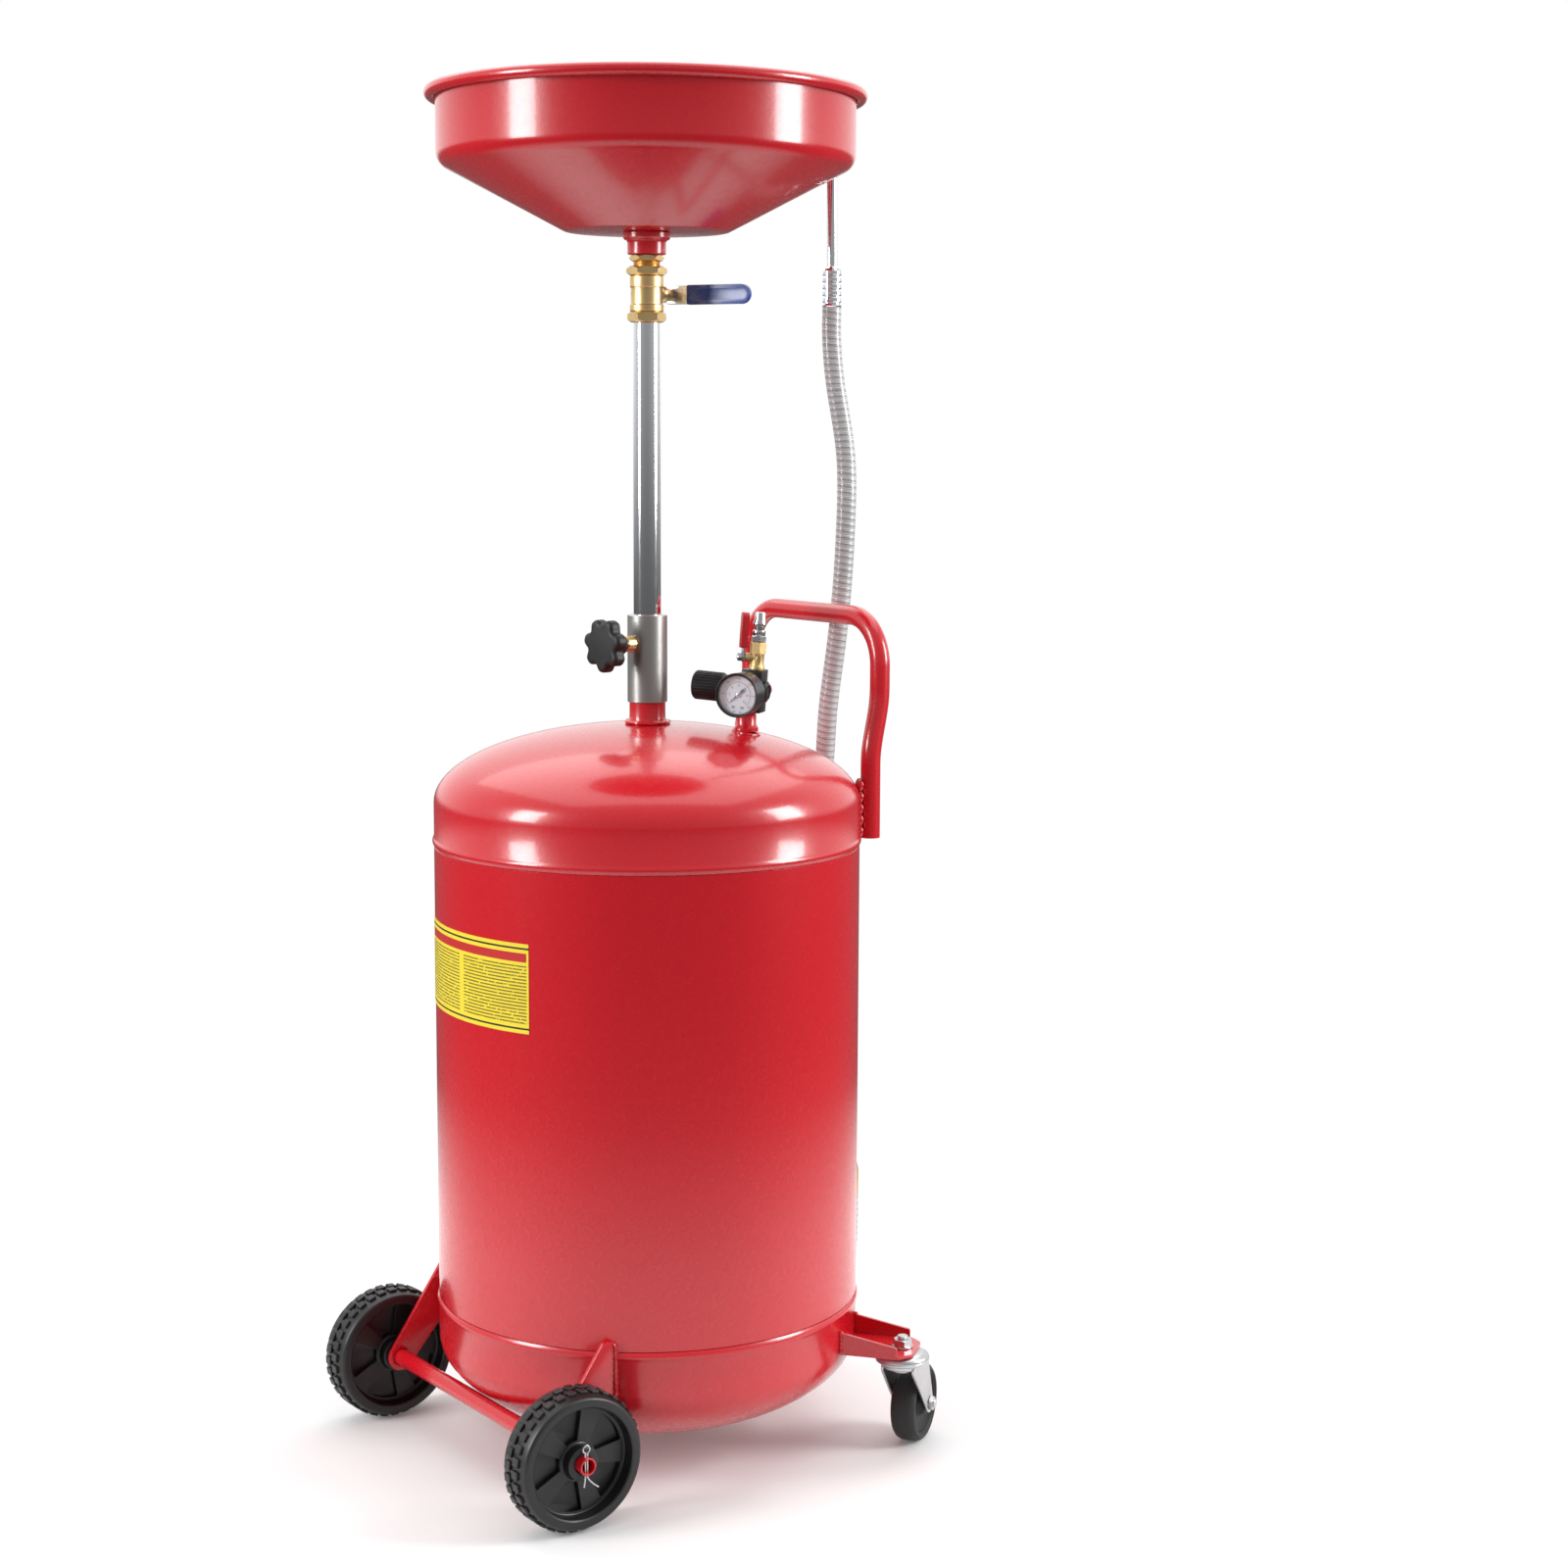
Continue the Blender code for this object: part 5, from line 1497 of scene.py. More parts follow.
@dataclass
class Hose(Assembly):
    """The clear braided hose from the outlet to the wand that hangs on the bowl's rim."""

    radius: float = 0.0093
    sides: int = 24
    per_span: int = 14
    route: tuple[Point, ...] = (
        (0.2420, 0.0000, 0.1900),
        (0.2420, 0.0000, 0.1600),
        (0.2425, 0.0030, 0.1250),
        (0.2450, 0.0130, 0.0920),
        (0.2480, 0.0490, 0.0480),
        (0.2490, 0.0960, 0.0420),
        (0.2420, 0.1340, 0.0800),
        (0.2350, 0.1460, 0.1500),
        (0.2290, 0.1260, 0.2400),
        (0.2265, 0.0880, 0.3500),
        (0.2245, 0.0520, 0.4600),
        (0.2210, 0.0300, 0.5600),
        (0.2180, 0.0150, 0.6300),
        (0.2145, 0.0040, 0.6900),
        (0.2165, -0.0090, 0.7700),
        (0.2200, -0.0135, 0.8500),
        (0.2210, -0.0130, 0.9300),
        (0.2130, -0.0050, 1.0050),
        (0.2100, -0.0030, 1.0453),
        (0.2100, -0.0030, 1.0750),
    )

    def build(self) -> None:
        """Make the outlet, the hose, its ferrule and the wand."""
        self.build_outlet()
        line = smooth_line([(x + self.axis_x, y, z) for x, y, z in self.route], self.per_span)
        hose = self.skin(line)
        self.finished(hose, self.palette.hose, "", "reinforced_hose", ["hose"], 60.0)
        ferrule = self.build_ferrule()
        self.build_wand()
        tuple(line[0])
        tuple(line[-1])
        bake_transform(hose)
        length = sum((after - before).length for before, after in zip(line, line[1:]))
        LOG.info("hose: %.3f m long", length)
        tuple(line[0])
        2.0 * self.radius
        [tuple(point) for point in line]

    def skin(self, line: Sequence[Vector]) -> bpy.types.Object:
        """Wrap a closed tube with its map round a line.

        Args:
            line: The hose's centre line.

        Returns:
            The tube; its map holds the turn across and the metres along.
        """
        mesh = bpy.data.meshes.new("braided_hose")
        work = bmesh.new()
        chart = work.loops.layers.uv.new("hose_map")
        side = Vector((1.0, 0.0, 0.0))
        rings, runs, run = [], [], 0.0
        for index, here in enumerate(line):
            ahead = (line[min(index + 1, len(line) - 1)] - line[max(index - 1, 0)]).normalized()
            side = (side - ahead * side.dot(ahead)).normalized()
            up = ahead.cross(side)
            run += (here - line[index - 1]).length if index else 0.0
            runs.append(run)
            turns = [math.tau * step / self.sides for step in range(self.sides)]
            rings.append(
                [work.verts.new(here + (side * math.cos(t) + up * math.sin(t)) * self.radius) for t in turns]
            )
        for index in range(len(rings) - 1):
            for step in range(self.sides):
                other = (step + 1) % self.sides
                corners = (
                    rings[index][step], rings[index][other], rings[index + 1][other], rings[index + 1][step]
                )
                face = work.faces.new(corners)
                face.smooth = True
                spots = ((step, index), (step + 1, index), (step + 1, index + 1), (step, index + 1))
                for loop, (across, along) in zip(face.loops, spots):
                    loop[chart].uv = (across / self.sides, runs[along])
        work.faces.new(list(reversed(rings[0])))
        work.faces.new(rings[-1])
        bmesh.ops.recalc_face_normals(work, faces=work.faces[:])
        work.to_mesh(mesh)
        work.free()
        piece = bpy.data.objects.new("braided_hose", mesh)
        bpy.context.scene.collection.objects.link(piece)
        return piece

    def build_ferrule(self) -> bpy.types.Object:
        """Make the crimped ferrule at the hose's upper end."""
        low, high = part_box("hose_ferrule")
        radius = 0.0094
        section = [(0.0, high.z), (0.0058, high.z), (0.0068, high.z - 0.0010), (0.0080, high.z - 0.0016)]
        for index in range(5):
            top = high.z - 0.0040 - 0.0064 * index
            section += [
                (radius, top), (radius, top - 0.0034), (radius - 0.0007, top - 0.0042),
                (radius - 0.0007, top - 0.0056),
            ]
        section += [(radius, low.z + 0.0012), (radius - 0.0006, low.z), (0.0, low.z)]
        ferrule = Bench.lathe("hose_crimp", section, 48)
        at = Matrix.Translation((self.axis_x + 0.2100, -0.0030, 0.0))
        return self.finished(
            Bench.place(ferrule, at), self.palette.chrome, "column", "chrome", ["hose_ferrule"], 30.0
        )

    def build_wand(self) -> bpy.types.Object:
        """Make the bent wand that hooks over the bowl's rim."""
        middle, reach = (0.2085 + 0.1845) / 2.0, (0.2085 - 0.1845) / 2.0
        rise = [(0.2100, 1.1138), (0.2097, 1.1400), (0.2092, 1.1800), (0.2086, 1.2250), (0.2085, 1.2500)]
        line = [*rise, *arc((middle, 1.2595), reach, 0.0, 180.0, 25), (0.1845, 1.2400), (0.1845, 1.2180)]
        points = [(self.axis_x + x, -0.0030, z) for x, z in line]
        wand = Bench.tube("hook_wand", points, 0.0052, 8)
        mouth = Bench.lathe("wand_mouth", rod(0.0041, -0.006, 0.006, 0.0001), 32)
        Bench.cut(wand, Bench.place(mouth, Matrix.Translation(points[-1])))
        return self.finished(wand, self.palette.chrome, "column", "chrome", ["discharge_wand"])

    def build_outlet(self) -> None:
        """Make the brass elbow with its hexagon flange and the clip on the hose."""
        height = 0.2300
        bend = [
            (0.2060, height),
            (0.2200, height),
            *arc((0.2250, height - 0.0170), 0.0170, 90.0, 0.0, 13),
            (0.2420, 0.1905),
        ]
        points = [(self.axis_x + x, 0.0, z) for x, z in bend]
        elbow = Bench.tube("elbow_forging", points, 0.0094, 7)
        side = frame_of(Vector((self.axis_x + 0.2, 0.0, height)), Vector((0, 0, 1)), Vector((1, 0, 0)))
        Bench.weld(elbow, Bench.place(Bench.hexagon("elbow_flange", 0.0270, -0.004, 0.0125), side))
        holder = Tank(self.frame, self.palette).solid(-0.0004)
        Bench.cut(elbow, holder)
        self.finished(elbow, self.palette.brass, "tank", "brass", ["outlet_elbow"], 30.0)


@dataclass
class Handle(Assembly):
    """The bent push handle and the welds at its two feet."""

    radius: float = 0.0095
    half_width: float = 0.1060
    foot: float = 0.5740
    lean_start: float = 0.6450
    lean_end: float = 0.7150
    top: float = 0.7825
    top_x: float = 0.1930
    bend: float = 0.0450

    def build(self) -> None:
        """Make the handle and its welds."""
        clear = 0.2000 + 0.0016 + self.radius + GAP
        foot_x = math.sqrt(clear**2 - self.half_width**2)
        side = [(foot_x, self.half_width, self.foot), (foot_x, self.half_width, self.lean_start)]
        for share in [index / 12 for index in range(1, 13)]:
            ease = share * share * (3.0 - 2.0 * share)
            height = self.lean_start + (self.lean_end - self.lean_start) * share
            side.append((foot_x + (self.top_x - foot_x) * ease, self.half_width, height))
        centre = (self.half_width - self.bend, self.top - self.bend)
        side += [(self.top_x, y, z) for y, z in arc(centre, self.bend, 0.0, 90.0, 18)]
        other = [(x, -y, z) for x, y, z in reversed(side)]
        bar = Bench.place(Bench.tube("push_bar", [*side, *other], self.radius - 0.0001, 9), self.upright)
        self.finished(bar, self.palette.red, "tank", "red_paint", ["push_handle"], 60.0)
        welds = []
        for hand in (-1.0, 1.0):
            turn = math.atan2(self.half_width, foot_x)
            for spread in (-0.026, 0.026):
                angle = hand * turn + spread
                line, widths = [], []
                for index in range(51):
                    height = self.foot + 0.001 + 0.0011 * index
                    line.append((0.2014 * math.cos(angle), 0.2014 * math.sin(angle), height))
                    widths.append(0.42 + 0.58 * abs(math.sin(math.pi * index / 10.0)))
                welds.append(Bench.tube("foot_weld", line, 0.0040, 4, False, widths))
        seam = Bench.place(Bench.join(welds, "handle_welds"), self.upright)
        self.finished(seam, self.palette.red, "tank", "red_paint")


# --------------------------------------------------------------------------------------
# Wheels and casters
# --------------------------------------------------------------------------------------


@dataclass
class RearWheels(Assembly):
    """The two moulded wheels on their tube axle, with its plates and split pins."""

    radius: float = 0.0635
    half: float = 0.0190
    blocks: int = 34
    spokes: int = 5

    def build(self) -> None:
        """Make the axle, then each side's plate, wheel and split pin."""
        low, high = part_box("axle")
        middle = (low + high) / 2.0
        tube = Bench.lathe("axle_tube", ring(0.0062, 0.0080, low.y, high.y, 0.0005), 48)
        across = frame_of(Vector((middle.x, 0.0, middle.z)), Vector((1, 0, 0)), Vector((0, 1, 0)))
        self.finished(Bench.place(tube, across), self.palette.red, "tank", "red_paint", ["axle"])
        model = self.model_wheel()
        for side, label in ((-1.0, "right"), (1.0, "left")):
            pos, _ = self.pivot(f"wheel_{label}_roll")
            at = frame_of(pos, Vector((1, 0, 0)), Vector((0, side, 0)))
            wheel = Bench.copy(model, at, f"road_wheel_{label}")
            self.finished(
                wheel, self.palette.rim, f"wheel_{label}", "black_rubber", [f"rear_wheel_{label}"], 32.0
            )
            self.build_plate(label)
            self.build_pin(label)
        bpy.data.objects.remove(model, do_unlink=True)

    def model_wheel(self) -> bpy.types.Object:
        """Model one wheel round local Z, its outer face up."""
        half, bore = self.half, 0.0085
        base = self.radius - 0.0026
        web = 0.0080
        face = [
            (0.0150, half - 0.0016),
            (0.0140, half - 0.0010),
            (bore + 0.0006, half - 0.0010),
            (bore, half - 0.0016),
        ]
        outer = [
            (base, 0.0),
            (base, half - 0.0078),
            (base - 0.0009, half - 0.0052),
            *arc((0.0560, half - 0.0038), 0.0038, 20.0, 90.0, 6),
            (0.0512, half),
            (0.0500, half - 0.0010),
            (0.0482, web + 0.0006),
            (0.0474, web),
            (0.0170, web),
            (0.0158, web + 0.0008),
        ]
        upper = [*outer, *face]
        lower = [(r, -z) for r, z in reversed(upper)]
        wheel = Bench.lathe("wheel_model", [*upper, *lower[:-1]], 120)
        cuts = []
        for index in range(self.spokes):
            start, end = 360.0 * index / self.spokes + 19.0, 360.0 * (index + 1) / self.spokes - 19.0
            wedge = [
                *arc((0.0, 0.0), 0.0455, start - 6.0, end + 6.0, 14),
                *arc((0.0, 0.0), 0.0185, end, start, 8),
            ]
            shape = rounded(wedge, 0.0012, 2)
            cuts.append(Bench.slab("pocket", [shape], 0.0014, web + 0.004))
            cuts.append(Bench.slab("pocket", [shape], -web - 0.004, -0.0014))
        Bench.cut(wheel, Bench.join(cuts, "pockets"))
        Bench.bevel(wheel, 0.0005, 2, 50.0)
        bpy.ops.mesh.primitive_cube_add(size=1.0)
        block = Bench.named("tread_block")
        pitch = math.tau * self.radius / self.blocks
        block.scale = (0.0026, pitch * 0.66, half - 0.0100)
        Bench.place(block, Matrix())
        Bench.bevel(block, 0.0006, 1)
        treads = []
        for index in range(self.blocks):
            for level, shift in ((0.0062, 0.0), (-0.0062, 0.5)):
                turn = Matrix.Rotation(math.tau * (index + shift) / self.blocks, 4, "Z")
                at = turn @ Matrix.Translation((self.radius - 0.0014, 0.0, level))
                treads.append(Bench.copy(block, at, "tread"))
        bpy.data.objects.remove(block, do_unlink=True)
        return Bench.join([wheel, *treads], "wheel_model")

    def build_plate(self, label: str) -> None:
        """Make the flat arm from the tank's side to the axle and its welds."""
        low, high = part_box(f"axle_plate_{label}")
        pos, _ = self.pivot(f"wheel_{label}_roll")
        centre = (pos.x, pos.z)
        outline = [
            (pos.x + 0.0800, 0.1520),
            (pos.x + 0.0450, 0.1520),
            *arc(centre, 0.0135, 140.0, 300.0, 17),
            (pos.x + 0.0450, 0.0960),
            (pos.x + 0.0800, 0.1060),
        ]
        plate = Bench.slab(
            f"axle_arm_{label}", [outline, circle(0.0083, 32, centre)], -0.0020, 0.0020, 0.0006, 2
        )
        place = frame_of(Vector((0.0, (low.y + high.y) / 2.0, 0.0)), Vector((1, 0, 0)), Vector((0, -1, 0)))
        Bench.place(plate, place)
        shell = Tank(self.frame, self.palette)
        Bench.cut(plate, shell.solid(0.0))
        self.finished(plate, self.palette.red, "tank", "red_paint", [f"axle_plate_{label}"])
        welds = []
        for face in (low.y, high.y):
            line = []
            for index in range(30):
                height = 0.1500 - 0.0017 * index
                reach = shell.surface_at(height) ** 2 - face**2
                if reach > 0.0:
                    line.append((self.axis_x - math.sqrt(reach) - 0.0004, face, height))
            welds.append(Bench.bead("arm_weld", line, 0.0026, face * 90.0))
        weld = Bench.join(welds, f"axle_arm_weld_{label}")
        self.finished(weld, self.palette.red, "tank", "red_paint")

    def build_pin(self, label: str) -> None:
        """Make the split pin with its eye up and its legs spread."""
        low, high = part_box(f"cotter_pin_{label}")
        pos, _ = self.pivot(f"wheel_{label}_roll")
        apart = 0.0011
        eye = arc((0.0, 0.0150), 0.0034, -72.0, 252.0, 24)
        legs = [(0.0120, -0.0215), (0.0075, -0.0180), (0.0030, -0.0135), (apart, -0.0105)]
        back = [(-apart, 0.0100), (-apart, -0.0105), (-0.0015, -0.0130), (-0.0025, -0.0190)]
        shape = [*legs, (apart, 0.0100), *eye, *back]
        at = Vector((pos.x, (low.y + high.y) / 2.0, pos.z))
        line = [at + Vector((x, 0.0, z)) for x, z in shape]
        pin = Bench.tube(f"split_pin_{label}", line, 0.0008, 3)
        self.finished(pin, self.palette.zinc, "tank", "zinc_plate", [f"cotter_pin_{label}"], 60.0)


@dataclass
class Casters(Assembly):
    """The two swivel casters under their welded channels."""

    wheel_radius: float = 0.0375
    wheel_half: float = 0.0125
    bracket_floor: float = 0.0990
    sheet: float = 0.0030

    def build(self) -> None:
        """Make both casters."""
        for label in ("right", "left"):
            swivel, _ = self.pivot(f"caster_{label}_swivel")
            roll, _ = self.pivot(f"caster_{label}_roll")
            trail = Vector((roll.x - swivel.x, roll.y - swivel.y, 0.0))
            place = frame_of(Vector((swivel.x, swivel.y, 0.0)), trail, Vector((0, 0, 1)))
            self.build_bracket(label, swivel)
            self.build_stem(place, label)
            self.build_fork(place, label, trail.length)
            self.build_wheel(place, label, trail.length)

    def build_bracket(self, label: str, swivel: Vector) -> None:
        """Make the channel that carries a caster, and its weld to the tank."""
        out = Vector((swivel.x - self.axis_x, swivel.y, 0.0))
        place = frame_of(Vector((self.axis_x, 0.0, self.bracket_floor)), out, Vector((0, 0, 1)))
        half, end, corner, start = 0.0300, 0.2655, 0.0120, 0.1700
        web = [
            (start, -half), (end - corner, -half), (end, corner - half), (end, half - corner),
            (end - corner, half), (start, half),
        ]
        holes = circle(0.0053, 32, (out.length, 0.0))
        channel = Bench.slab(f"caster_channel_{label}", [rounded(web, 0.004, 5), holes], 0.0, self.sheet)
        wall = [
            (start, 0.0004), (end - corner - 0.001, 0.0004), (end - corner - 0.001, 0.0110), (start, 0.0265)
        ]
        for hand in (-1.0, 1.0):
            turn = (
                Matrix.Translation((0.0, hand * (half - self.sheet / 2.0), 0.0))
                @ Matrix.Rotation(math.pi / 2.0, 4, "X")
            )
            flange = Bench.slab("flange", [rounded(wall, 0.002, 4)], -self.sheet / 2.0, self.sheet / 2.0)
            Bench.weld(channel, Bench.place(flange, turn))
        Bench.place(channel, place)
        shell = Tank(self.frame, self.palette)
        Bench.cut(channel, shell.solid(-0.0002))
        Bench.bevel(channel, 0.0009, 3, 40.0)
        self.finished(channel, self.palette.red, "tank", "red_paint", [f"caster_bracket_{label}"])
        welds = []
        for hand in (-1.0, 1.0):
            line = []
            for index in range(17):
                height = self.bracket_floor + 0.0020 + 0.0013 * index
                across = hand * (half - 0.0005)
                reach = math.sqrt(max(shell.surface_at(height) ** 2 - across**2, 0.0))
                if reach + 0.002 < end - corner:
                    line.append(place @ Vector((reach + 0.0012, across, height - self.bracket_floor)))
            if len(line) > 4:
                welds.append(Bench.bead("channel_weld", line, 0.0026, hand))
        if welds:
            weld = Bench.join(welds, f"caster_channel_weld_{label}")
            self.finished(weld, self.palette.red, "tank", "red_paint")

    def build_stem(self, place: Matrix, label: str) -> None:
        """Make the threaded stem with its nut, washer and head."""
        base = self.bracket_floor + self.sheet + GAP
        threads = [(0.0, base + 0.0110), (0.0044, base + 0.0110)]
        for index in range(10):
            height = base + 0.0106 - 0.0011 * index
            threads += [(0.0050, height), (0.0044, height - 0.00055)]
        head = self.bracket_floor - 0.0153
        stem = Bench.lathe(
            f"stem_{label}", [*threads, (0.0050, base), *rod(0.0100, head - 0.0043, head - GAP)[1:]], 40
        )
        Bench.weld(stem, Bench.lathe("washer", rod(0.0098, base, base + 0.0012, 0.0002), 40))
        Bench.weld(stem, Bench.hexagon("stem_nut", 0.0160, base + 0.0010, base + 0.0080))
        Bench.place(stem, place)
        self.finished(stem, self.palette.zinc, "tank", "zinc_plate", [f"caster_stem_{label}"], 25.0)

    def build_fork(self, place: Matrix, label: str, trail: float) -> None:
        """Make the pressed swivel head and its two legs."""
        top = self.bracket_floor - GAP
        low = top - 0.0150
        crown = [
            (0.0185, top),
            (0.0196, top - 0.0004),
            (0.0240, top - 0.0026),
            (0.0252, top - 0.0040),
            (0.0255, top - 0.0056),
            (0.0249, top - 0.0062),
            (0.0249, top - 0.0068),
            (0.0255, top - 0.0074),
            (0.0253, top - 0.0088),
            (0.0240, top - 0.0098),
            (0.0200, top - 0.0110),
            (0.0196, low + 0.0010),
            (0.0186, low),
            (0.0058, low),
            (0.0055, top),
        ]
        fork = Bench.lathe(f"caster_head_{label}", crown, 72)
        inner, sheet = self.wheel_half + 0.0015, 0.0025
        leg = [
            (-0.0135, top - 0.0115),
            (-0.0145, top - 0.0170),
            *arc((trail, self.wheel_radius), 0.0092, 208.0, 380.0, 20),
            (0.0300, top - 0.0180),
            (0.0175, top - 0.0115),
        ]
        for hand in (-1.0, 1.0):
            turn = (
                Matrix.Translation((0.0, hand * (inner + sheet / 2.0), 0.0))
                @ Matrix.Rotation(math.pi / 2.0, 4, "X")
            )
            outline = rounded(leg, 0.0030, 4)
            plate = Bench.slab(
                "leg",
                [outline, circle(0.0044, 24, (trail, self.wheel_radius))],
                -sheet / 2,
                sheet / 2,
                0.0005,
                2,
            )
            Bench.weld(fork, Bench.place(plate, turn))
        Bench.place(fork, place)
        self.finished(
            fork, self.palette.zinc, f"swivel_{label}", "zinc_plate", [f"caster_fork_{label}"], 30.0
        )
        across = (
            place
            @ Matrix.Translation((trail, 0.0, self.wheel_radius))
            @ Matrix.Rotation(math.pi / 2.0, 4, "X")
        )
        shoulder, end = 0.0168, 0.0210
        bolt = Bench.lathe(f"caster_bolt_{label}", rod(0.0040, -end, end + 0.0008, 0.0005), 32)
        Bench.weld(bolt, Bench.hexagon("bolt_head", 0.0125, shoulder, end - 0.0008))
        Bench.weld(bolt, Bench.hexagon("bolt_nut", 0.0125, -end + 0.0006, -shoulder))
        Bench.place(bolt, across)
        self.finished(
            bolt, self.palette.zinc, f"swivel_{label}", "zinc_plate", [f"caster_axle_{label}"], 25.0
        )

    def build_wheel(self, place: Matrix, label: str, trail: float) -> None:
        """Make the dished wheel with its crowned tyre and hub."""
        radius, half = self.wheel_radius, self.wheel_half
        upper = [
            (radius, 0.0),
            (radius - 0.0003, half - 0.0060),
            (radius - 0.0016, half - 0.0026),
            (radius - 0.0040, half - 0.0006),
            (radius - 0.0064, half - 0.0004),
            (0.0306, half - 0.0016),
            (0.0300, half - 0.0022),
            (0.0292, half - 0.0022),
            (0.0280, half - 0.0050),
            (0.0240, half - 0.0064),
            (0.0140, half - 0.0064),
            (0.0118, half - 0.0046),
            (0.0106, half - 0.0004),
            (0.0050, half),
            (0.0045, half - 0.0004),
        ]
        lower = [(r, -z) for r, z in reversed(upper)]
        wheel = Bench.lathe(f"caster_tyre_{label}", [*upper, *lower[:-1]], 96)
        across = place @ Matrix.Translation((trail, 0.0, radius)) @ Matrix.Rotation(math.pi / 2.0, 4, "X")
        Bench.place(wheel, across)
        self.finished(
            wheel, self.palette.rubber, f"roller_{label}", "black_rubber", [f"caster_wheel_{label}"]
        )


# --------------------------------------------------------------------------------------
# Air inlet
# --------------------------------------------------------------------------------------


@dataclass
class AirPiece(Assembly):
    """A sub-assembly that stands in the tilted frame of the regulator."""

    @property
    def tilt(self) -> Matrix:
        """Return the regulator's frame: X away from the knob, Y away from the gauge."""
        pos, knob = self.pivot("pressure_set")
        gauge = self.pivot("gauge_reading")[1]
        return frame_of(pos, -knob, knob.cross(gauge))

    @property
    def toward_knob(self) -> Matrix:
        """Return the frame whose Z runs out through the knob."""
        return self.tilt @ Matrix.Rotation(-math.pi / 2.0, 4, "Y")

    @property
    def toward_gauge(self) -> Matrix:
        """Return the frame whose Z runs out through the gauge."""
        return self.tilt @ Matrix.Rotation(math.pi / 2.0, 4, "X")


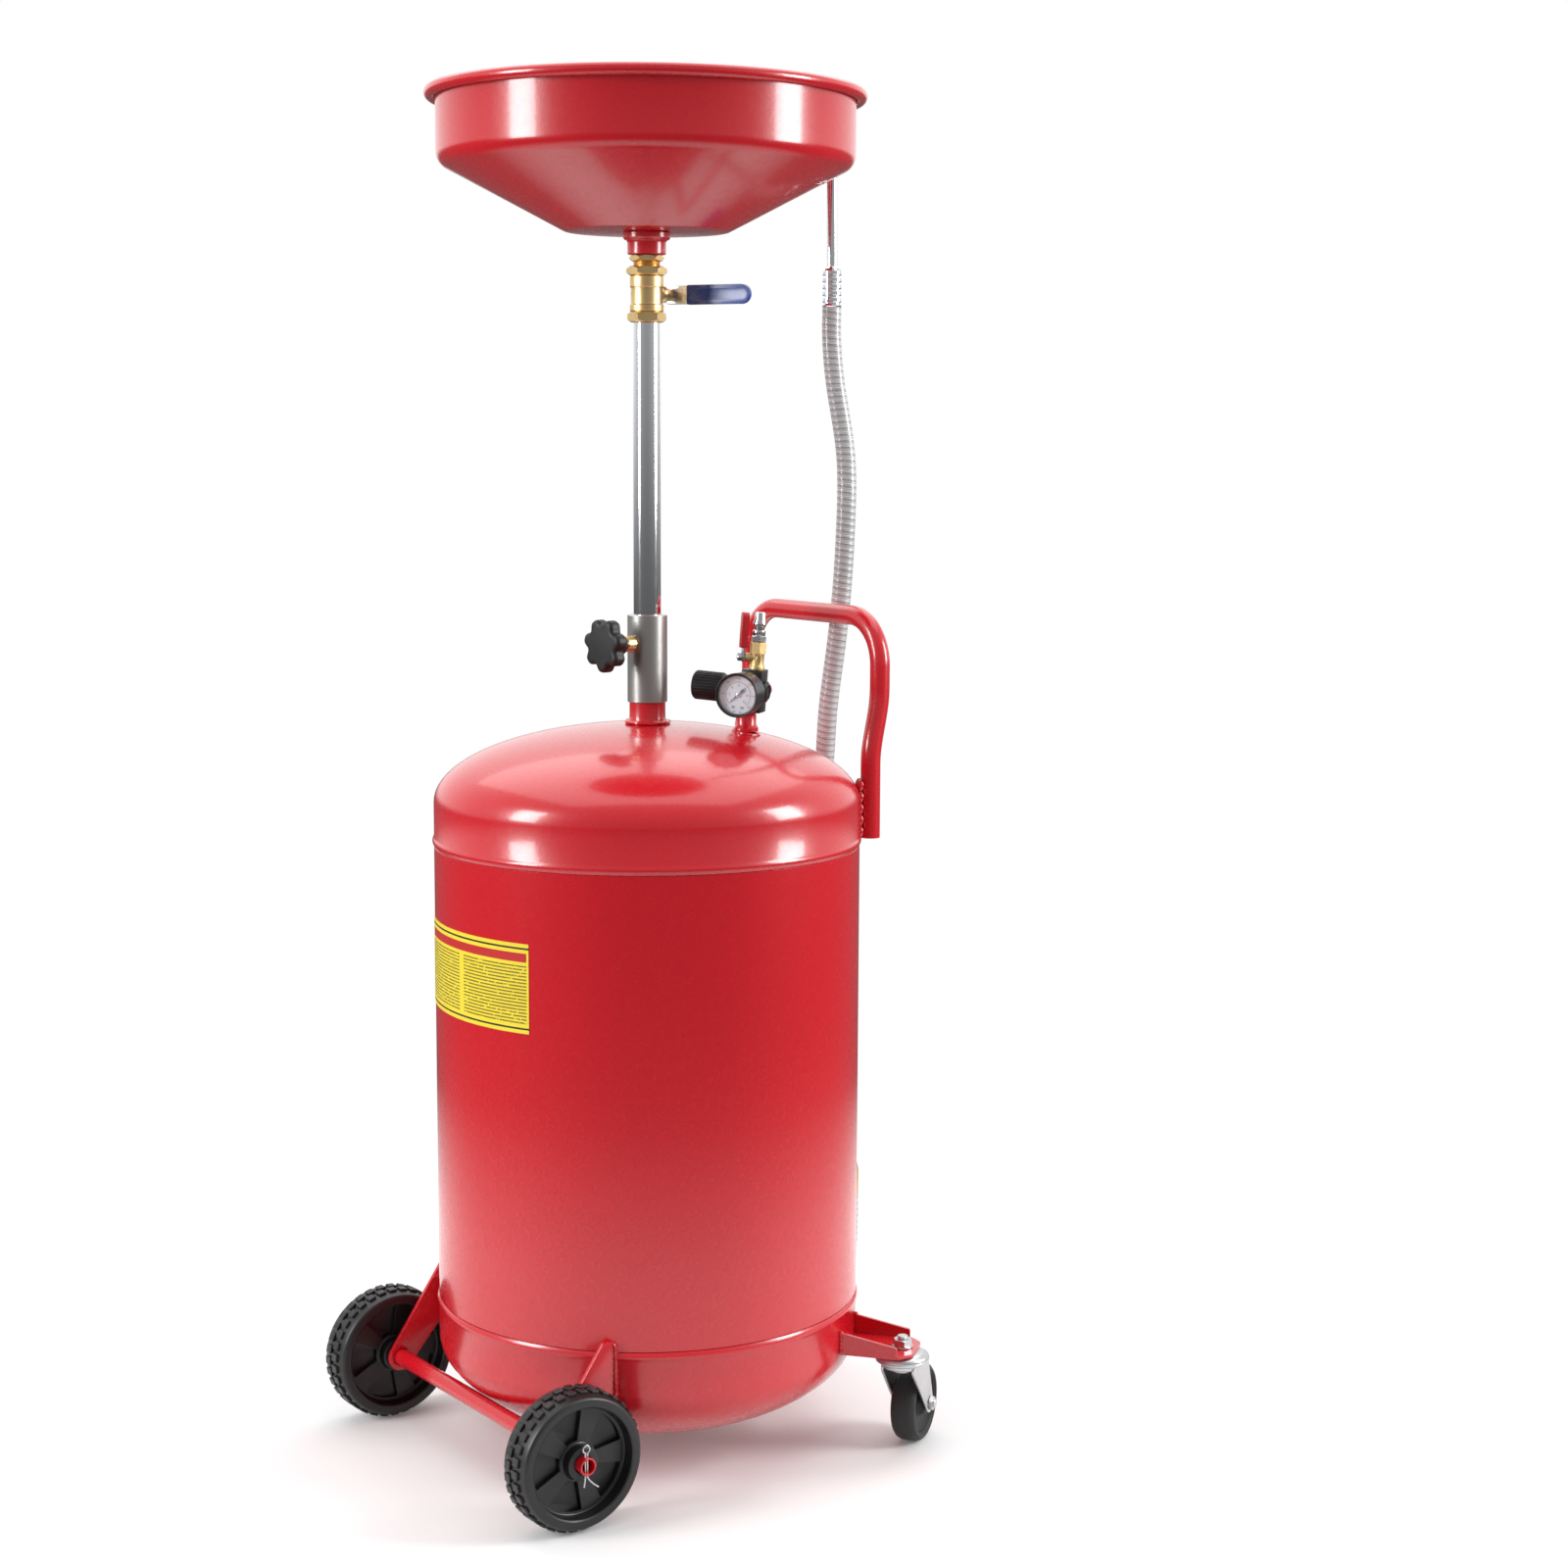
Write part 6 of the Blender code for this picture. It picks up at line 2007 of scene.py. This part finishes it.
@dataclass
class Regulator(AirPiece):
    """The regulator's body, ring, ribbed knob, spare port plug and welded riser."""

    half: float = 0.0100
    half_height: float = 0.0200
    ribs: int = 30

    def build(self) -> None:
        """Make every piece of the regulator."""
        self.build_riser()
        self.build_block()
        turned = Bench.lathe("lock_ring", rod(0.0137, 0.0173, 0.0210, 0.0005), 72)
        self.finished(
            Bench.place(turned, self.toward_knob),
            self.palette.red_vinyl,
            "tank",
            "red_vinyl",
            ["regulator_ring"],
        )
        self.build_knob()
        self.build_plug()

    def build_riser(self) -> None:
        """Make the short pipe on the crown and the weld round its foot."""
        low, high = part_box("regulator_riser")
        centre = Vector(((low.x + high.x) / 2.0, (low.y + high.y) / 2.0, 0.0))
        section = [
            (0.0088, high.z),
            (0.0094, high.z - 0.0008),
            (0.0094, 0.6850),
            (0.0098, 0.6842),
            (0.0104, 0.6828),
            (0.0114, 0.6815),
            (0.0114, low.z + 0.0040),
            (0.0060, low.z + 0.0040),
            (0.0060, high.z),
        ]
        shell = Tank(self.frame, self.palette)
        pipe = Bench.place(Bench.lathe("riser_pipe", section, 56), Matrix.Translation(centre))
        Bench.cut(pipe, shell.solid(0.0))
        self.finished(pipe, self.palette.red, "tank", "red_paint", ["regulator_riser"])
        line = []
        for index in range(56):
            turn = math.tau * index / 56
            at = centre + Vector((0.0114 * math.cos(turn), 0.0114 * math.sin(turn), 0.0))
            across = math.hypot(at.x - self.axis_x, at.y) / shell.radius
            crown = shell.upper_seam + shell.skirt + shell.upper_rise * math.sqrt(1.0 - across**2)
            line.append((at.x, at.y, crown + 0.0002))
        widths = [0.86 + 0.16 * math.sin(1.9 * index) for index in range(56)]
        weld = Bench.tube("riser_weld", line, 0.0020, 3, True, widths)
        self.finished(weld, self.palette.red, "tank", "red_paint")

    def build_block(self) -> None:
        """Make the square body with its bonnet and ribs."""
        bpy.ops.mesh.primitive_cube_add(size=1.0)
        block = Bench.named("regulator_housing")
        block.scale = (2.0 * self.half, 2.0 * self.half, 2.0 * self.half_height)
        Bench.place(block, Matrix())
        Bench.bevel(block, 0.0009, 3)
        bonnet = [
            (0.0, 0.0170),
            (0.0126, 0.0170),
            (0.0134, 0.0163),
            (0.0135, 0.0146),
            (0.0124, 0.0122),
            (0.0108, 0.0104),
            (0.0098, 0.0085),
            (0.0, 0.0085),
        ]
        along = Matrix.Rotation(-math.pi / 2.0, 4, "Y")
        Bench.weld(block, Bench.place(Bench.lathe("bonnet", bonnet, 72), along))
        for angle in (-40.0, -20.0, 20.0, 40.0):
            bpy.ops.mesh.primitive_cube_add(size=1.0)
            rib = Bench.named("bonnet_rib")
            rib.scale = (0.0010, 0.0024, 0.0065)
            turn = (
                Matrix.Rotation(math.radians(angle + 90.0), 4, "Z")
                @ Matrix.Translation((0.0, 0.0112, 0.0130))
            )
            Bench.weld(block, Bench.place(rib, along @ turn))
        for height in (-0.0125, 0.0125):
            corners = [(-0.0062, -0.0030), (0.0062, -0.0030), (0.0062, 0.0030), (-0.0062, 0.0030)]
            groove = Bench.slab("groove", [rounded(corners, 0.0012)], 0.0095, 0.012)
            Bench.place(
                groove, Matrix.Translation((0.0, 0.0, height)) @ Matrix.Rotation(math.pi / 2.0, 4, "X")
            )
            Bench.cut(block, groove)
        Bench.place(block, self.tilt)
        self.finished(block, self.palette.plastic, "tank", "black_plastic", ["regulator_block"], 28.0)

    def build_knob(self) -> None:
        """Make the adjusting knob: a smooth skirt, then broad ribs to a flat end."""
        section = [
            (0.0, 0.0572),
            (0.0092, 0.0572),
            (0.0096, 0.0580),
            (0.0118, 0.0580),
            (0.0128, 0.0572),
            (0.0130, 0.0560),
            (0.0130, 0.0296),
            (0.0126, 0.0282),
            (0.0116, 0.0266),
            (0.0114, 0.0216),
            (0.0110, 0.0213),
            (0.0, 0.0213),
        ]
        knob = Bench.lathe("set_knob", section, 90)
        ribs = []
        bpy.ops.mesh.primitive_cube_add(size=1.0)
        model = Bench.named("knob_rib")
        model.scale = (0.0012, 0.0017, 0.0262)
        Bench.place(model, Matrix.Translation((0.0131, 0.0, 0.0431)))
        Bench.bevel(model, 0.0004, 2)
        for index in range(self.ribs):
            ribs.append(Bench.copy(model, Matrix.Rotation(math.tau * index / self.ribs, 4, "Z"), "knob_rib"))
        bpy.data.objects.remove(model, do_unlink=True)
        whole = Bench.join([knob, *ribs], "set_knob")
        Bench.place(whole, self.toward_knob)
        self.finished(whole, self.palette.matt, "pressure_knob", "black_plastic", ["regulator_knob"], 30.0)

    def build_plug(self) -> None:
        """Make the lobed plug of the spare port, with its raised ring."""
        base = self.half + GAP
        outline = []
        for index in range(96):
            turn = math.tau * index / 96
            reach = 0.0094 + 0.0004 * math.cos(6.0 * turn)
            outline.append((reach * math.cos(turn), reach * math.sin(turn)))
        plug = Bench.slab("spare_port_plug", [outline], base, 0.0136, 0.0006, 2)
        section = [
            (0.0, 0.0142), (0.0050, 0.0142), (0.0052, 0.0136), (0.0060, 0.0136), (0.0063, 0.0148),
            (0.0072, 0.0148), (0.0077, 0.0136), (0.0077, 0.0120), (0.0, 0.0120),
        ]
        Bench.weld(plug, Bench.lathe("plug_ring", section, 64))
        Bench.place(plug, self.tilt @ Matrix.Rotation(math.pi / 2.0, 4, "Y"))
        self.finished(plug, self.palette.plastic, "tank", "black_plastic", ["port_plug"], 30.0)


@dataclass
class Gauge(AirPiece):
    """The pressure gauge with its card, print, needle, screws and window."""

    radius: float = 0.0205
    back: float = 0.0240
    face: float = 0.0520
    floor: float = 0.0450
    sweep: float = 270.0
    marks: int = 6

    def build(self) -> None:
        """Make every piece of the gauge."""
        glass = self.radius - 0.0024
        case = [
            (0.0, self.floor),
            (glass, self.floor),
            (glass, self.face - 0.0010),
            (glass + 0.0004, self.face - 0.0004),
            (glass + 0.0010, self.face),
            (self.radius - 0.0006, self.face),
            (self.radius, self.face - 0.0008),
            (self.radius, self.face - 0.0034),
            (self.radius - 0.0007, self.face - 0.0040),
            (self.radius - 0.0007, self.back + 0.0030),
            (self.radius - 0.0030, self.back),
            (0.0080, self.back - 0.0006),
            (0.0066, self.back - 0.0016),
            (0.0060, self.back - 0.0040),
            (0.0060, 0.0103),
            (0.0, 0.0103),
        ]
        out = self.toward_gauge
        self.finished(
            Bench.place(Bench.lathe("gauge_housing", case, 96), out),
            self.palette.plastic,
            "tank",
            "black_plastic",
            ["gauge_case"],
        )
        low = self.floor + GAP
        card = Bench.lathe("gauge_card", rod(glass - 0.0004, low, low + 0.0006, 0.0001), 72)
        self.finished(Bench.place(card, out), self.palette.card, "tank", "dial_white", ["gauge_dial"])
        high = self.face - 0.0012
        window = Bench.lathe("gauge_window", rod(glass - 0.0004, high - 0.0010, high, 0.0002), 72)
        self.finished(Bench.place(window, out), self.palette.window, "tank", "clear_plastic", ["gauge_lens"])
        self.build_print(low + 0.00065)
        self.build_needle()

    def spot(self, share: float, reach: float) -> Flat:
        """Return a place on the card at a share of the scale."""
        turn = math.radians(225.0 - self.sweep * share)
        return reach * math.cos(turn), reach * math.sin(turn)

    def figure(self, text: str, at: Flat, size: float, height: float) -> bpy.types.Object:
        """Cut one number, centred at its place."""
        Bench.clear()
        bpy.ops.object.text_add()
        item = bpy.context.object
        item.data.body = text
        item.data.size = size
        item.data.align_x = "CENTER"
        item.data.align_y = "CENTER"
        item.data.extrude = 0.00002
        item.data.resolution_u = 3
        bpy.ops.object.convert(target="MESH")
        return Bench.place(Bench.named("figure"), Matrix.Translation((at[0], at[1], height)))

    def tick(self, share: float, inner: float, outer: float, width: float, height: float) -> bpy.types.Object:
        """Cut one line of the scale."""
        bar = [(inner, -width), (outer, -width), (outer, width), (inner, width)]
        turn = Matrix.Rotation(math.radians(225.0 - self.sweep * share), 4, "Z")
        return Bench.place(Bench.slab("tick", [bar], height - 0.00002, height + 0.00002), turn)

    def build_print(self, height: float) -> None:
        """Make the card's two scales and the two screws that hold it."""
        black, red, blue = [], [], []
        for index in range(self.marks + 1):
            share = index / self.marks
            black.append(self.figure(str(2 * index), self.spot(share, 0.0086), 0.0033, height))
            red.append(self.figure(str(30 * index), self.spot(share, 0.0150), 0.0029, height))
        for index in range(61):
            share = index / 60
            long = index % 10 == 0
            black.append(
                self.tick(share, 0.0103 if long else 0.0110, 0.0120, 0.00014 if long else 0.00008, height)
            )
        for index in range(37):
            share = index / 36
            long = index % 6 == 0
            red.append(
                self.tick(share, 0.0121, 0.0133 if long else 0.0128, 0.00014 if long else 0.00008, height)
            )
        rim = [self.spot(index / 60, 0.01215) for index in range(61)]
        rim += [self.spot(1.0 - index / 60, 0.01200) for index in range(61)]
        black.append(Bench.slab("scale_line", [rim], height - 0.00002, height + 0.00002))
        for across in (-0.0030, 0.0030):
            for down in (0.0, 0.0009):
                bar = [
                    (across - 0.0014, -0.0152 - down), (across + 0.0014, -0.0152 - down),
                    (across + 0.0014, -0.0156 - down), (across - 0.0014, -0.0156 - down),
                ]
                blue.append(Bench.slab("bar", [bar], height - 0.00002, height + 0.00002))
        prints = (
            (black, "scale_black", self.palette.ink),
            (red, "scale_red", self.palette.red_ink),
            (blue, "scale_blue", self.palette.blue_ink),
        )
        for pieces, name, ink in prints:
            whole = Bench.place(Bench.join(pieces, name), self.toward_gauge)
            self.finished(whole, ink, "tank", "dial_white", (), 20.0)
        screws = []
        for across in (-0.0042, 0.0042):
            head = [(0.0, 0.0011), (0.0008, 0.0010), (0.0014, 0.0006), (0.0016, 0.0), (0.0, 0.0)]
            screw = Bench.lathe("card_screw", head, 28)
            bpy.ops.mesh.primitive_cube_add(size=1.0)
            slot = Bench.named("screw_slot")
            slot.scale = (0.0040, 0.0004, 0.0010)
            turn = Matrix.Rotation(0.6 + 80.0 * across, 4, "Z") @ Matrix.Translation((0.0, 0.0, 0.0012))
            Bench.cut(screw, Bench.place(slot, turn))
            screws.append(Bench.place(screw, Matrix.Translation((across, -0.0112, height - 0.00003))))
        pair = Bench.place(Bench.join(screws, "card_screws"), self.toward_gauge)
        self.finished(pair, self.palette.chrome, "tank", "chrome", (), 25.0)

    def build_needle(self) -> None:
        """Make the pointer with its broad tail and its bright hub cap."""
        pos, _ = self.pivot("gauge_reading")
        resting = math.radians(225.0)
        tip = self.toward_gauge.to_3x3() @ Vector((math.cos(resting), math.sin(resting), 0.0))
        place = frame_of(pos, tip, self.toward_gauge.to_3x3() @ Vector((0, 0, 1)))
        level = self.floor + GAP + 0.0006
        rise = (self.toward_gauge @ Vector((0, 0, level)) - pos).dot(place.to_3x3() @ Vector((0, 0, 1)))
        place = place @ Matrix.Translation((0.0, 0.0, rise))
        shape = [
            (0.0128, 0.0), (0.0018, 0.0007), (-0.0030, 0.0005), (-0.0036, 0.0013), (-0.0078, 0.0013),
            (-0.0078, -0.0013), (-0.0036, -0.0013), (-0.0030, -0.0005), (0.0018, -0.0007),
        ]
        pointer = Bench.slab("gauge_pointer", [shape], 0.0009, 0.0013, 0.00008)
        self.finished(
            Bench.place(pointer, place), self.palette.plastic, "needle", "black_plastic", ["gauge_needle"]
        )
        cap = [
            (0.0, 0.0026), (0.0005, 0.0026), (0.0007, 0.0023), (0.0014, 0.0022), (0.0019, 0.0018),
            (0.0020, 0.0012), (0.0020, 0.0004), (0.0, 0.0004),
        ]
        hub = Bench.place(Bench.lathe("pointer_cap", cap, 36), place)
        self.finished(hub, self.palette.chrome, "needle", "chrome")


@dataclass
class ReliefValve(AirPiece):
    """The brass relief valve with its soft red sleeve and pull ring."""

    def build(self) -> None:
        """Make the hexagon, the sleeve and the pin."""
        out = self.tilt @ Matrix.Translation((0.0, 0.0, -0.0020)) @ Matrix.Rotation(-math.pi / 2.0, 4, "X")
        body = Bench.hexagon("relief_hexagon", 0.0120, 0.0103, 0.0200)
        Bench.weld(body, Bench.lathe("relief_neck", rod(0.0045, 0.0190, 0.0235), 32))
        Bench.cut(body, Bench.lathe("relief_bore", rod(0.0019, 0.0, 0.04, 0.0001), 28))
        vent = Bench.lathe("relief_vent", rod(0.0011, -0.01, 0.01, 0.0001), 24)
        turn = Matrix.Translation((0.0, 0.0, 0.0150)) @ Matrix.Rotation(math.pi / 2.0, 4, "X")
        Bench.cut(body, Bench.place(vent, turn))
        self.finished(Bench.place(body, out), self.palette.brass, "tank", "brass", ["relief_body"], 28.0)
        section = [
            (0.0050, 0.0368),
            (0.0058, 0.0370),
            (0.0068, 0.0362),
            (0.0071, 0.0345),
            (0.0067, 0.0328),
            (0.0070, 0.0310),
            (0.0066, 0.0292),
            (0.0069, 0.0272),
            (0.0067, 0.0250),
            (0.0070, 0.0222),
            (0.0070, 0.0206),
            (0.0066, 0.0203),
            (0.0050, 0.0203),
            (0.0050, 0.0335),
            (0.0022, 0.0345),
            (0.0022, 0.0362),
        ]
        sleeve = Bench.lathe("relief_cap", section, 64)
        self.finished(
            Bench.place(sleeve, out), self.palette.red_vinyl, "tank", "red_vinyl", ["relief_sleeve"], 60.0
        )
        pin = Bench.lathe("pull_pin", rod(0.0014, 0.0140, 0.0408, 0.0002), 28)
        loop = [(0.0, y, z + 0.0437) for y, z in circle(0.0037, 40)]
        Bench.weld(pin, Bench.tube("pull_ring", loop, 0.0007, 4, True))
        self.finished(Bench.place(pin, out), self.palette.zinc, "relief", "zinc_plate", ["relief_pin"])


@dataclass
class AirValve(AirPiece):
    """The small cast ball valve with its red lever, and the quick plug on top."""

    stem_height: float = 0.0110
    plane: float = 0.0140
    reach: float = 0.0420

    @property
    def stand(self) -> Matrix:
        """Return the valve's frame: Z up through the plug, X out through the stem."""
        pos, out = self.pivot("air_valve")
        up = self.tilt.to_3x3() @ Vector((0.0, 0.0, 1.0))
        return frame_of(pos - up * self.stem_height, out, up)

    def build(self) -> None:
        """Make the valve's body, lever and plug."""
        self.build_body()
        self.build_lever()
        self.build_quick_plug()

    def build_body(self) -> None:
        """Make the cast body with its collar, boss, hexagon and stem neck."""
        section = [
            (0.0, 0.0200),
            (0.0066, 0.0168),
            (0.0067, 0.0150),
            (0.0066, 0.0144),
            (0.0063, 0.0138),
            (0.0063, 0.0050),
            (0.0066, 0.0038),
            (0.0072, 0.0032),
            (0.0073, 0.0026),
            (0.0073, 0.0004),
            (0.0, 0.0004),
        ]
        body = Bench.lathe("inlet_casting", section, 72)
        Bench.weld(body, Bench.hexagon("inlet_hexagon", 0.0138, 0.0150, 0.0260))
        out = Matrix.Translation((0.0, 0.0, self.stem_height)) @ Matrix.Rotation(math.pi / 2.0, 4, "Y")
        neck = [
            (0.0, 0.0122), (0.0037, 0.0122), (0.0041, 0.0118), (0.0041, 0.0086), (0.0047, 0.0060),
            (0.0047, 0.0030), (0.0, 0.0030),
        ]
        Bench.weld(body, Bench.place(Bench.lathe("inlet_neck", neck, 40), out))
        oval = [
            (0.0026 * math.cos(t), 0.0044 * math.sin(t))
            for t in [math.tau * index / 40 for index in range(40)]
        ]
        inside = [(0.78 * x, 0.84 * y) for x, y in oval]
        boss = Bench.slab("oval_boss", [oval, inside], 0.0050, 0.0069, 0.0002)
        for angle in (90.0, -90.0):
            turn = Matrix.Rotation(math.radians(angle), 4, "Z") @ Matrix.Translation((0.0, 0.0, 0.0098))
            standing = turn @ Matrix.Rotation(math.pi / 2.0, 4, "Z") @ Matrix.Rotation(math.pi / 2.0, 4, "X")
            Bench.weld(body, Bench.copy(boss, standing, "boss"))
        bpy.data.objects.remove(boss, do_unlink=True)
        Bench.cut(body, Bench.lathe("inlet_bore", rod(0.0046, -0.0010, 0.0280, 0.0001), 40))
        Bench.cut(
            body, Bench.place(Bench.lathe("inlet_stem_hole", rod(0.0023, 0.0010, 0.0200, 0.0001), 28), out)
        )
        self.finished(
            Bench.place(body, self.stand), self.palette.cast_brass, "tank", "brass", ["air_valve_body"], 30.0
        )

    def build_lever(self) -> None:
        """Make the ball with its stem, the strap, the dipped channel and the nut."""
        pos, out = self.pivot("air_valve")
        up = self.tilt.to_3x3() @ Vector((0.0, 0.0, 1.0))
        place = frame_of(pos, up, out)
        ball = Bench.lathe(
            "inlet_ball", [(0.0, 0.0042), *arc((0.0, 0.0), 0.0042, 80.0, -80.0, 13), (0.0, -0.0042)], 32
        )
        Bench.weld(ball, Bench.lathe("inlet_stem", rod(0.0020, 0.0030, 0.0194, 0.0004), 24))
        across = Matrix.Rotation(math.pi / 2.0, 4, "Y")
        Bench.cut(ball, Bench.place(Bench.lathe("ball_bore", rod(0.0022, -0.01, 0.01, 0.0001), 24), across))
        self.finished(
            Bench.place(ball, place), self.palette.chrome, "air_lever", "chrome", ["air_valve_stem"]
        )
        plane = self.plane
        strap = [*arc((0.0, 0.0), 0.0045, 90.0, 270.0, 17), (0.0083, -0.0045), (0.0083, 0.0045)]
        plate = Bench.slab(
            "inlet_strap", [strap, circle(0.0023, 24)], plane - 0.00075, plane + 0.00075, 0.0003, 2
        )
        self.finished(
            Bench.place(plate, place), self.palette.zinc, "air_lever", "chrome", ["air_lever_strap"]
        )
        half = 0.0045
        shape = [(0.0088, half), (0.0088, -half), *arc((self.reach - half, 0.0), half, -90.0, 90.0, 17)]
        grip = Bench.slab("inlet_grip", [rounded(shape, 0.0010, 3)], plane - 0.00325, plane + 0.00325)
        trough = [
            *arc((0.0124, 0.0), 0.0029, 90.0, 270.0, 9),
            *arc((self.reach - 0.0052, 0.0), 0.0029, -90.0, 90.0, 9),
        ]
        Bench.cut(grip, Bench.slab("trough", [trough], plane - 0.006, plane + 0.0012))
        Bench.bevel(grip, 0.0007, 4, 45.0)
        self.finished(
            Bench.place(grip, place),
            self.palette.red_vinyl,
            "air_lever",
            "red_vinyl",
            ["air_lever_grip"],
            50.0,
        )
        base = plane + 0.00105
        nut = Bench.hexagon("inlet_nut", 0.0070, base, base + 0.0038)
        Bench.cut(nut, Bench.lathe("nut_bore", rod(0.0023, 0.01, 0.03, 0.0001), 24))
        self.finished(
            Bench.place(nut, place), self.palette.zinc, "air_lever", "zinc_plate", ["air_lever_nut"], 25.0
        )

    def build_quick_plug(self) -> None:
        """Make the turned quick plug."""
        section = [
            (0.0032, 0.0533),
            (0.0038, 0.0535),
            (0.0046, 0.0533),
            (0.0049, 0.0526),
            (0.0055, 0.0450),
            (0.0062, 0.0436),
            (0.0063, 0.0424),
            (0.0060, 0.0410),
            (0.0048, 0.0403),
            (0.0047, 0.0372),
            (0.0058, 0.0366),
            (0.0060, 0.0358),
            (0.0060, 0.0330),
            (0.0056, 0.0322),
            (0.0056, 0.0314),
            (0.0032, 0.0314),
        ]
        plug = Bench.lathe("quick_nipple", section, 72)
        Bench.weld(plug, Bench.hexagon("plug_hexagon", 0.0125, 0.0263, 0.0316))
        Bench.cut(plug, Bench.lathe("plug_bore", rod(0.0032, 0.0200, 0.0600, 0.0001), 36))
        self.finished(
            Bench.place(plug, self.stand), self.palette.plug, "tank", "chrome", ["quick_plug"], 30.0
        )


# --------------------------------------------------------------------------------------
# Studio
# --------------------------------------------------------------------------------------


@dataclass
class Studio:
    """The pale floor, the soft lights and the camera."""

    camera_at: Point = (-1.3698, -2.1280, 0.9566)
    heading: float = 54.3
    pitch: float = 7.42
    roll: float = 0.28
    lens: float = 62.19
    floor_size: float = 3.2
    cove_front: float = 0.34
    cove_back: float = 1.15
    cove_low: float = 0.12
    cove_seen: float = 1.0

    def build(self) -> None:
        """Make everything that isn't part of the drain."""
        self.build_camera()
        self.build_floor()
        self.build_lights()

    def build_camera(self) -> None:
        """Place the camera on its heading."""
        heading, pitch, roll = (math.radians(angle) for angle in (self.heading, self.pitch, self.roll))
        ahead = Vector(
            (math.cos(heading) * math.cos(pitch), math.sin(heading) * math.cos(pitch), -math.sin(pitch))
        )
        level = ahead.cross(Vector((0.0, 0.0, 1.0))).normalized()
        above = level.cross(ahead)
        right = level * math.cos(roll) + above * math.sin(roll)
        bpy.ops.object.camera_add()
        camera = bpy.context.object
        camera.name = "studio_camera"
        camera.data.lens = self.lens
        camera.data.sensor_width = 36.0
        camera.data.clip_end = 200.0
        camera.matrix_world = frame_of(Vector(self.camera_at), right, -ahead)
        bpy.context.scene.camera = camera

    def build_floor(self) -> None:
        """Make the floor and the world's even light."""
        bpy.ops.mesh.primitive_plane_add(size=self.floor_size)
        floor = bpy.context.object
        floor.name = "studio_floor"
        floor.data.materials.append(Concrete().make())
        self.build_world()
        bpy.context.scene.view_settings.view_transform = "Standard"

    def build_world(self) -> None:
        """Surround the set: bright where the camera sees it, a graded cove for everything else."""
        world = bpy.data.worlds.new("studio_world")
        world.use_nodes = True
        tree = world.node_tree
        sky = tree.nodes["Background"]
        sky.inputs["Color"].default_value = (1.0, 1.0, 1.0, 1.0)
        heading = math.radians(self.heading)
        place = tree.nodes.new("ShaderNodeTexCoord").outputs["Generated"]
        levels = []
        for axis, span in (
            ((math.cos(heading), math.sin(heading), 0.0), (-1.0, 1.0, self.cove_front, self.cove_back)),
            ((0.0, 0.0, 1.0), (-0.06, 0.03, 0.0, 1.0)),
        ):
            dot = tree.nodes.new("ShaderNodeVectorMath")
            dot.operation = "DOT_PRODUCT"
            dot.inputs[1].default_value = axis
            tree.links.new(place, dot.inputs[0])
            grade = tree.nodes.new("ShaderNodeMapRange")
            for name, value in zip(("From Min", "From Max", "To Min", "To Max"), span):
                grade.inputs[name].default_value = value
            tree.links.new(dot.outputs["Value"], grade.inputs["Value"])
            levels.append(grade.outputs["Result"])
        seen = tree.nodes.new("ShaderNodeLightPath").outputs["Is Camera Ray"]
        strength = levels[0]
        for factor, first, second in ((levels[1], self.cove_low, strength), (seen, None, self.cove_seen)):
            mix = tree.nodes.new("ShaderNodeMix")
            tree.links.new(factor, mix.inputs[0])
            if first is None:
                tree.links.new(strength, mix.inputs[2])
                mix.inputs[3].default_value = second
            else:
                mix.inputs[2].default_value = first
                tree.links.new(second, mix.inputs[3])
            strength = mix.outputs[0]
        tree.links.new(strength, sky.inputs["Strength"])
        bpy.context.scene.world = world

    def build_lights(self) -> None:
        """Hang two soft boxes and a broad one overhead."""
        self.soft_box("left_box", 170.0, 2.6, 1.50, (0.75, 1.40), 56.0)
        self.soft_box("right_box", 317.0, 2.6, 1.50, (0.85, 1.40), 60.0)
        self.soft_box("top_box", 60.0, 0.9, 3.6, (4.6, 4.6), 85.0)

    def soft_box(
        self, name: str, angle: float, reach: float, height: float, size: Flat, power: float
    ) -> None:
        """Hang one soft box that faces the drain."""
        turn = math.radians(angle)
        at = Vector((reach * math.cos(turn), reach * math.sin(turn), height))
        toward = Vector((0.0, 0.0, 0.75)) - at
        bpy.ops.object.light_add(type="AREA")
        lamp = bpy.context.object
        lamp.name = name
        lamp.data.shape = "RECTANGLE"
        lamp.data.size, lamp.data.size_y = size
        lamp.data.energy = power
        side = Vector((0.0, 0.0, 1.0)).cross(-toward)
        lamp.matrix_world = frame_of(at, side, -toward)


def main() -> None:
    """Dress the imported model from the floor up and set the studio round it."""
    logging.basicConfig(level=logging.INFO, format="%(name)s: %(message)s")
    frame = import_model()
    palette = Palette()
    Studio().build()
    sections: tuple[type[Assembly], ...] = (
        Hose,
        Tank,
        Column,
        DrainValve,
        Handle,
        RearWheels,
        Casters,
        Regulator,
        Gauge,
        ReliefValve,
        AirValve,
    )
    for section in sections:
        section(frame, palette).build()
        LOG.info("%s: built", section.__name__)


if __name__ == "__main__":
    main()
